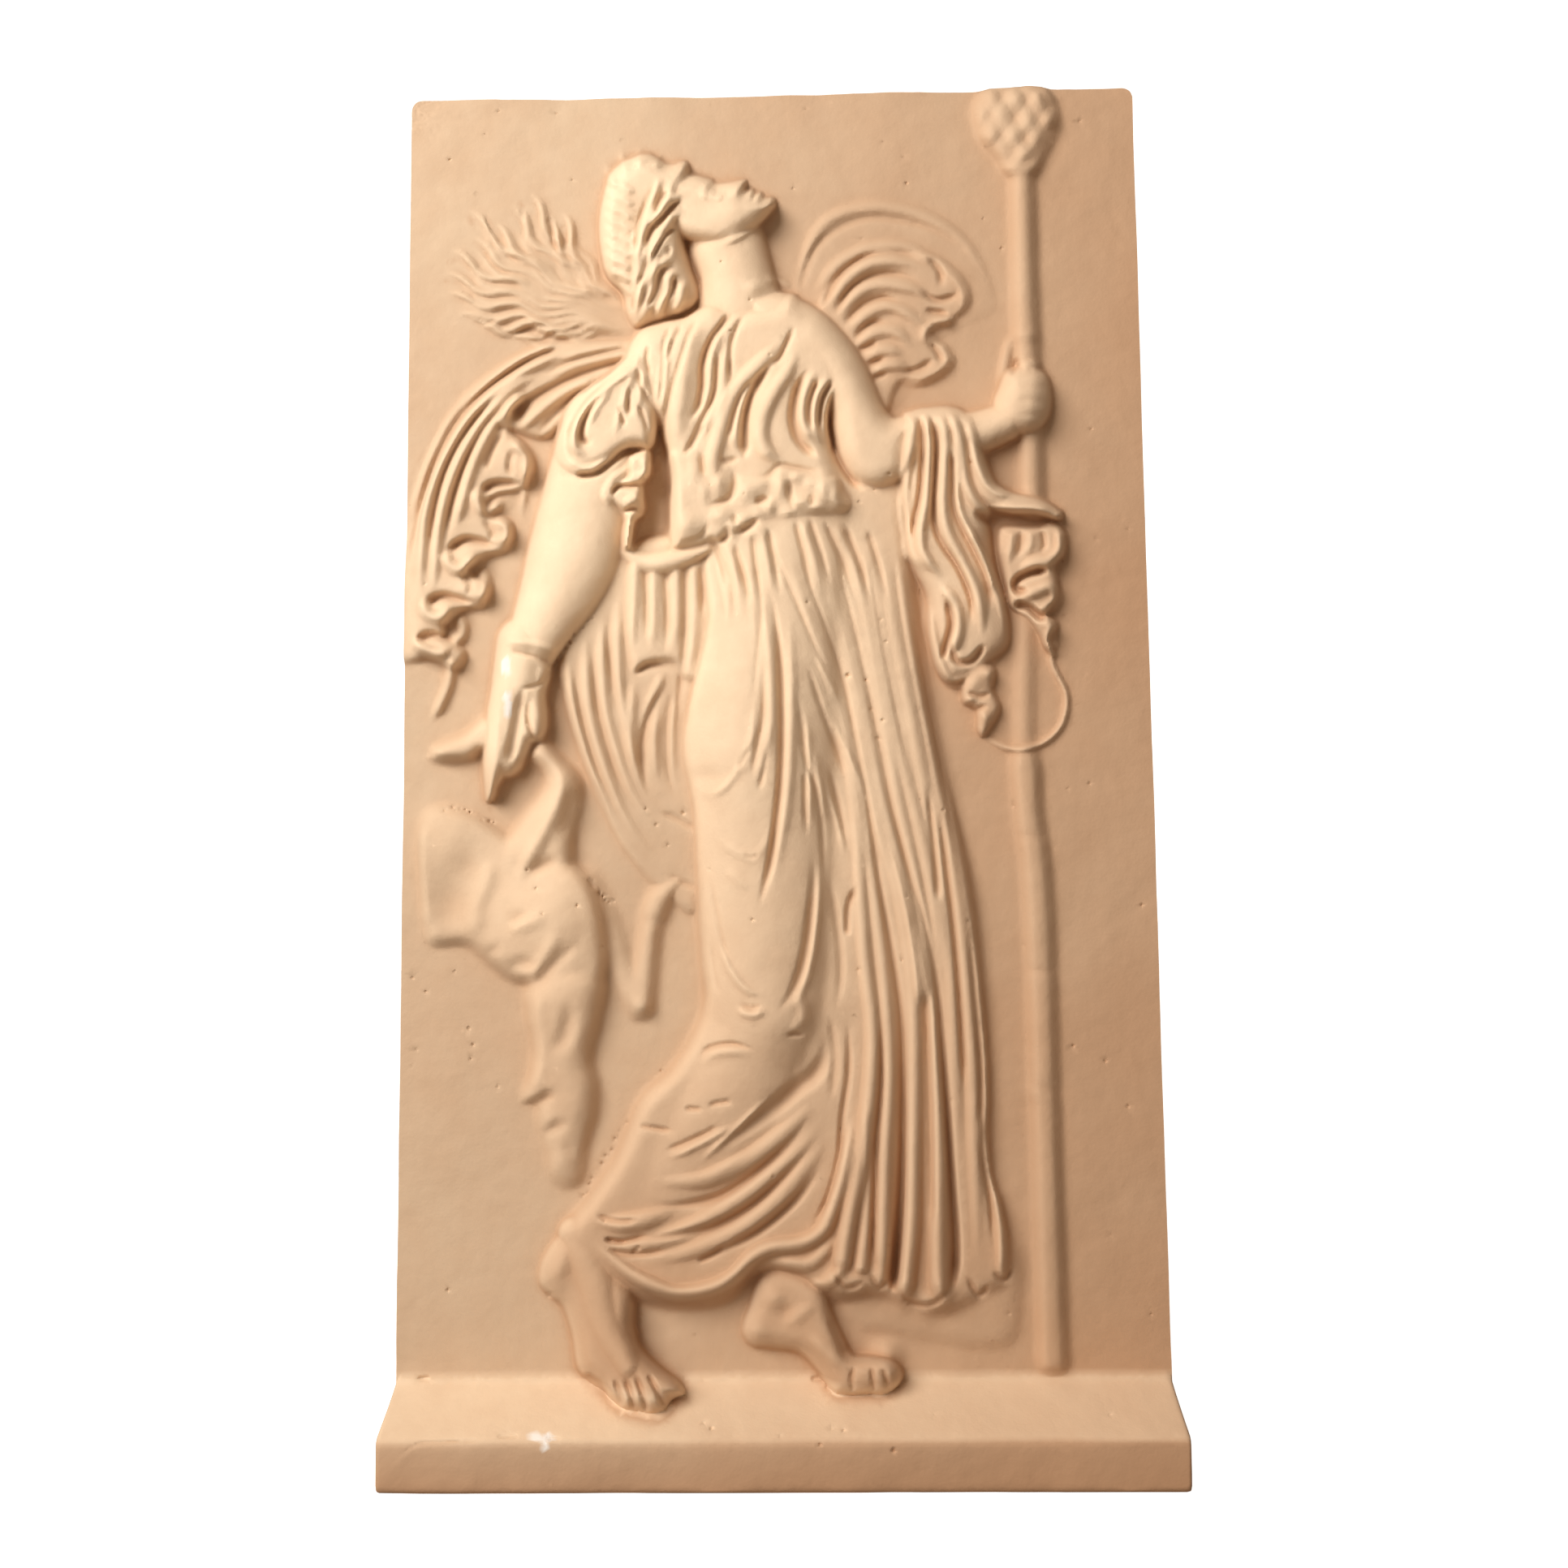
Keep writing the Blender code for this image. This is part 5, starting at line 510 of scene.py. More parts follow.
def carve_kid(c):
    """The half of a kid that the figure holds by a hind leg."""
    body = c.mass([(-157.5, 262), (-156.5, 276), (-150, 281), (-140, 280), (-129, 275), (-118, 267),
                   (-104, 257), (-90, 255), (-81, 246), (-75.5, 228), (-76, 204), (-92, 199), (-109, 203),
                   (-118, 206), (-130, 215.5), (-137, 220.5), (-153, 221), (-156, 240)],
                  (5.0, -155, 250, 9.5, -100, 230), 7)
    c.swell(-104, 233, 20, 19, 4.5, 20)
    c.swell(-92, 222, 12, 22, 2.2)
    c.swell(-146, 266, 12, 14, 2.4)
    c.swell(-144, 238, 9, 15, -3.6)
    c.swell(-136, 254, 5, 7, -1.2)
    c.folds([[(-156, 274), (-156, 250), (-154, 228)]], 3.0, 2.2, "cord", (0.15, 0.1), body)
    c.folds([[(-125, 260), (-128, 247), (-132.5, 236), (-133, 222)]], 6.0, 2.0, "bell", (0.3, 0.2))
    c.folds([[(-129, 216), (-124, 218), (-121, 222)], [(-118, 230), (-113, 232.5), (-109, 235.5)]],
            2.2, -2.2, "bell", (0.2, 0.4))
    c.folds([[(-119, 225), (-110, 229), (-101, 233)]], 4.0, 1.8, "bell", (0.3, 0.3))
    c.folds([[(-119, 209), (-112, 212), (-106, 211)]], 4.0, -2.4, "bell", (0.2, 0.2))
    c.folds([[(-109, 203), (-104.5, 211), (-99, 220), (-95, 229)]], 4.0, 2.0, "bell", (0.1, 0.4))
    c.folds([[(-106, 204), (-99, 210), (-92, 217), (-84, 222)]], 3.4, -2.0, "bell", (0.1, 0.4))
    # hind leg rising to the hand, a broad plane on the left and a narrow one on the right
    c.mass([(-127, 248), (-124.5, 261), (-117, 269), (-110, 279), (-102.5, 289), (-103, 296), (-110, 303),
            (-104, 311), (-95, 302), (-87, 293), (-86, 282), (-89, 268), (-90, 250), (-98, 230),
            (-114, 226), (-126, 236)], (10.0, -98, 275, 8.0, -108, 234), 9)
    c.folds([[(-95, 300), (-96, 286), (-101, 273), (-109, 258), (-116, 244)]],
            5.0, 3.2, "bell", (0.2, 0.3))
    c.folds([[(-89, 290), (-91, 277), (-95, 264)]], 4.5, -2.4, "bell", (0.3, 0.3))
    c.folds([[(-110, 251), (-103, 254.5), (-94, 258)]], 2.6, -3.0, "bell", (0.15, 0.4))
    c.mass([(-153, 306), (-146, 310), (-138, 313), (-127, 321), (-124, 306), (-131, 305), (-136, 301.5),
            (-150, 301.5)], 8.5, 4)
    # neck and head hanging down
    c.mass([(-109, 203), (-109.5, 190), (-107.5, 181), (-106.5, 174), (-108, 165), (-111.5, 153),
            (-105, 149), (-104, 141), (-100.5, 130), (-99, 121), (-92, 116), (-85.5, 119), (-83.5, 130),
            (-79.5, 145), (-79, 160), (-81.5, 171), (-78, 187), (-76, 206), (-92, 214)],
           (12.5, -92, 206, 6.5, -92, 125), 13)
    c.folds([[(-105, 200), (-105, 188), (-103.5, 176), (-104.5, 165), (-107, 156)]],
            4.6, 2.4, "bell", (0.15, 0.15))
    c.folds([[(-91, 196), (-92, 184), (-95, 177), (-99, 173)]], 5.5, -2.8, "bell", (0.4, 0.3))
    c.folds([[(-110.5, 150.5), (-105, 152), (-97.5, 156.5)]], 2.4, -5.5, "bell", (0.1, 0.2))
    c.folds([[(-102, 138), (-98.5, 141), (-92.5, 143.5)]], 1.7, -4.0, "bell", (0.1, 0.2))
    c.folds([[(-80.5, 146), (-82, 138), (-84.5, 128)], [(-92, 136), (-91, 128)]],
            2.0, -2.0, "bell", (0.3, 0.3))
    c.swell(-101, 145, 4, 3.4, 1.8)
    c.swell(-96, 126, 3.4, 5, 1.6)
    c.swell(-88, 150, 6, 8, 1.2)
    # the other hind leg, loose beside the body
    c.limb([(-83, 248, 5, 3), (-75, 230, 5.5, 2.6), (-67, 206, 5.5, 3), (-60, 194, 5.5, 6)])
    c.limb([(-60, 193, 5.6, 5.5), (-58, 207, 4.8, 5), (-56, 224, 4.5, 4.8), (-54, 233, 5.2, 5.5),
            (-51, 240, 5.2, 5.5), (-44, 247, 3.4, 4)])
    c.swell(-60, 193, 4.5, 3.5, 1.8)
    c.folds([[(-60, 230.5), (-50, 229)]], 1.6, -2.0, "bell", (0.1, 0.2))


def carve_figure(c):
    """The dancer: dress over the moving legs, bodice, arms and head."""
    dress = c.mass([(-29, 400), (-31, 362), (-38, 328), (-42, 303), (-37, 280), (-35, 245), (-33, 215),
                    (-32, 192), (-45, 168), (-60, 153), (-70, 130), (-82, 112), (-93, 97), (-86, 84),
                    (-66, 71), (-46, 66), (-25, 68), (-11, 79), (4, 78), (16, 71), (26, 68), (40, 70),
                    (52, 67), (70, 62), (88, 70), (98, 78), (95, 105), (90, 125), (90, 170), (86, 232),
                    (79, 270), (72, 300), (65, 345), (60, 400), (58, 430), (44, 446), (26, 440)],
                   (12.0, -10, 200, 7.5, 80, 200), 7)
    c.mass([(26, 70), (32, 57), (46, 54), (64, 51), (82, 48), (96, 49), (101, 60), (99, 92), (60, 86)],
           2.6, 9)
    # the body under the cloth: hip, thigh and the bent leg trailing to the left
    c.limb([(2, 420, 40, 16), (-2, 365, 36, 19), (-6, 320, 38, 21), (-5, 280, 34, 21), (-5, 235, 32, 20),
            (-6, 195, 29, 20), (-8, 178, 26, 18)], dress)
    c.limb([(-6, 190, 25, 18), (-18, 158, 28, 17), (-42, 122, 28, 14), (-66, 94, 22, 11)], dress)
    c.swell(-14, 308, 22, 34, 2.5, 0, dress)
    c.swell(-4, 182, 20, 13, 2.5, 0, dress)
    c.soften(1.5)
    carve_skirt(c, dress)

    # left foot, heel raised and toes over the ledge
    c.mass([(-104, 77), (-102, 87), (-93, 97), (-78, 92), (-64, 74), (-63, 58), (-60, 49), (-52, 41),
            (-43, 34), (-41, 29), (-46, 26.5), (-49, 21), (-56, 18.5), (-62, 20), (-69, 22), (-76, 29),
            (-84, 36), (-88, 42), (-90, 54), (-94, 66), (-100, 71)], (9, -90, 80, 21, -60, 30), 9)
    c.limb([(-88, 96, 8, 11), (-80, 76, 11, 14), (-75, 56, 11, 17), (-66, 40, 9, 21)])
    c.swell(-95, 82, 6, 9, 2.5, -15)
    for x, z, size in ((-46, 32, 5.2), (-54, 26, 4.4), (-61, 28, 3.6), (-66.5, 27, 3.2), (-72, 31, 3.0)):
        c.swell(x, z, size, size * 1.6, 2.6, 32)
    c.folds([[(-58, 39), (-54, 32), (-50, 24)], [(-63, 38), (-60, 31), (-57.5, 22)],
             [(-67.5, 37), (-65, 31), (-63, 23)], [(-72, 36), (-70, 31), (-68, 25)]],
            1.5, -3.2, "bell", (0.3, 0.1))
    c.folds([[(-85, 38), (-79, 34), (-74, 28)]], 2.6, -5.0, "bell", (0.2, 0.2))
    # right foot, flat and turned to the right
    c.mass([(-14, 66), (-17, 56), (-13, 49.5), (-4, 48), (6, 46.5), (12, 42), (18, 34), (22, 28.5),
            (29, 27.5), (37, 28), (44, 28), (50, 33), (51, 39), (47, 43), (38, 45), (30, 46), (26, 53),
            (22, 62), (17, 74), (2, 82), (-9, 78)], (9, -8, 66, 17, 38, 34), 8)
    c.swell(-3, 69, 4.5, 4.5, 1.8)
    c.swell(1.5, 63, 4, 3.5, -1.4)
    c.swell(-11, 55, 6, 6, 1.4)
    c.swell(45, 45, 6.5, 6.0, 4.4)
    c.folds([[(1, 57), (8, 62), (15, 67)], [(10, 56), (20, 46), (30, 39)]], 5.0, 1.4, "bell", (0.4, 0.4))
    c.folds([[(31, 41), (29.5, 36), (30, 30)], [(38, 41), (38.5, 35), (39, 30)],
             [(42, 40), (44, 36), (45, 31)]], 1.4, -2.6, "bell", (0.3, 0.1))
    c.folds([[(-12, 48), (0, 46.3), (8, 43.5), (14, 39)], [(20, 62), (24, 52), (28, 43)]],
            2.4, -2.0, "bell", (0.2, 0.2))

    carve_bodice(c)

    # left arm, hanging, with its bracelet
    c.limb([(-78, 452, 18, 17), (-83, 420, 21, 17), (-91, 388, 21, 17), (-104, 360, 14.5, 16),
            (-111, 344, 11.5, 15), (-115, 326, 12.5, 14), (-120, 312, 9, 13)])
    c.limb([(-112, 353, 12.5, 16), (-114, 336, 12.5, 16), (-116, 318, 12, 15), (-120, 302, 9, 13)])
    # the hand closes round the leg, with its long edge on the left
    c.mass([(-123, 350), (-126, 337), (-128.5, 322), (-130, 305), (-129.5, 291), (-128, 283),
            (-124.5, 284.5), (-121, 292), (-116, 301), (-110, 307), (-103, 310), (-100.5, 319),
            (-101.5, 330), (-99, 342), (-104, 351)], 13.5, 7)
    c.folds([[(-120, 344), (-122, 325), (-124, 306), (-127, 290)]], 6.5, 1.4, "bell", (0.25, 0.2))
    c.folds([[(-112, 336), (-114, 322), (-116.5, 309), (-119, 298)]], 4.0, -3.0, "bell", (0.3, 0.2))
    c.folds([[(-109.5, 330), (-110, 320), (-107, 311), (-103, 312)]], 1.5, -2.6, "bell", (0.3, 0.2))
    c.swell(-105.5, 321, 3.4, 8.5, 1.4)
    c.folds([[(-126, 287), (-119, 290), (-111, 294), (-104, 292)]], 4.0, -3.2, "bell", (0.2, 0.3))
    c.folds([[(-120, 354), (-108, 353), (-97, 349)]], 2.2, 1.4, "cord", (0.1, 0.1))
    c.folds([[(-119, 350), (-108, 347.5), (-100, 344)], [(-113, 333), (-105, 334.5), (-100, 340)]],
            1.5, -1.8, "bell", (0.2, 0.1))
    carve_sleeve(c)

    # right arm reaching for the staff
    c.mass([(-14, 514), (-5, 514.5), (4, 513), (14, 508.5), (25, 501), (36, 488), (43, 476),
            (49, 461), (54, 454), (64, 454), (62, 430), (52, 421), (43, 420.5), (35, 425), (29, 435),
            (26, 448), (24, 460), (16, 474), (4, 486), (-12, 492)],
           (13, -12, 508, 17.3, 14, 490), 12)
    c.limb([(48, 438, 13, 15), (62, 440, 15, 16), (78, 443, 12.5, 15), (92, 446.5, 10, 14),
            (104, 451, 9, 13)])
    c.mass([(98, 458), (101, 467), (105, 474), (111, 476), (118, 476), (123, 472), (125, 465),
            (124.5, 456), (121, 449), (115, 445), (108, 445), (101, 449)], 13.5, 10)
    c.swell(113, 461, 11, 13, 2.6)
    c.folds([[(101, 466), (104, 476), (107, 489), (110, 491)], [(110, 475), (116, 477), (121, 475)]],
            2.8, 2.4, "cord", (0.3, 0.3))
    c.folds([[(110, 481), (109, 476), (107, 472)]], 1.6, -3.4, "bell", (0.3, 0.2))
    c.folds([[(108, 468), (116, 468), (123, 466)], [(108, 461), (116, 461), (123, 459)],
             [(109, 454), (117, 454), (122, 453)]], 2.4, -0.6, "bell", (0.3, 0.1))
    carve_arm_cloth(c)
    carve_head(c)


def carve_bodice(c):
    """The thin bodice over the chest, gathered above the girdle into ruffles."""
    bodice = c.mass([(-62, 494), (-50, 500), (-41, 501.5), (-35, 505), (-28, 508), (-16, 506), (-2, 509),
                     (8, 512), (14, 508), (22, 501), (30, 492), (34, 478), (33, 468), (28, 460),
                     (26, 448), (29, 436), (32, 426), (32, 408), (-30, 394), (-47, 396), (-47, 425),
                     (-49, 440), (-52, 452), (-60, 462), (-70, 474)], 17, 11)
    c.swell(-42, 470, 10, 20, 2.0)
    c.swell(2, 464, 12, 20, 1.6)
    c.folds([[(-31, 505), (-37, 491), (-40, 477), (-42, 462), (-45, 447), (-46, 434)]],
            6.5, 2.0, "bell", (0.25, 0.25), bodice)
    c.folds([[(-22, 502), (-26, 490), (-28.5, 478), (-29.5, 468), (-34, 457)],
             [(-17, 494), (-22, 478), (-23, 467), (-28, 455), (-34, 445)],
             [(-8, 474), (-13, 465), (-15.5, 457), (-17.5, 447), (-17, 438)],
             [(-47, 496), (-49, 480), (-51, 466), (-53, 452)]], 2.6, 1.8, "cord", (0.3, 0.2), bodice)
    c.folds([[(5, 491), (-4, 482), (-12, 474), (-17.5, 467), (-21, 460), (-24, 450), (-27, 438),
              (-29, 424)], [(11, 487), (7, 477), (1, 468), (-4, 458), (-6, 448), (-4, 440), (3, 433)]],
            3.8, 3.0, "cord", (0.25, 0.15), bodice)
    c.folds([[(20, 477), (15, 468), (13, 459), (14, 450), (19, 442)],
             [(28, 474), (20.5, 466), (18, 456), (19, 448), (23, 440)],
             [(33, 472), (25.5, 464), (23.3, 455), (24, 446), (27, 438)]],
            2.3, 2.3, "cord", (0.25, 0.2), bodice)
    c.folds([[(-16.5, 506), (-22, 499), (-28, 490), (-31.5, 480), (-32, 469), (-33.5, 461), (-38, 453)]],
            2.5, -4.4, "bell", (0.1, 0.2), bodice)
    c.folds([[(-32, 505), (-37, 496), (-40.5, 486), (-43, 478), (-45.5, 470), (-47.5, 461), (-49.5, 451),
              (-50, 443)], [(-45.5, 500), (-49, 490), (-49.7, 480), (-50.3, 470), (-52, 458)],
             [(-41, 499), (-46, 488), (-48, 480)],
             [(-25.5, 489), (-25.5, 475), (-27, 464), (-31, 456), (-35, 448), (-40, 438), (-44, 429)],
             [(-31, 452), (-35, 445), (-38, 439)],
             [(-9, 473), (-14, 466), (-17, 458), (-19, 450), (-20.5, 444)]],
            1.5, -2.4, "bell", (0.15, 0.2), bodice)
    c.folds([[(-11, 504), (-15.5, 498), (-18.5, 490), (-19.5, 480), (-19, 470)],
             [(10, 497), (6, 488), (3, 482), (-2, 478)],
             [(32, 476), (26, 470), (22, 462), (20.8, 453), (21.5, 446)],
             [(21, 473), (17.5, 464), (16.3, 455), (18, 447)]], 1.7, -3.0, "bell", (0.2, 0.25), bodice)
    c.folds([[(1, 481), (-6, 472), (-10.5, 463), (-12.5, 454), (-13, 444), (-13, 435)],
             [(17, 478), (12, 470), (9.5, 461), (9, 452), (12, 443), (20, 435)]],
            3.2, -4.4, "bell", (0.3, 0.15), bodice)
    c.folds([[(35, 470), (29, 464), (26, 456), (25.5, 448), (27, 440), (30.5, 432), (36, 424),
              (41, 420)]], 2.6, -5.0, "bell", (0.2, 0.15))
    c.folds([[(-17, 506.5), (-10, 506.5), (-3, 508.5), (1, 511)]], 1.8, -2.6, "bell", (0.2, 0.2))
    # ruffles gathered over the girdle
    c.mass([(-47, 398), (-46, 425), (-48, 440), (-38, 442), (-28, 436), (-24, 433), (-12, 432), (2, 432),
            (22, 431), (30, 428), (32, 418), (28, 411), (20, 411), (10, 409), (0, 407), (-5, 408),
            (-10, 404), (-16, 401), (-21, 400), (-24, 396), (-29, 397), (-33, 395), (-45, 394)], 17.5, 6)
    lumps = [(-39, 406, 6, 6, 3.2), (-44, 420, 3.4, 12, 2.2), (-36, 428, 4, 9, 2.0),
             (3, 424, 3.4, 6.5, 3.4), (10, 427.5, 3.4, 2.6, 2.2), (22, 421, 3.8, 7, 3.4),
             (12, 415.5, 5.5, 3.4, 2.8), (-25, 425, 4, 7, 3.2), (-12.5, 421, 5, 6, 3.0),
             (-6, 424, 4, 4, 1.8), (-14, 407.5, 4, 3, 2.6), (-2, 413.5, 2.6, 3.6, 2.4),
             (-24, 410, 5, 4, 2.8), (28, 417.5, 2.8, 6, 2.4), (16, 424, 2.6, 3, 1.8),
             (-19, 404, 3, 3.4, 2.0), (6, 411, 4, 2.4, 1.8), (-31.5, 421, 2.6, 6, 1.8),
             (18, 413, 3.6, 2.2, 1.6), (-7, 411, 3.2, 3.2, 1.8)]
    for x, z, wide, tall, lift in lumps:
        c.swell(x, z, wide, tall, lift)
    c.folds([[(-19, 432), (-17.5, 425), (-20, 418), (-26, 415.5), (-31, 414.5)],
             [(-6, 409.5), (-11, 405), (-17, 401)], [(-22, 406), (-21, 401), (-25, 397)],
             [(-9, 415), (-5, 417), (-1, 417.5)]], 2.4, -2.4, "bell", (0.3, 0.35))
    c.folds([[(-25, 435), (-20, 435), (-15, 436)],
             [(-10, 427), (-3, 428), (3, 432.5), (10, 431), (24, 429)], [(-18, 411), (-17, 405)],
             [(-46, 398), (-38, 398.5), (-32, 401), (-29, 409)], [(-33, 440), (-31, 427)],
             [(7.5, 427), (7, 419), (9, 411)], [(17, 420), (17, 413)]], 2.2, -1.8, "bell", (0.35, 0.35))
    c.swell(-21, 401, 5, 4, 1.8)
    c.swell(-8, 403, 5, 4, 2.0)
    c.limb([(-70, 396, 4, 8), (-55, 389, 6.5, 13), (-42, 391, 6.5, 14), (-30, 395, 4, 14)])


def carve_sleeve(c):
    """The left sleeve, looped round the upper arm, with its hem hanging in a curl."""
    sleeve = c.mass([(-60, 488), (-74, 476), (-86, 467), (-95, 454), (-97, 441), (-93, 431), (-84, 429),
                     (-74, 433), (-64, 440), (-56, 440), (-52, 448), (-51, 470)], 19, 8)
    c.folds([[(-64, 482), (-75, 475), (-85, 467.5), (-92, 457.5), (-95.5, 447), (-95, 438), (-90, 433),
              (-82, 432), (-74, 436), (-66, 441.5)],
             [(-62, 479), (-72, 473), (-80, 465.5), (-87, 457), (-90.3, 448), (-89, 441), (-82, 438)]],
            2.6, 3.2, "cord", (0.1, 0.2))
    c.folds([[(-72, 470), (-79.5, 461), (-83, 451)], [(-61, 482), (-66, 468), (-70, 454), (-72, 445)],
             [(-57, 480), (-60, 466), (-62, 453)]], 2.6, 1.6, "bell", (0.3, 0.3), sleeve)
    c.folds([[(-64, 480), (-74, 473.5), (-82, 466), (-88, 458), (-92, 449), (-92, 441)]],
            1.7, -3.4, "bell", (0.2, 0.2), sleeve)
    c.folds([[(-74, 469), (-82, 461), (-86, 453), (-86, 446), (-81, 443.5)]],
            2.6, -4.0, "bell", (0.3, 0.15), sleeve)
    c.folds([[(-64.7, 471), (-65.2, 463), (-65, 455)], [(-69.5, 462), (-67, 451)],
             [(-61.5, 481), (-60, 472), (-56.5, 464), (-53, 459)], [(-62, 463), (-58.5, 456), (-56, 447)],
             [(-56, 490), (-57, 482), (-55, 474)]], 1.3, -2.8, "bell", (0.25, 0.25))
    c.folds([[(-90, 429.5), (-81, 430), (-74, 434.5), (-67, 439.5), (-61, 440)]],
            2.6, -5.0, "bell", (0.15, 0.15))
    c.mass([(-66, 438), (-56, 441), (-55, 430), (-58, 424), (-58, 412), (-62, 407), (-64, 396),
            (-68, 396), (-68, 410), (-76, 418), (-75, 426), (-66, 430)], 17, 4)
    c.folds([[(-63, 438), (-66, 431), (-72, 427), (-75, 420), (-71, 413)],
             [(-58, 438), (-57, 431), (-61, 427)], [(-67, 416), (-60, 420)],
             [(-64.5, 409), (-66, 400), (-65, 393)]], 2.6, 2.6, "cord", (0.2, 0.25))
    c.folds([[(-73, 419), (-70.5, 423.5), (-64, 424), (-54, 425)],
             [(-68, 412), (-63, 413.5), (-58, 411)]], (1.8, 2.8), -4.6, "bell", (0.2, 0.2))
    c.folds([[(-49, 446), (-48.5, 430), (-48.5, 415), (-48, 399)]], 2.6, -7.0, "bell", (0.2, 0.15))


def carve_skirt(c, dress):
    """Folds of the dress, from the girdle to the hem."""
    # small folds that spring from the gathers
    c.folds([[(-27, 399), (-23, 385), (-21, 372)], [(-18, 398), (-14, 383), (-9, 366)],
             [(-10, 402), (-8, 385), (-5, 368)], [(-3, 405), (0, 388), (3, 370)],
             [(9, 408), (14, 388), (17, 372)], [(15, 410), (22, 388), (26, 370)],
             [(22, 408), (31, 386), (36, 366)], [(31, 406), (39, 384), (44, 364)],
             [(41, 404), (47, 384), (51, 364)]], 2.0, -1.9, "bell", (0.15, 0.5))
    c.folds([[(-22, 398), (-18, 385), (-15, 370)], [(-6, 404), (-3, 386), (0, 368)],
             [(12, 408), (18, 388), (22, 368)], [(27, 407), (35, 386), (40, 366)]],
            2.6, 1.2, "bell", (0.15, 0.5))
    # long folds that fan out from the girdle and trail to the right
    c.folds([[(4, 398), (13, 370), (21, 345), (28, 318), (33, 290), (35.5, 262), (36.5, 235), (38, 210),
              (40.5, 185), (40, 165), (37, 140), (33, 118), (29, 100), (25, 76)],
             [(20, 398), (28, 362), (35, 325), (40, 292), (46, 265), (52, 245), (56, 222), (58.5, 195),
              (58.5, 165), (57.5, 130), (56, 98), (52, 66)],
             [(34, 398), (42, 355), (48, 318), (53, 285), (59, 255), (64, 225), (66.5, 195), (67.5, 165),
              (68, 130), (67.5, 100), (67, 66)]], (2.4, 4.4), (0.7, 6.5), "cord", (0.08, 0.03), dress)
    c.folds([[(14, 380), (24, 345), (31, 315), (37, 282), (41, 250), (44, 225), (47, 190), (47.5, 160),
              (45.5, 130), (44, 100), (43, 74)],
             [(26, 380), (33, 350), (40, 315), (46, 283), (52, 258), (57, 235), (61, 210), (62.5, 190)],
             [(36, 150), (38, 128), (37, 105), (34, 78)]],
            (2.2, 3.6), (0.6, 5.0), "cord", (0.1, 0.05), dress)
    c.folds([[(46, 398), (54, 350), (60, 315), (66, 280), (72, 245), (75, 205), (76, 165), (77, 120)],
             [(54, 398), (61, 340), (69, 300), (75, 265), (79, 235), (82, 200), (83.5, 170), (84, 120),
              (84, 74)], [(40, 398), (47, 350), (53, 310), (60, 280), (66, 252), (70, 225), (72, 200)]],
            (2.4, 3.6), (0.7, 2.6), "cord", (0.08, 0.2), dress)
    c.folds([[(62, 380), (70, 330), (76, 285), (82, 245), (85, 215), (87, 190), (89, 170), (89, 150),
              (87.5, 138), (90, 122), (93.5, 108), (95, 96), (94, 74)]],
            (1.8, 2.8), (0.8, 4.0), "cord", (0.1, 0.04), dress)
    c.folds([[(28, 345), (34, 315), (40, 282), (44, 250), (48, 225), (51, 205), (53, 185), (53.2, 160),
              (52.5, 130), (51, 105), (47.5, 70)]], (1.4, 4.4), (-0.6, -10.0), "bell", (0.1, 0.03), dress)
    c.folds([[(38, 345), (45, 310), (51, 277), (58, 250), (63, 232), (66.5, 215), (69, 195), (70.5, 170),
              (72, 145), (73.5, 115), (74.5, 90), (73, 70)]],
            (1.4, 3.4), (-0.6, -8.0), "bell", (0.1, 0.05), dress)
    c.folds([[(-2, 398), (4, 383), (10, 369), (17, 352), (22, 340), (27, 325)],
             [(10, 396), (17, 374), (26, 348), (32, 325), (36, 300)],
             [(27, 396), (31, 376), (37, 350), (43, 320), (48, 290)],
             [(41, 394), (47, 355), (54, 315), (61, 280)], [(52, 394), (58, 350), (66, 305), (72, 270)],
             [(60, 370), (68, 320), (74, 285), (79, 250)]], 1.5, -1.1, "bell", (0.15, 0.4), dress)
    c.folds([[(-28, 394), (-25, 380), (-22.5, 366), (-24, 356)],
             [(-24, 394), (-20, 380), (-18.5, 368), (-20, 359)], [(-16, 391), (-13, 380), (-12, 365)],
             [(-10, 394), (-7, 376), (-6, 364), (-8, 348), (-10, 330), (-14, 313)],
             [(-31, 388), (-31, 360)]], 1.1, -1.1, "cut", (0.2, 0.4), dress)
    c.folds([[(-31, 392), (-27, 372), (-27, 356)], [(-26, 392), (-21.5, 374), (-21, 358)],
             [(-20, 392), (-16, 375), (-15, 360)], [(-13, 392), (-10, 372), (-9, 350)]],
            2.6, 0.7, "bell", (0.2, 0.4), dress)
    c.folds([[(-3, 382), (1, 356), (2.4, 335), (2.4, 308), (1, 285), (-3, 256), (-9, 233)]],
            2.4, -3.4, "bell", (0.3, 0.15), dress)
    c.folds([[(-6, 376), (-3, 350), (-2, 325), (-2, 300)],
             [(6, 372), (7, 345), (7, 315), (5, 285), (0, 255), (-4, 238)]],
            3.4, 1.5, "bell", (0.3, 0.3), dress)
    c.folds([[(-5.5, 343), (-5.5, 322), (-8, 308), (-11.5, 291)], [(-3, 309), (-5, 299), (-8, 286)],
             [(-11, 307), (-17, 296)]], 1.7, -1.7, "bell", (0.35, 0.2), dress)
    c.folds([[(-9, 330), (-11, 310), (-18, 294), (-28, 285), (-37, 290)],
             [(-3, 320), (-4, 305), (-8, 290)]], 2.6, 1.2, "bell", (0.3, 0.3), dress)
    c.swell(-29, 293, 9, 4, -1.0, 0, dress)
    c.folds([[(8, 334), (11, 318), (13, 300), (18, 284), (20, 262), (20, 240)],
             [(12, 347), (16, 336), (21, 320), (28, 300), (33, 284)], [(22, 300), (27, 280), (31, 258)],
             [(12.5, 300), (12.5, 280), (13, 264)]], 1.9, -1.6, "bell", (0.3, 0.3), dress)
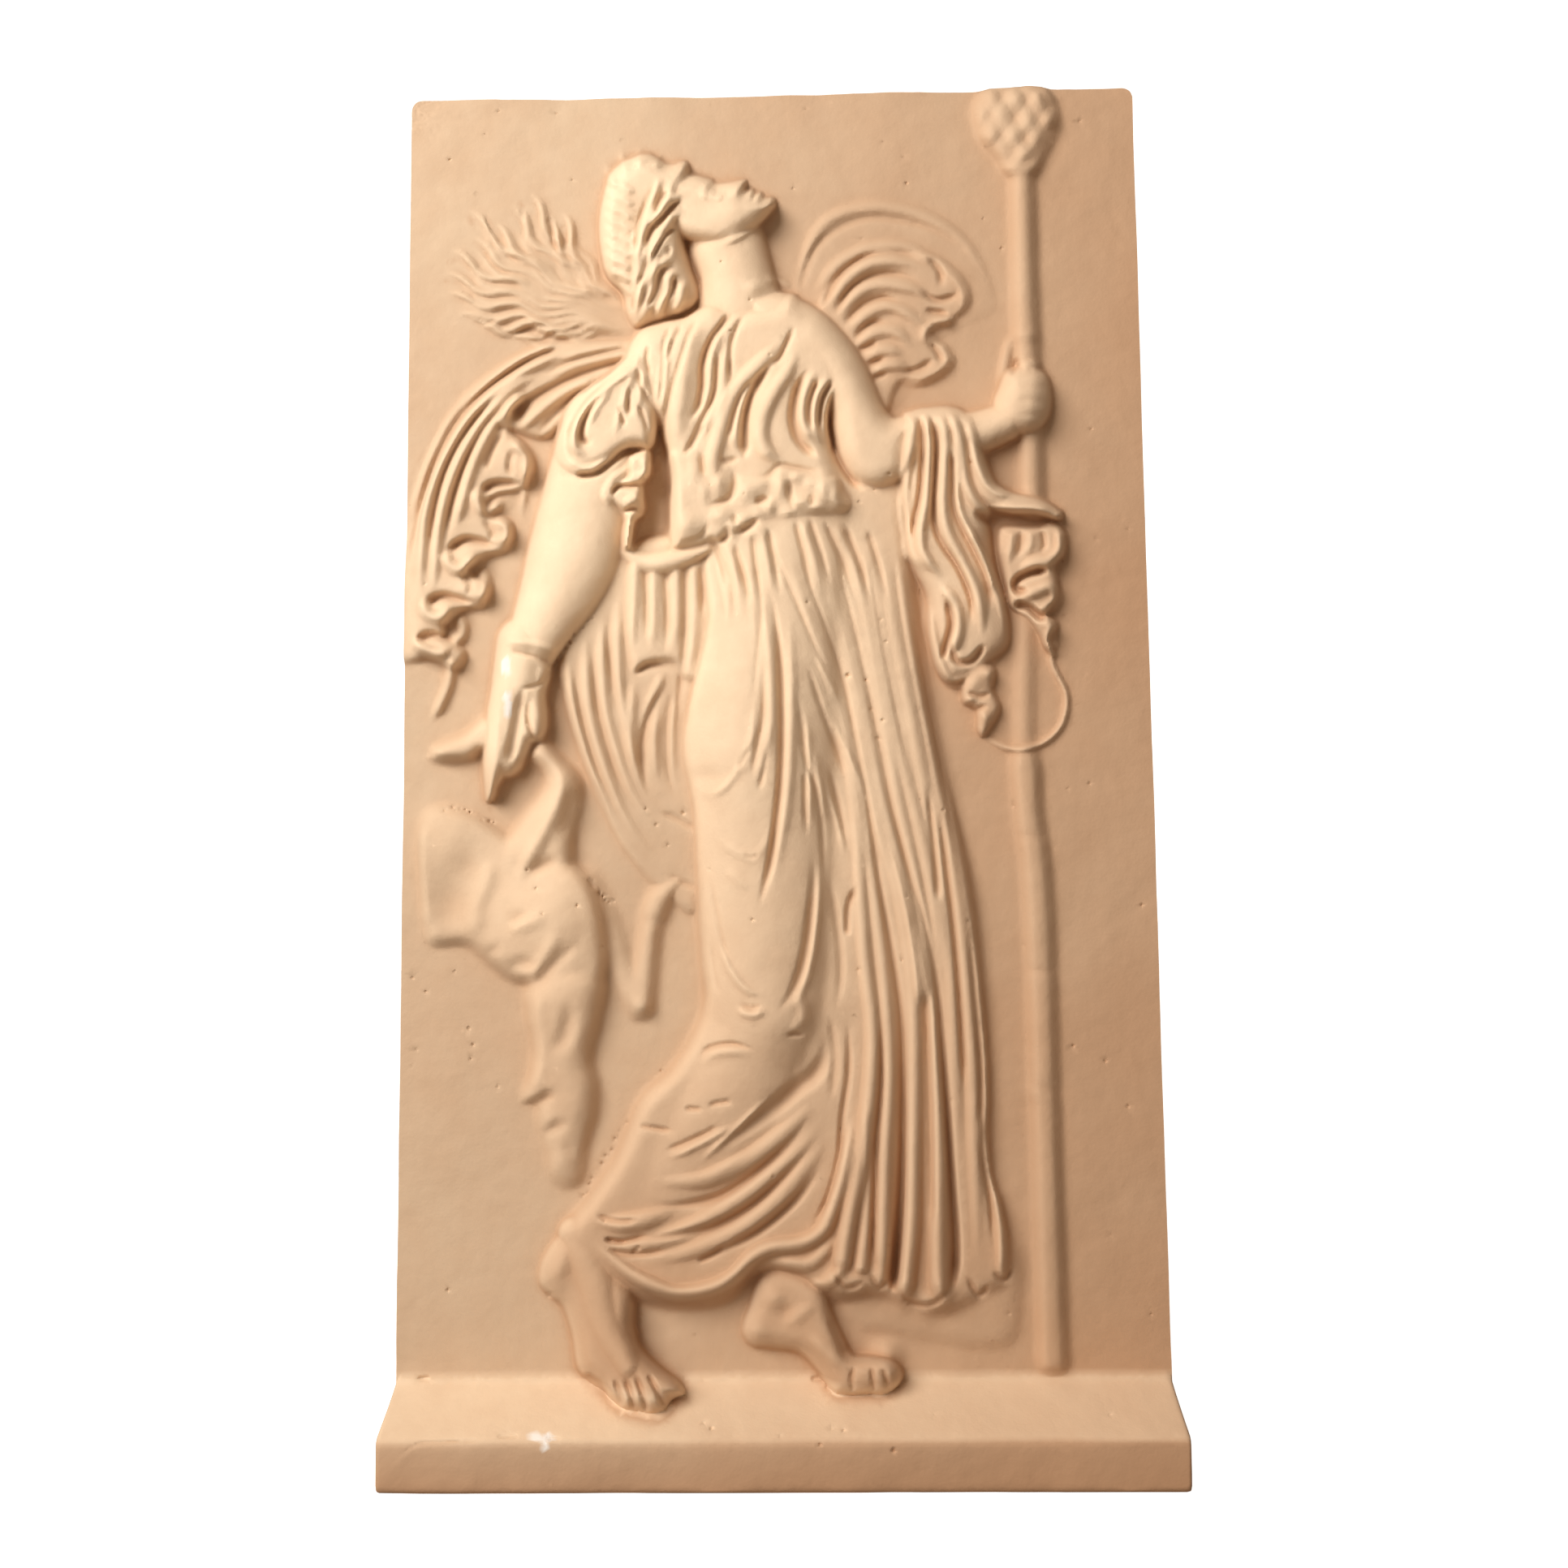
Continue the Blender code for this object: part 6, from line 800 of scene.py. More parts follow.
    c.folds([[(13.5, 324), (14.5, 300), (14.5, 280), (13.5, 264)], [(16, 308), (19, 290), (21, 270)],
             [(17, 348), (24, 334), (28, 324)], [(23, 324), (29, 308), (36, 292), (40, 276)],
             [(21, 290), (27, 272), (30, 255)]], 2.0, 1.2, "bell", (0.3, 0.3), dress)
    # cloth hanging in loops across the thigh, down to the knee
    c.folds([[(-30, 276), (-24, 264), (-15, 258), (-9, 258), (-4, 266), (-3, 276)],
             [(-24, 254), (-15, 245), (-11, 242)]], 3.2, 0.9, "bell", (0.4, 0.4), dress)
    c.folds([[(-15, 258.5), (-11, 257), (-8, 259)]], 1.2, -1.4, "bell", (0.2, 0.2), dress)
    c.folds([[(-30, 251), (-27, 235), (-23, 217), (-17, 203)], [(-29.5, 222), (-28, 208), (-25, 196)],
             [(-17, 194), (-12, 191.5), (-7, 194)]], 1.5, -1.2, "bell", (0.3, 0.3), dress)
    c.folds([[(-26, 222), (-20, 207), (-13, 199), (-5, 197.5)], [(-19, 192), (-12, 188.5), (-5, 191)]],
            2.6, 1.9, "bell", (0.3, 0.3), dress)
    c.folds([[(16, 262), (15, 240), (11.5, 215), (6, 199), (-3, 187)]],
            3.0, -2.6, "bell", (0.4, 0.3), dress)
    c.folds([[(19, 262), (18, 240), (15, 215), (10, 198), (2, 187)]], 2.6, 1.6, "bell", (0.4, 0.3), dress)
    c.folds([[(8, 200), (11, 188), (4, 181)]], 4.0, 1.5, "bell", (0.3, 0.3), dress)
    c.folds([[(-36, 169), (-31, 174.5), (-22, 176.5), (-14, 175), (-8, 172)],
             [(3, 179.3), (7, 180.5), (12, 179.6)]], 1.3, -2.6, "bell", (0.3, 0.4), dress)
    c.folds([[(-34, 167), (-28, 172), (-20, 173), (-11, 171)]], 2.8, 1.2, "bell", (0.3, 0.4), dress)
    # below the knee the cloth is swept back to the left heel
    c.folds([[(19, 184), (19.5, 172), (15, 163), (7, 157), (-3, 149), (-16, 139), (-32, 128)]],
            5.5, -3.6, "bell", (0.3, 0.5), dress)
    c.folds([[(-31, 150), (-26, 151.3), (-20, 152)], [(-50, 131), (-42, 134), (-33, 138), (-24, 143)],
             [(-62, 142), (-50, 140), (-45, 140)], [(-41, 149), (-33, 148.5)]],
            1.5, -2.2, "bell", (0.2, 0.3), dress)
    c.folds([[(-50, 127), (-40, 131), (-28, 137), (-18, 143)],
             [(-3, 155), (-12, 146.5), (-24, 135.5), (-36, 125)]], 2.0, 1.8, "bell", (0.3, 0.3), dress)
    c.folds([[(17, 154), (9, 145), (0, 137), (-10, 129.5), (-20, 124), (-34, 118.5), (-58, 118)],
             [(19, 146), (12, 135), (4, 127), (-5, 119.5), (-15, 112), (-28, 104), (-42, 97), (-60, 91.5),
              (-76, 92)],
             [(21, 140), (15, 129), (8, 120), (1, 112), (-8, 104), (-20, 96), (-32, 91), (-46, 86.5),
              (-62, 85)], [(-44, 106), (-56, 102.5), (-70, 100.5), (-82, 103)]],
            4.2, 3.4, "cord", (0.4, 0.4), dress)
    c.folds([[(14, 146), (6, 136), (-3, 128), (-14, 119), (-28, 111), (-46, 108), (-60, 110)],
             [(16, 137), (8, 127), (-2, 117), (-14, 107), (-30, 99), (-48, 95), (-70, 93.5)],
             [(20, 128), (12, 116), (2, 106), (-10, 97), (-22, 91), (-36, 84)]],
            3.2, -3.4, "bell", (0.4, 0.4), dress)
    c.folds([[(-80, 104), (-70, 101.5), (-60, 102)], [(-77, 94), (-68, 92.8), (-56, 96)],
             [(-76, 90), (-68, 88), (-60, 87.6), (-46, 89.5)], [(-36, 84), (-29, 87.5), (-23, 92)]],
            1.6, -2.6, "bell", (0.2, 0.3), dress)
    c.folds([[(33, 148), (28, 124), (22.5, 106), (17, 96), (8, 91.5), (-4, 90), (-12, 86), (-20, 78),
              (-30, 73), (-44, 71), (-56, 75), (-68, 82), (-82, 94)]], 3.6, 5.0, "cord", (0.15, 0.2))
    c.folds([[(25, 96), (14, 84), (4, 83), (-6, 84)], [(26, 82), (18, 74), (10, 76)]],
            3.2, 2.8, "cord", (0.3, 0.3), dress)
    c.folds([[(35, 245), (31, 236), (30, 222)],
             [(30, 190), (30, 165), (27, 145), (25.5, 128), (21, 112), (14, 99)],
             [(44, 190), (44, 160), (41.5, 135), (40, 105), (38.5, 80)],
             [(63, 215), (64.5, 180), (65.3, 145), (65, 95)],
             [(71, 286), (74, 250), (77, 218), (78.8, 185), (80, 155)],
             [(82, 240), (85, 200), (87, 165), (87, 132), (90, 110), (91, 88)],
             [(66, 290), (69, 258), (70, 236)]], 1.9, -2.6, "bell", (0.25, 0.12), dress)
    c.folds([[(22, 250), (26, 226), (27, 205), (24, 188)], [(22, 190), (24, 170), (22, 150)]],
            3.0, -1.4, "bell", (0.3, 0.3), dress)
    # turned-over ends of the long folds at the hem
    for x, z, size in ((26, 76, 5.0), (33, 75, 4.2), (41, 76, 4.6), (52, 69, 5.0), (62, 66, 5.4),
                       (69, 70, 3.6)):
        c.swell(x, z, size, 5.5, 3.0)
    c.folds([[(22, 80), (28, 73), (36, 76)], [(37, 80), (42, 73), (46, 77)],
             [(48, 74), (55, 67), (64, 66), (72, 72)], [(79, 78), (84, 70), (89, 74)],
             [(90, 80), (95, 76), (99, 81)]], 1.8, -2.6, "bell", (0.3, 0.2))


def carve_arm_cloth(c):
    """The cloth that hangs over the right forearm and swings out round the staff."""
    # the part that hangs in front of the hip
    c.mass([(57, 452), (62, 457), (70, 458.5), (80, 458.5), (87, 455), (92, 446), (93, 432), (97, 418),
            (96, 402), (98, 385), (103, 365), (103, 350), (92, 341), (80, 333), (72, 337), (68, 352),
            (67, 372), (60, 388), (58, 408), (56, 425)], (16.5, 75, 455, 10, 88, 350), 10)
    c.limb([(83, 450, 4.5, 12.5), (87, 443, 5.5, 14), (90, 430, 6, 14.5), (95, 419, 6, 14.5),
            (105, 414, 5, 14), (117, 412, 4.2, 13), (126, 408, 2.6, 12)])
    # the part that swings out behind the staff, with a frilled edge
    c.mass([(101, 403), (112, 404), (124, 405), (129, 400), (129, 391), (125, 385), (126, 378),
            (125, 370), (121, 364), (124.5, 358), (121.5, 352), (124, 344), (119, 348), (116, 355),
            (111, 362), (104, 367), (102, 376), (100, 386), (99, 395)], 8, 5)
    c.folds([[(62, 457), (61.5, 442), (58.5, 425), (58, 412), (59.5, 400), (60.5, 391), (68, 383)],
             [(67.5, 457), (69.5, 442), (69, 428), (68, 415), (65, 402), (66, 391), (75, 380)],
             [(74, 457), (77, 445), (76.5, 430), (75.5, 415), (77, 402), (83, 389), (90, 372),
              (92, 352)]], 2.8, 3.6, "cord", (0.1, 0.15))
    c.folds([[(78, 458), (82.5, 448), (84.5, 436), (85.5, 425), (89, 416), (95, 411), (105, 411),
              (118, 411), (126, 408)], [(85, 457), (89.5, 442), (92, 430), (97, 421), (106, 417)]],
            2.6, 3.0, "cord", (0.1, 0.1))
    c.folds([[(81, 452), (81, 430), (82, 412), (88, 398), (96, 382), (101, 364), (100, 350)],
             [(86, 404), (92, 390), (97, 372)]], 2.4, 2.8, "cord", (0.2, 0.2))
    c.folds([[(65.5, 456), (67, 445), (66.5, 432), (65, 418), (62, 403), (62, 393)],
             [(70.5, 456), (72.5, 443), (72, 430), (71, 415), (71.5, 404), (75, 395), (82, 384),
              (87, 370), (86, 356)],
             [(79.5, 440), (80, 425), (80.5, 412), (84, 402), (90, 390), (94, 379), (96, 362)]],
            2.0, -4.2, "bell", (0.1, 0.2))
    c.folds([[(89, 411), (96, 405.5), (106, 405.5), (116, 404.5), (123, 404)]],
            3.4, -5.0, "bell", (0.15, 0.15))
    c.folds([[(124, 404), (127.5, 399), (127, 392), (122, 387.5), (115, 386.5), (108, 383)],
             [(108, 371), (115, 373.5), (122, 376), (125, 371), (121, 366.5), (115, 366)],
             [(117, 360), (122.5, 359), (121.5, 353), (123.5, 346)]], 3.0, 3.2, "cord", (0.2, 0.2))
    c.folds([[(106, 402), (105, 394), (103, 385)], [(114, 402), (114, 395), (111, 389)]],
            3.0, 1.8, "bell", (0.2, 0.4))
    c.folds([[(110, 402), (109.5, 395), (107, 388)], [(119, 402), (120, 395), (117, 390)]],
            2.0, -2.4, "bell", (0.2, 0.4))
    c.folds([[(122, 383.5), (114, 382), (107.5, 378.5), (107.5, 374.5), (113, 374)],
             [(105, 368), (112, 366.5), (117, 362.5), (121, 361.5)]], 3.0, -6.5, "bell", (0.2, 0.2))
    # its lower end, folded up round a hollow
    c.folds([[(67, 374), (69, 356), (74, 338), (80, 333), (90, 338), (101, 348)],
             [(73, 378), (80, 368), (81, 356), (76, 344)]], 2.8, 3.0, "cord", (0.2, 0.2))
    c.folds([[(76, 372), (78, 360), (75, 348), (73, 342)], [(77, 352), (80, 343), (87, 343), (93, 351)]],
            2.4, -4.6, "bell", (0.2, 0.2))
    # the broken end, and the thin rim that runs on from it round the staff
    c.mass([(83, 336), (91, 342), (97, 339), (96, 330), (99, 322), (95, 314), (91, 309), (88, 313),
            (88, 321), (82, 325)], 6.5, 4)
    for x, z, size in ((88, 333, 4.6), (94, 337, 3.0), (86, 326, 2.6), (92, 318, 3.0)):
        c.swell(x, z, size, size * 0.7, 1.8, 17 * x)
    c.folds([[(84, 329), (90, 327), (96, 329)], [(88, 321), (93, 323)]], 1.6, -2.4, "bell", (0.2, 0.3))
    c.folds([[(121, 350), (122.5, 340), (128, 327), (125.5, 314), (117, 306), (106, 303.5), (97, 306),
              (90, 312)]], 1.5, 2.6, "cord", (0.1, 0.2))


def carve_head(c):
    """The head thrown back, a plain classical profile turned up to the right."""
    c.limb([(-14, 500, 21, 12), (-16, 520, 17, 13), (-20, 534, 17.5, 13)])
    c.swell(-8, 515, 4.5, 3, 1.5)
    c.folds([[(-4, 518), (3, 518), (9, 514)]], 2.6, 1.2, "bell", (0.3, 0.3))

    # the face is in thirds: down runs from hairline to chin, and out runs forward from the brow
    turn = math.radians(FACE_TILT)
    down, out = (math.cos(turn), -math.sin(turn)), (math.sin(turn), math.cos(turn))

    def at(d, o):
        d, o = d * FACE_LENGTH, o * FACE_LENGTH
        return (HAIRLINE[0] + d * down[0] + o * out[0], HAIRLINE[1] + d * down[1] + o * out[1])

    third = 1 / 3
    face = c.mass([at(-0.06, -0.06), at(0.10, 0.02), at(0.24, 0.035), at(third, 0.035),
                   at(third + 0.05, 0.015), at(third + 0.17, 0.07), at(2 * third - 0.03, 0.135),
                   at(2 * third, 0.115), at(2 * third + 0.025, 0.05), at(2 * third + 0.08, 0.075),
                   at(2 * third + 0.12, 0.045), at(2 * third + 0.17, 0.065), at(2 * third + 0.22, 0.03),
                   at(0.96, 0.055), at(1.02, 0.0), at(1.0, -0.12), at(0.90, -0.32), at(0.74, -0.52),
                   at(0.55, -0.62), at(0.2, -0.62), at(-0.1, -0.4)], 15.5, 9)
    c.swell(*at(0.62, -0.22), 9, 8, 1.6)
    # brow, eye with its lids, nostril, lips and jaw
    c.folds([[at(0.30, 0.0), at(0.31, -0.10), at(0.35, -0.20)]], 3.4, 1.5, "bell", (0.3, 0.3), face)
    c.swell(*at(0.42, -0.07), 4.4, 3.4, -2.0)
    c.swell(*at(0.425, -0.095), 3.0, 2.4, 1.9)
    c.folds([[at(0.385, -0.03), at(0.375, -0.10), at(0.42, -0.17)],
             [at(0.465, -0.05), at(0.475, -0.10), at(0.44, -0.16)]], 1.3, 1.1, "cord", (0.2, 0.2), face)
    c.swell(*at(0.62, 0.005), 2.8, 2.6, 1.6)
    c.folds([[at(0.655, 0.03), at(0.66, -0.02)]], 1.2, -1.4, "bell", (0.2, 0.2), face)
    c.folds([[at(0.785, 0.06), at(0.79, 0.0), at(0.775, -0.05)]], 1.4, -1.6, "bell", (0.1, 0.3), face)
    c.folds([[at(0.755, 0.05), at(0.76, 0.0), at(0.775, -0.04)],
             [at(0.825, 0.04), at(0.82, 0.0), at(0.795, -0.04)]], 1.8, 0.9, "cord", (0.2, 0.4), face)
    c.folds([[at(1.0, -0.10), at(0.90, -0.30), at(0.74, -0.47), at(0.60, -0.56)]],
            5, 1.6, "bell", (0.3, 0.3), face)

    hair = c.mass([(-38, 574), (-47, 574), (-56, 579), (-65, 577), (-73, 571), (-77, 560), (-79, 546),
                   (-78, 532), (-75, 521), (-68, 513), (-66, 503), (-62, 497), (-54, 499), (-45, 502),
                   (-36, 506), (-33, 513), (-37, 526), (-40, 540), (-37, 556)],
                  (15.5, -58, 532, 9, -52, 498), 9)
    # leaves of a wreath in rows over the crown, and locks drawn back from the temple to the nape
    for k in range(9):
        z = 565 - 6 * k
        c.folds([wavy((-70, z - 3), (-72, z + 2), (-79, z + 3), 0.5, 1),
                 wavy((-62 - 0.2 * k, z - 5), (-66, z - 1), (-72, z - 1), 0.5, 1)],
                (3.2, 1.8), (1.6, 1.0), "bell", (0.3, 0.4), hair)
    tips = [((-71, 562), (-76, 575)), ((-66, 568), (-69, 582)), ((-60, 571), (-60, 583)),
            ((-53, 571), (-50, 580))]
    c.folds([[a, b] for a, b in tips], 3.4, 2.4, "bell", (0.4, 0.6))
    c.folds([[(-44, 569), (-47, 560), (-52, 552), (-56, 545), (-59, 535), (-61, 520), (-62, 502)],
             [(-50, 569), (-54, 560), (-57, 550), (-61, 540), (-63, 525)],
             [(-41, 560), (-46, 556.5), (-51, 550), (-56, 543)],
             [(-41, 553), (-46, 548), (-51, 541), (-55, 534), (-58, 524)],
             [(-44, 542), (-50, 538), (-53, 532), (-55, 524), (-60, 514), (-63, 501)],
             [(-44, 530), (-50, 527), (-53, 521), (-55, 512), (-59, 499)],
             [(-42, 524), (-47, 520), (-47, 513), (-50, 507), (-52, 499)],
             [(-39, 519), (-41, 514), (-42, 508), (-45, 502)]],
            2.7, 2.8, "cord", (0.2, 0.25), hair)
    c.folds([[(-40, 557), (-45, 554), (-49, 549), (-54, 545), (-56.5, 539), (-57, 533)],
             [(-47, 562), (-51, 556), (-53, 550)], [(-43, 544), (-47.5, 541), (-51.5, 535), (-55, 528)],
             [(-47, 527), (-51, 522), (-53, 514), (-57, 505)],
             [(-44, 522), (-45, 515), (-48, 508), (-49, 501)], [(-58, 524), (-62, 513), (-64, 503)],
             [(-52, 568), (-57, 556), (-61, 544), (-62, 530)]], 1.5, -3.2, "bell", (0.2, 0.2), hair)
    c.swell(-47, 533, 3.2, 4.6, 2.6, -15)
    c.swell(-47, 533, 1.5, 2.6, -3.6, -15)


def carve_wear(c, seed, bubbles):
    """The plaster's own surface: gentle unevenness, bubbles left by air, chips and rubbed places."""
    source = np.random.default_rng(seed)
    for size, lift in ((34.0, 1.1), (13.0, 0.45), (4.5, 0.16), (1.4, 0.10)):
        cells = max(1, int(size / c.step / 2))
        rough = source.standard_normal(c.depth.shape)
        for axis in (0, 1, 0, 1):
            rough = box_mean(rough, cells, axis)
        c.depth += lift * 0.25 * rough / rough.std()
    spots = source.uniform((-163, 2), (163, 604), (bubbles, 2))
    for (x, z), size in zip(spots, source.uniform(0.45, 0.85, bubbles)):
        pinhole(c, x, z, size)
    marked = [(32, 337, 1.3), (47, 317, 0.9), (45, 309, 0.8), (40, 335, 0.7), (42, 322, 0.7),
              (49, 352, 0.7), (47, 362, 0.7), (-41, 277, 1.0), (-53, 272, 0.8), (-48, 263, 0.7),
              (-30, 252, 0.7), (-11, 230, 0.8), (-3, 120, 0.8), (26, 127, 0.7), (26, 140, 0.7),
              (35, 208, 0.8), (54, 212, 0.7), (56, 239, 0.7), (-154, 200, 0.8), (-160, 206, 0.8),
              (-135, 184, 0.8), (-158, 175, 0.7), (-133, 177, 0.8), (-134, 171, 0.8),
              (-122, 159, 0.7), (-66, 143, 0.8), (-51, 165, 0.7), (73, 277, 0.8), (74, 152, 0.7),
              (-100, 340, 1.2), (-30, 15, 1.0), (26, 14, 0.9), (16, 8.5, 0.9), (47, 6, 1.1),
              (-143, 73, 0.9), (-99, 71, 1.4), (97, 62, 0.7), (137, 288, 0.7)]
    for x, z, size in marked:
        pinhole(c, x, z, size)
    # crumbs along the trailing hem, the arm and the kid, chips on the ledge and a worn corner
    for line in ([(-37, 180), (-50, 162), (-66, 142), (-80, 120), (-86, 106)],
                 [(-80, 367), (-90, 356), (-97, 347), (-100, 341)],
                 [(-148, 280), (-136, 278), (-125, 274)],
                 [(-83, 248), (-78, 242), (-73, 238)]):
        crumbs = curve(line, 7)
        crumbs = crumbs + source.uniform(-1.2, 1.2, crumbs.shape)
        for (x, z), size in zip(crumbs, source.uniform(0.4, 0.9, len(crumbs))):
            pinhole(c, x, z, size)
    c.folds([[(-160, 9.5), (-140, 10), (-127, 11)], [(-101, 11.5), (-94, 11)],
             [(-122, 12), (-112, 12.5)]], 1.6, -1.0, "cut", (0.2, 0.2))
    c.folds([[(-64, 88), (-60, 91)], [(-76, 94), (-66, 92.5)], [(18, 36), (12, 35)],
             [(-156, 36), (-150, 36.5)]], 1.8, -1.6, "cut", (0.2, 0.2))
    corner = ease((c.z[:, None] - 582) / 22) * ease((-c.x[None, :] - 138) / 24)
    c.depth -= corner * (0.7 + 0.5 * (source.standard_normal(c.depth.shape) > 1.5))


def pinhole(c, x, z, size):
    """A small round hole in the surface."""
    view = c.window(np.array([(x, z)], float), size * 1.5)
    far = np.hypot(c.x[view[1]][None, :] - x, c.z[view[0]][:, None] - z)
    c.depth[view] -= 1.6 * size * np.clip(1.2 - far / size, 0, 1)


def cast_profile(box):
    """The front seen from the side, from the top down: depth before the slab and height, in units."""
    settings = bpy.context.scene.cast_settings
    _, out, up = sized(box)
    rise, arris = settings.ledge_rise / up, settings.ledge_arris / up
    heel = settings.ledge_heel / up
    reach = (box[1][1] - box[0][1] - settings.slab_thickness) / out
    top = [(0.0, HEIGHT_UNITS), (0.0, rise + 60), (0.0, rise + 3)]
    # a hollow slope runs forward to the arris, and an upright face down to the rounded heel
    slope = [(reach * t, rise + (arris - rise) * t**0.85)
             for t in (0.02, 0.1, 0.3, 0.5, 0.7, 0.85, 0.95)]
    turn = [(reach - 0.3, arris - 0.8), (reach, arris - 2.5)]
    angles = np.linspace(0, math.pi / 2, 6)
    foot = [(reach - heel * (1 - math.cos(a)), heel * (1 - math.sin(a))) for a in angles]
    line = np.vstack([top, slope, turn, foot])
    length = np.concatenate([[0.0], np.cumsum(np.hypot(*np.diff(line, axis=0).T))])
    rows = np.linspace(0, length[-1], int(length[-1] / settings.surface_step) + 1)
    return np.interp(rows, length, line[:, 0]), np.interp(rows, length, line[:, 1])


def sample(carving, x, z):
    """The carving's depth at places on the picture plane."""
    col = np.clip((x - carving.x[0]) / carving.step, 0, len(carving.x) - 1.001)
    row = np.clip((z - carving.z[0]) / carving.step, 0, len(carving.z) - 1.001)
    c, r = col.astype(int), row.astype(int)
    u, v = col - c, row - r
    near = carving.depth[r, c] * (1 - u) + carving.depth[r, c + 1] * u
    return near * (1 - v) + (carving.depth[r + 1, c] * (1 - u) + carving.depth[r + 1, c + 1] * u) * v


def as_seen(x, z, ahead):
    """Where on the slab the viewer sees a point that stands this far ahead of it."""
    eye_x, eye_z, eye_far = VIEWER
    seen = eye_far / (eye_far - ahead)
    return eye_x + (x - eye_x) * seen, eye_z + (z - eye_z) * seen


def round_corners(x, z, size):
    """Turns the slab's two top corners on a quarter circle of this size."""
    u = (np.abs(x) - WIDTH_UNITS / 2 + size) / size
    v = (z - HEIGHT_UNITS + size) / size
    corner = (u > 0) & (v > 0)
    shrink = np.where(corner, np.maximum(u, v) / np.where(corner, np.hypot(u, v), 1), 1)
    x = np.where(corner, np.sign(x) * (WIDTH_UNITS / 2 - size * (1 - u * shrink)), x)
    return x, np.where(corner, HEIGHT_UNITS - size * (1 - v * shrink), z)


def front_surface(carving, wear, box):
    """Points over the front, as rows from the top down: across, depth and height, in units."""
    settings = bpy.context.scene.cast_settings
    base, height = cast_profile(box)
    columns = int(WIDTH_UNITS / settings.surface_step) + 1
    across = np.linspace(-WIDTH_UNITS / 2, WIDTH_UNITS / 2, columns)
    x, z = np.meshgrid(across, height)
    depth = np.repeat(base[:, None], len(across), axis=1)
    # the outer edges are rounded over
    margin = np.minimum(WIDTH_UNITS / 2 - np.abs(x), HEIGHT_UNITS - z)
    size = settings.edge_round / sized(box)[0]
    depth -= size - np.sqrt(np.maximum(size**2 - np.clip(size - margin, 0, size) ** 2, 0))
    # a form that stands out hides what lies behind it, so its depth is read along the line of sight
    lean = ease(np.clip(margin / LEAN_MARGIN, 0, 1))
    ahead = np.maximum(depth, 0) * lean + EDGE_BULGE * (1 - lean) * (z > HEIGHT_UNITS / 2)
    seen_x, seen_z = as_seen(x, z, ahead)
    # forms that reach the sides sink towards the edge
    sunk = 0.35 + 0.65 * ease(np.clip((WIDTH_UNITS / 2 - np.abs(x)) / SIDE_FADE, 0, 1))
    carved = np.maximum(sample(carving, seen_x, seen_z) * sunk, depth) - depth
    carved += sample(wear, seen_x, seen_z)
    eye_x, eye_z, eye_far = VIEWER
    x = x + carved * lean * (eye_x - x) / (eye_far - depth)
    z = z + carved * lean * (eye_z - z) / (eye_far - depth)
    x, z = round_corners(x, z, settings.corner_round / sized(box)[0])
    return x, depth + carved, z


def cast_mesh(carving, wear, box):
    """The closed solid: the carved front, four straight sides and a flat back."""
    x, depth, z = front_surface(carving, wear, box)
    rows, cols = x.shape
    across, out, up = sized(box)
    back_level = box[1][1]
    front = back_level - bpy.context.scene.cast_settings.slab_thickness
    points = np.stack([x * across, front - depth * out, z * up], axis=-1).reshape(-1, 3)
    index = np.arange(rows * cols).reshape(rows, cols)
    ring = np.concatenate([index[0, :], index[1:, -1], index[-1, -2::-1], index[-2:0:-1, 0]])
    back = points[ring] * (1, 0, 1) + (0, back_level, 0)
    # the last row lies on the ground and the first at the top, so the back's rim follows them exactly
    quads = np.stack([index[:-1, :-1], index[1:, :-1], index[1:, 1:], index[:-1, 1:]], axis=-1)
    first = rows * cols
    rim = first + np.arange(len(ring))
    walls = np.stack([ring, np.roll(ring, -1), np.roll(rim, -1), rim], axis=-1)
    mesh = bpy.data.meshes.new("carved_cast")
    faces = quads.reshape(-1, 4).tolist() + walls.tolist() + [rim.tolist()]
    mesh.from_pydata(np.vstack([points, back]).tolist(), [], faces)
    mesh.update()
    return mesh


def flatten(mesh, box):
    """Keeps the piece in its solid's box and sets the outermost faces exactly flat."""
    for vertex in mesh.vertices:
        for axis in range(3):
            if vertex.co[axis] < box[0][axis] + FLATNESS:
                vertex.co[axis] = box[0][axis]
            elif vertex.co[axis] > box[1][axis] - FLATNESS:
                vertex.co[axis] = box[1][axis]


def sized(box):
    """Metres for each drawing unit: across, out and up."""
    settings = bpy.context.scene.cast_settings
    (x0, _, z0), (x1, _, z1) = box
    return (x1 - x0) / WIDTH_UNITS, settings.relief_depth / DEPTH_UNITS, (z1 - z0) / HEIGHT_UNITS


def set_attribute(mesh, name, values):
    """Stores one number at each point of a mesh."""
    attribute = mesh.attributes.new(name, "FLOAT", "POINT")
    attribute.data.foreach_set("value", np.asarray(values, np.float32))


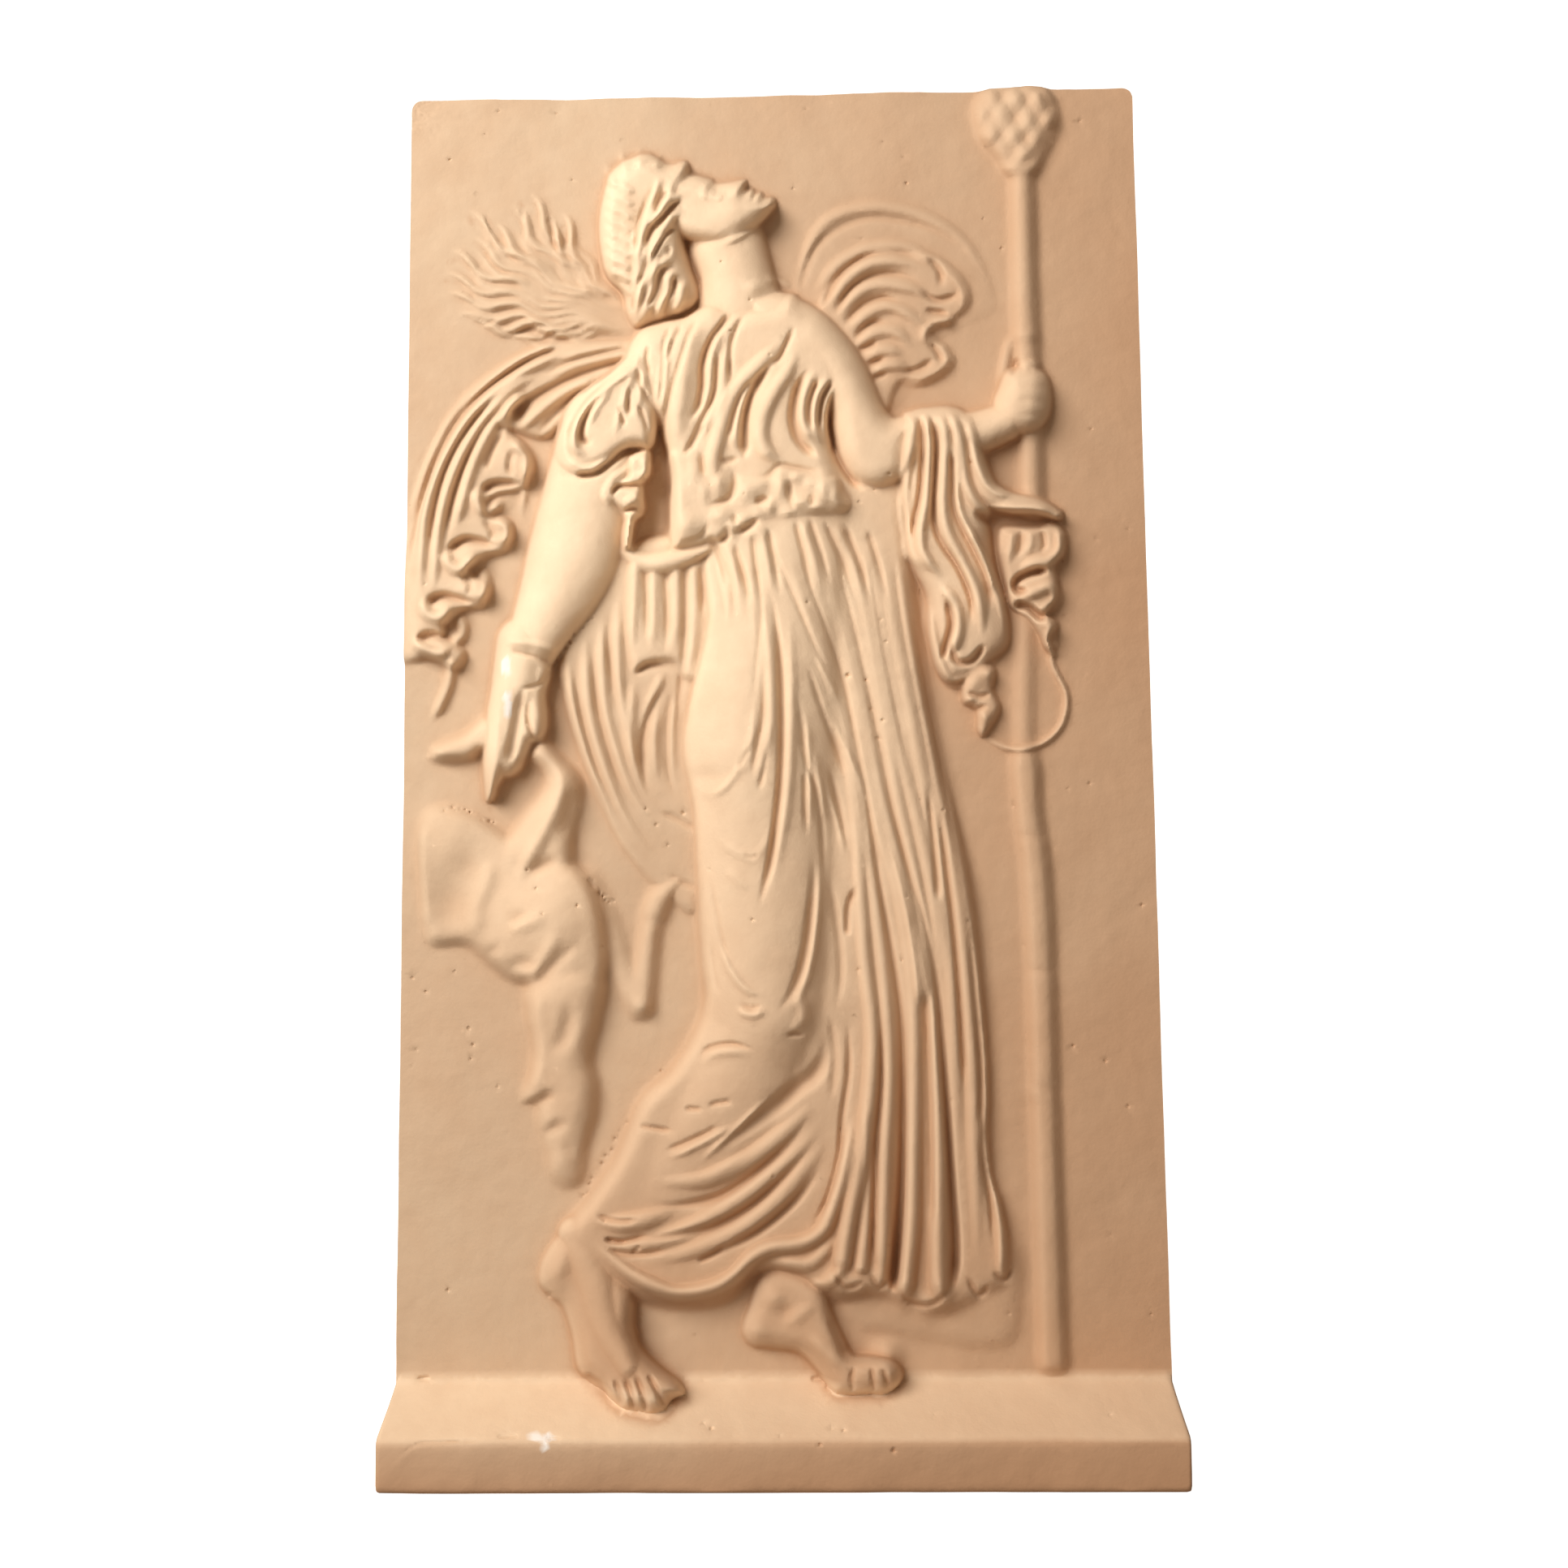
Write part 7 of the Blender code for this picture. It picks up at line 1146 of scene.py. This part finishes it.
def mark_surface(mesh, carving, box):
    """Marks hollows, darkened by dirt and painted shade, raised forms, made paler by rubbing and painted
    light, and rims that are rubbed, for the plaster to use.
    """
    points = np.empty(len(mesh.vertices) * 3, np.float32)
    mesh.vertices.foreach_get("co", points)
    across, out, up = sized(box)
    front = box[1][1] - bpy.context.scene.cast_settings.slab_thickness
    x, y, z = points.reshape(-1, 3).T
    x, depth, z = x / across, (front - y) / out, z / up
    seen_x, seen_z = as_seen(x, z, np.maximum(depth, 0))
    fine, broad = Carving(carving.step), Carving(carving.step)
    fine.depth, broad.depth = carving.depth.copy(), carving.depth.copy()
    fine.soften(FINE_SIZE)
    broad.soften(BROAD_SIZE)
    here = sample(carving, seen_x, seen_z)
    fronted = depth > -1.0
    below = sample(fine, seen_x, seen_z) - here
    under = sample(broad, seen_x, seen_z) - here
    raw = np.zeros(len(x))
    for chip_x, chip_z, wide, tall in RAW_CHIPS:
        away = np.maximum(np.abs(seen_x - chip_x) / wide, np.abs(seen_z - chip_z) / tall)
        raw = np.maximum(raw, CHIP_SPREAD - away)
    marks = {
        "hollow": np.clip(below / FULL_HOLLOW, 0, 1),
        "shade": np.clip(under / FULL_SHADE, 0, 1),
        "rubbed": np.clip(-below / FULL_HOLLOW, 0, 1),
        "raised": ease((here + under - RAISED_FROM) / RAISED_RANGE),
        "raw": np.clip(raw * CHIP_EDGE, 0, 1),
    }
    for name, values in marks.items():
        set_attribute(mesh, name, values * fronted)


class NodeTree:
    """A short way to lay out a material's nodes."""

    def __init__(self, material):
        material.use_nodes = True
        self.nodes, self.links = material.node_tree.nodes, material.node_tree.links

    def add(self, kind, links=None, **values):
        """A node of this kind with its settings, and with its inputs given as values or linked."""
        node = self.nodes.new(kind)
        for name, value in values.items():
            setattr(node, name, value)
        for name, value in (links or {}).items():
            if isinstance(value, bpy.types.NodeSocket):
                self.links.new(value, node.inputs[name])
            else:
                node.inputs[name].default_value = value
        return node

    def noise(self, place, scale, detail):
        """Cloudy noise over a place."""
        return self.add("ShaderNodeTexNoise", {
            "Vector": place, "Scale": scale, "Detail": detail, "Roughness": 0.55}).outputs["Fac"]

    def ramp(self, value, low, high):
        """Rises from 0 to 1 as a value goes from low to high."""
        node = self.add("ShaderNodeMapRange", {"Value": value, "From Min": low, "From Max": high})
        return node.outputs["Result"]

    def marked(self, name):
        """A mark stored on the mesh."""
        return self.add("ShaderNodeAttribute", attribute_name=name).outputs["Fac"]

    def maths(self, operation, a, b):
        """Two numbers combined and kept between 0 and 1."""
        node = self.add("ShaderNodeMath", {0: a, 1: b}, operation=operation, use_clamp=True)
        return node.outputs["Value"]

    def times(self, a, b):
        """The product of two numbers."""
        return self.maths("MULTIPLY", a, b)

    def mix(self, amount, a, b):
        """Colour a turning to colour b by an amount."""
        node = self.add("ShaderNodeMix", data_type="RGBA")
        for index, value in ((0, amount), (6, a), (7, b)):
            if isinstance(value, bpy.types.NodeSocket):
                self.links.new(value, node.inputs[index])
            else:
                node.inputs[index].default_value = value if index == 0 else (*value, 1.0)
        return node.outputs[2]


def plaster_colour(tree, place, mottle):
    """Cream plaster, darkened to tan by painted shade on the right and towards the bottom and in blotches
    at random; paler where it stands out, from rubbing and painted light; darkened in its hollows by dirt
    and painted shade.
    """
    settings = bpy.context.scene.cast_settings
    axes = tree.add("ShaderNodeSeparateXYZ", {"Vector": place}).outputs
    # painted shade: the plaster turns to tan towards the right and towards the bottom, where less light
    # falls; the blotches add tan at random
    right = tree.ramp(axes["X"], -0.08, 0.17)
    low = tree.ramp(axes["Z"], 0.30, 0.05)
    blotch = tree.ramp(tree.noise(place, 7.0, 3.0), 0.40, 0.66)
    aged_and_shaded = tree.maths("ADD", tree.times(right, 0.7), tree.times(low, 0.2))
    aged_and_shaded = tree.maths("ADD", aged_and_shaded, tree.times(blotch, 0.3))
    colour = tree.mix(aged_and_shaded, settings.light_tone, settings.tan_and_shade_tone)
    # what stands out is paler, partly from rubbing and partly as painted light; it is painted palest high
    # up, turns to painted shade low down, and is less pale on the right where the painted shade falls
    raised_lit_and_shaded = tree.mix(tree.ramp(axes["Z"], 0.02, 0.33), settings.dirt_and_shade_tone, settings.rubbed_and_lit_tone)
    share = tree.maths("SUBTRACT", 0.85, tree.times(right, 0.45))
    colour = tree.mix(tree.times(tree.marked("raised"), share), colour, raised_lit_and_shaded)
    # painted light and shade on the ledge: its slope is painted paler as if lit from above, and its upright
    # face darker as painted shade, darker still towards the ground
    rise, arris = settings.ledge_rise, settings.ledge_arris
    slope = tree.times(
        tree.ramp(axes["Z"], rise * 1.1, rise), tree.ramp(axes["Z"], arris * 0.95, arris * 1.05))
    face = tree.ramp(axes["Z"], arris, arris * 0.9)
    ground = tree.ramp(axes["Z"], arris, 0.0)
    # dirt and painted shade darken the hollows, painted shade darkens the broad hollows, and rubbing makes
    # rims paler
    for amount, strength, tone in (
            (slope, 0.45, settings.rubbed_and_lit_tone), (face, 0.3, settings.tan_and_shade_tone),
            (ground, 0.8, settings.dirt_and_shade_tone), (mottle, 0.16, settings.tan_and_shade_tone),
            (tree.marked("hollow"), 0.5, settings.dirt_and_shade_tone),
            (tree.marked("shade"), 0.15, settings.dirt_and_shade_tone),
            (tree.marked("rubbed"), 0.25, settings.rubbed_and_lit_tone)):
        colour = tree.mix(tree.times(amount, strength), colour, tone)
    return tree.mix(tree.marked("raw"), colour, settings.raw_tone)


def plaster_material():
    """Dry cast plaster with a fine grain."""
    material = bpy.data.materials.new("cast_plaster")
    tree = NodeTree(material)
    shader = tree.nodes["Principled BSDF"]
    place = tree.add("ShaderNodeTexCoord").outputs["Object"]
    mottle = tree.ramp(tree.noise(place, 60.0, 5.0), 0.35, 0.70)
    tree.links.new(plaster_colour(tree, place, mottle), shader.inputs["Base Color"])
    rough = tree.maths("ADD", tree.times(mottle, 0.12), bpy.context.scene.cast_settings.roughness)
    tree.links.new(rough, shader.inputs["Roughness"])
    shader.inputs["Specular IOR Level"].default_value = 0.35
    broad = tree.add("ShaderNodeBump", {
        "Height": tree.noise(place, 95.0, 3.0), "Strength": 0.35, "Distance": 0.0012})
    fine = tree.add("ShaderNodeBump", {
        "Height": tree.noise(place, 900.0, 3.0), "Strength": 0.25, "Distance": 0.0003,
        "Normal": broad.outputs["Normal"]})
    tree.links.new(fine.outputs["Normal"], shader.inputs["Normal"])
    return material


def floor_material():
    """A plain pale floor."""
    material = bpy.data.materials.new("pale_floor")
    tree = NodeTree(material)
    shader = tree.nodes["Principled BSDF"]
    settings = bpy.context.scene.studio_settings
    shader.inputs["Base Color"].default_value = (*settings.floor_tone, 1.0)
    shader.inputs["Roughness"].default_value = 0.85
    shader.inputs["Emission Color"].default_value = (1.0, 1.0, 1.0, 1.0)
    shader.inputs["Emission Strength"].default_value = settings.floor_glow
    return material


def backdrop_material():
    """Plain white paper, evenly lit."""
    material = bpy.data.materials.new("white_backdrop")
    tree = NodeTree(material)
    shader = tree.nodes["Principled BSDF"]
    shader.inputs["Base Color"].default_value = (1.0, 1.0, 1.0, 1.0)
    shader.inputs["Emission Color"].default_value = (1.0, 1.0, 1.0, 1.0)
    shader.inputs["Emission Strength"].default_value = 1.0
    return material


class OBJECT_OT_relief_cast(bpy.types.Operator):
    """Carve the relief cast over its solid"""

    bl_idname = "object.relief_cast"
    bl_label = "Carve Relief Cast"
    bl_options = {"REGISTER", "UNDO"}

    def execute(self, context):
        settings = context.scene.cast_settings
        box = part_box(NODE)
        carving, behind = Carving(settings.carving_step), Carving(settings.carving_step)
        carve_staff(carving)
        carve_kid(carving)
        carve_figure(carving)
        # the cloth behind is laid on last, so that its hems stay crisp
        carve_cloth_behind(behind)
        behind.soften(settings.carving_step)
        carving.depth = np.maximum(carving.depth, behind.depth)
        carve_flying_hair(carving)
        carving.soften(settings.carving_step)
        wear = Carving(settings.carving_step)
        carve_wear(wear, settings.seed, settings.bubbles)
        cast = bpy.data.objects.new("carved_cast", cast_mesh(carving, wear, box))
        context.scene.collection.objects.link(cast)
        context.view_layer.objects.active = cast
        facets = cast.modifiers.new("facets", "DECIMATE")
        facets.use_collapse_triangulate = True
        facets.ratio = settings.facets / sum(len(face.vertices) - 2 for face in cast.data.polygons)
        bpy.ops.object.modifier_apply(modifier=facets.name)
        flatten(cast.data, box)
        mark_surface(cast.data, carving, box)
        cast.data.shade_smooth()
        cast.data.set_sharp_from_angle(angle=SHARP_ANGLE)
        cast.data.materials.append(plaster_material())
        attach(cast, "root")
        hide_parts(NODE)
        return {"FINISHED"}


class OBJECT_OT_relief_studio(bpy.types.Operator):
    """Lay the pale floor and set the lights and camera"""

    bl_idname = "object.relief_studio"
    bl_label = "Set Up Studio"
    bl_options = {"REGISTER", "UNDO"}

    def execute(self, context):
        settings = context.scene.studio_settings
        bpy.ops.mesh.primitive_plane_add(size=FLOOR_SIZE, location=(0.0, 0.0, 0.0))
        floor = context.object
        floor.name = "floor"
        floor.data.materials.append(floor_material())
        bpy.ops.mesh.primitive_plane_add(
            size=FLOOR_SIZE * 2, location=(0.0, FLOOR_SIZE / 2, 0.0),
            rotation=(math.pi / 2, 0.0, 0.0))
        backdrop = context.object
        backdrop.name = "backdrop"
        backdrop.data.materials.append(backdrop_material())
        # both are only seen: they don't light the cast
        for plain in (floor, backdrop):
            plain.visible_diffuse = plain.visible_glossy = plain.visible_shadow = False

        light = bpy.data.lights.new("key", "AREA")
        light.size, light.energy, light.color = settings.key_size, settings.key_power, KEY_TONE
        lamp = bpy.data.objects.new("key", light)
        lamp.location = settings.key_place
        towards = Vector((0.0, 0.0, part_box(NODE)[1][2] / 2)) - lamp.location
        lamp.rotation_euler = towards.to_track_quat("-Z", "Y").to_euler()
        context.scene.collection.objects.link(lamp)

        world = bpy.data.worlds.new("studio")
        world.use_nodes = True
        sky = world.node_tree.nodes["Background"].inputs
        sky["Color"].default_value = (*settings.sky_tone, 1.0)
        sky["Strength"].default_value = settings.sky
        context.scene.world = world
        context.scene.view_settings.view_transform = "Standard"

        camera = bpy.data.objects.new("camera", bpy.data.cameras.new("camera"))
        camera.data.lens = settings.lens
        camera.location = settings.camera_place
        camera.rotation_euler = settings.camera_turn
        context.scene.collection.objects.link(camera)
        context.scene.camera = camera
        return {"FINISHED"}


class VIEW3D_PT_relief(bpy.types.Panel):
    """The cast's and the studio's settings"""

    bl_label = "Relief Cast"
    bl_idname = "VIEW3D_PT_relief"
    bl_space_type = "VIEW_3D"
    bl_region_type = "UI"
    bl_category = "Relief"

    def draw(self, context):
        for settings, operator in (
                (context.scene.cast_settings, OBJECT_OT_relief_cast.bl_idname),
                (context.scene.studio_settings, OBJECT_OT_relief_studio.bl_idname)):
            column = self.layout.column(align=True)
            for name in settings.__annotations__:
                column.prop(settings, name)
            column.operator(operator)


CLASSES = (
    CastSettings, StudioSettings, OBJECT_OT_relief_cast, OBJECT_OT_relief_studio, VIEW3D_PT_relief)


def register():
    for item in CLASSES:
        bpy.utils.register_class(item)
    bpy.types.Scene.cast_settings = PointerProperty(type=CastSettings)
    bpy.types.Scene.studio_settings = PointerProperty(type=StudioSettings)


def unregister():
    del bpy.types.Scene.studio_settings
    del bpy.types.Scene.cast_settings
    for item in reversed(CLASSES):
        bpy.utils.unregister_class(item)


def main():
    """Makes every piece and the studio."""
    register()
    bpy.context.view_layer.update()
    bpy.ops.object.relief_cast()
    bpy.ops.object.relief_studio()


if __name__ == "__main__":
    main()
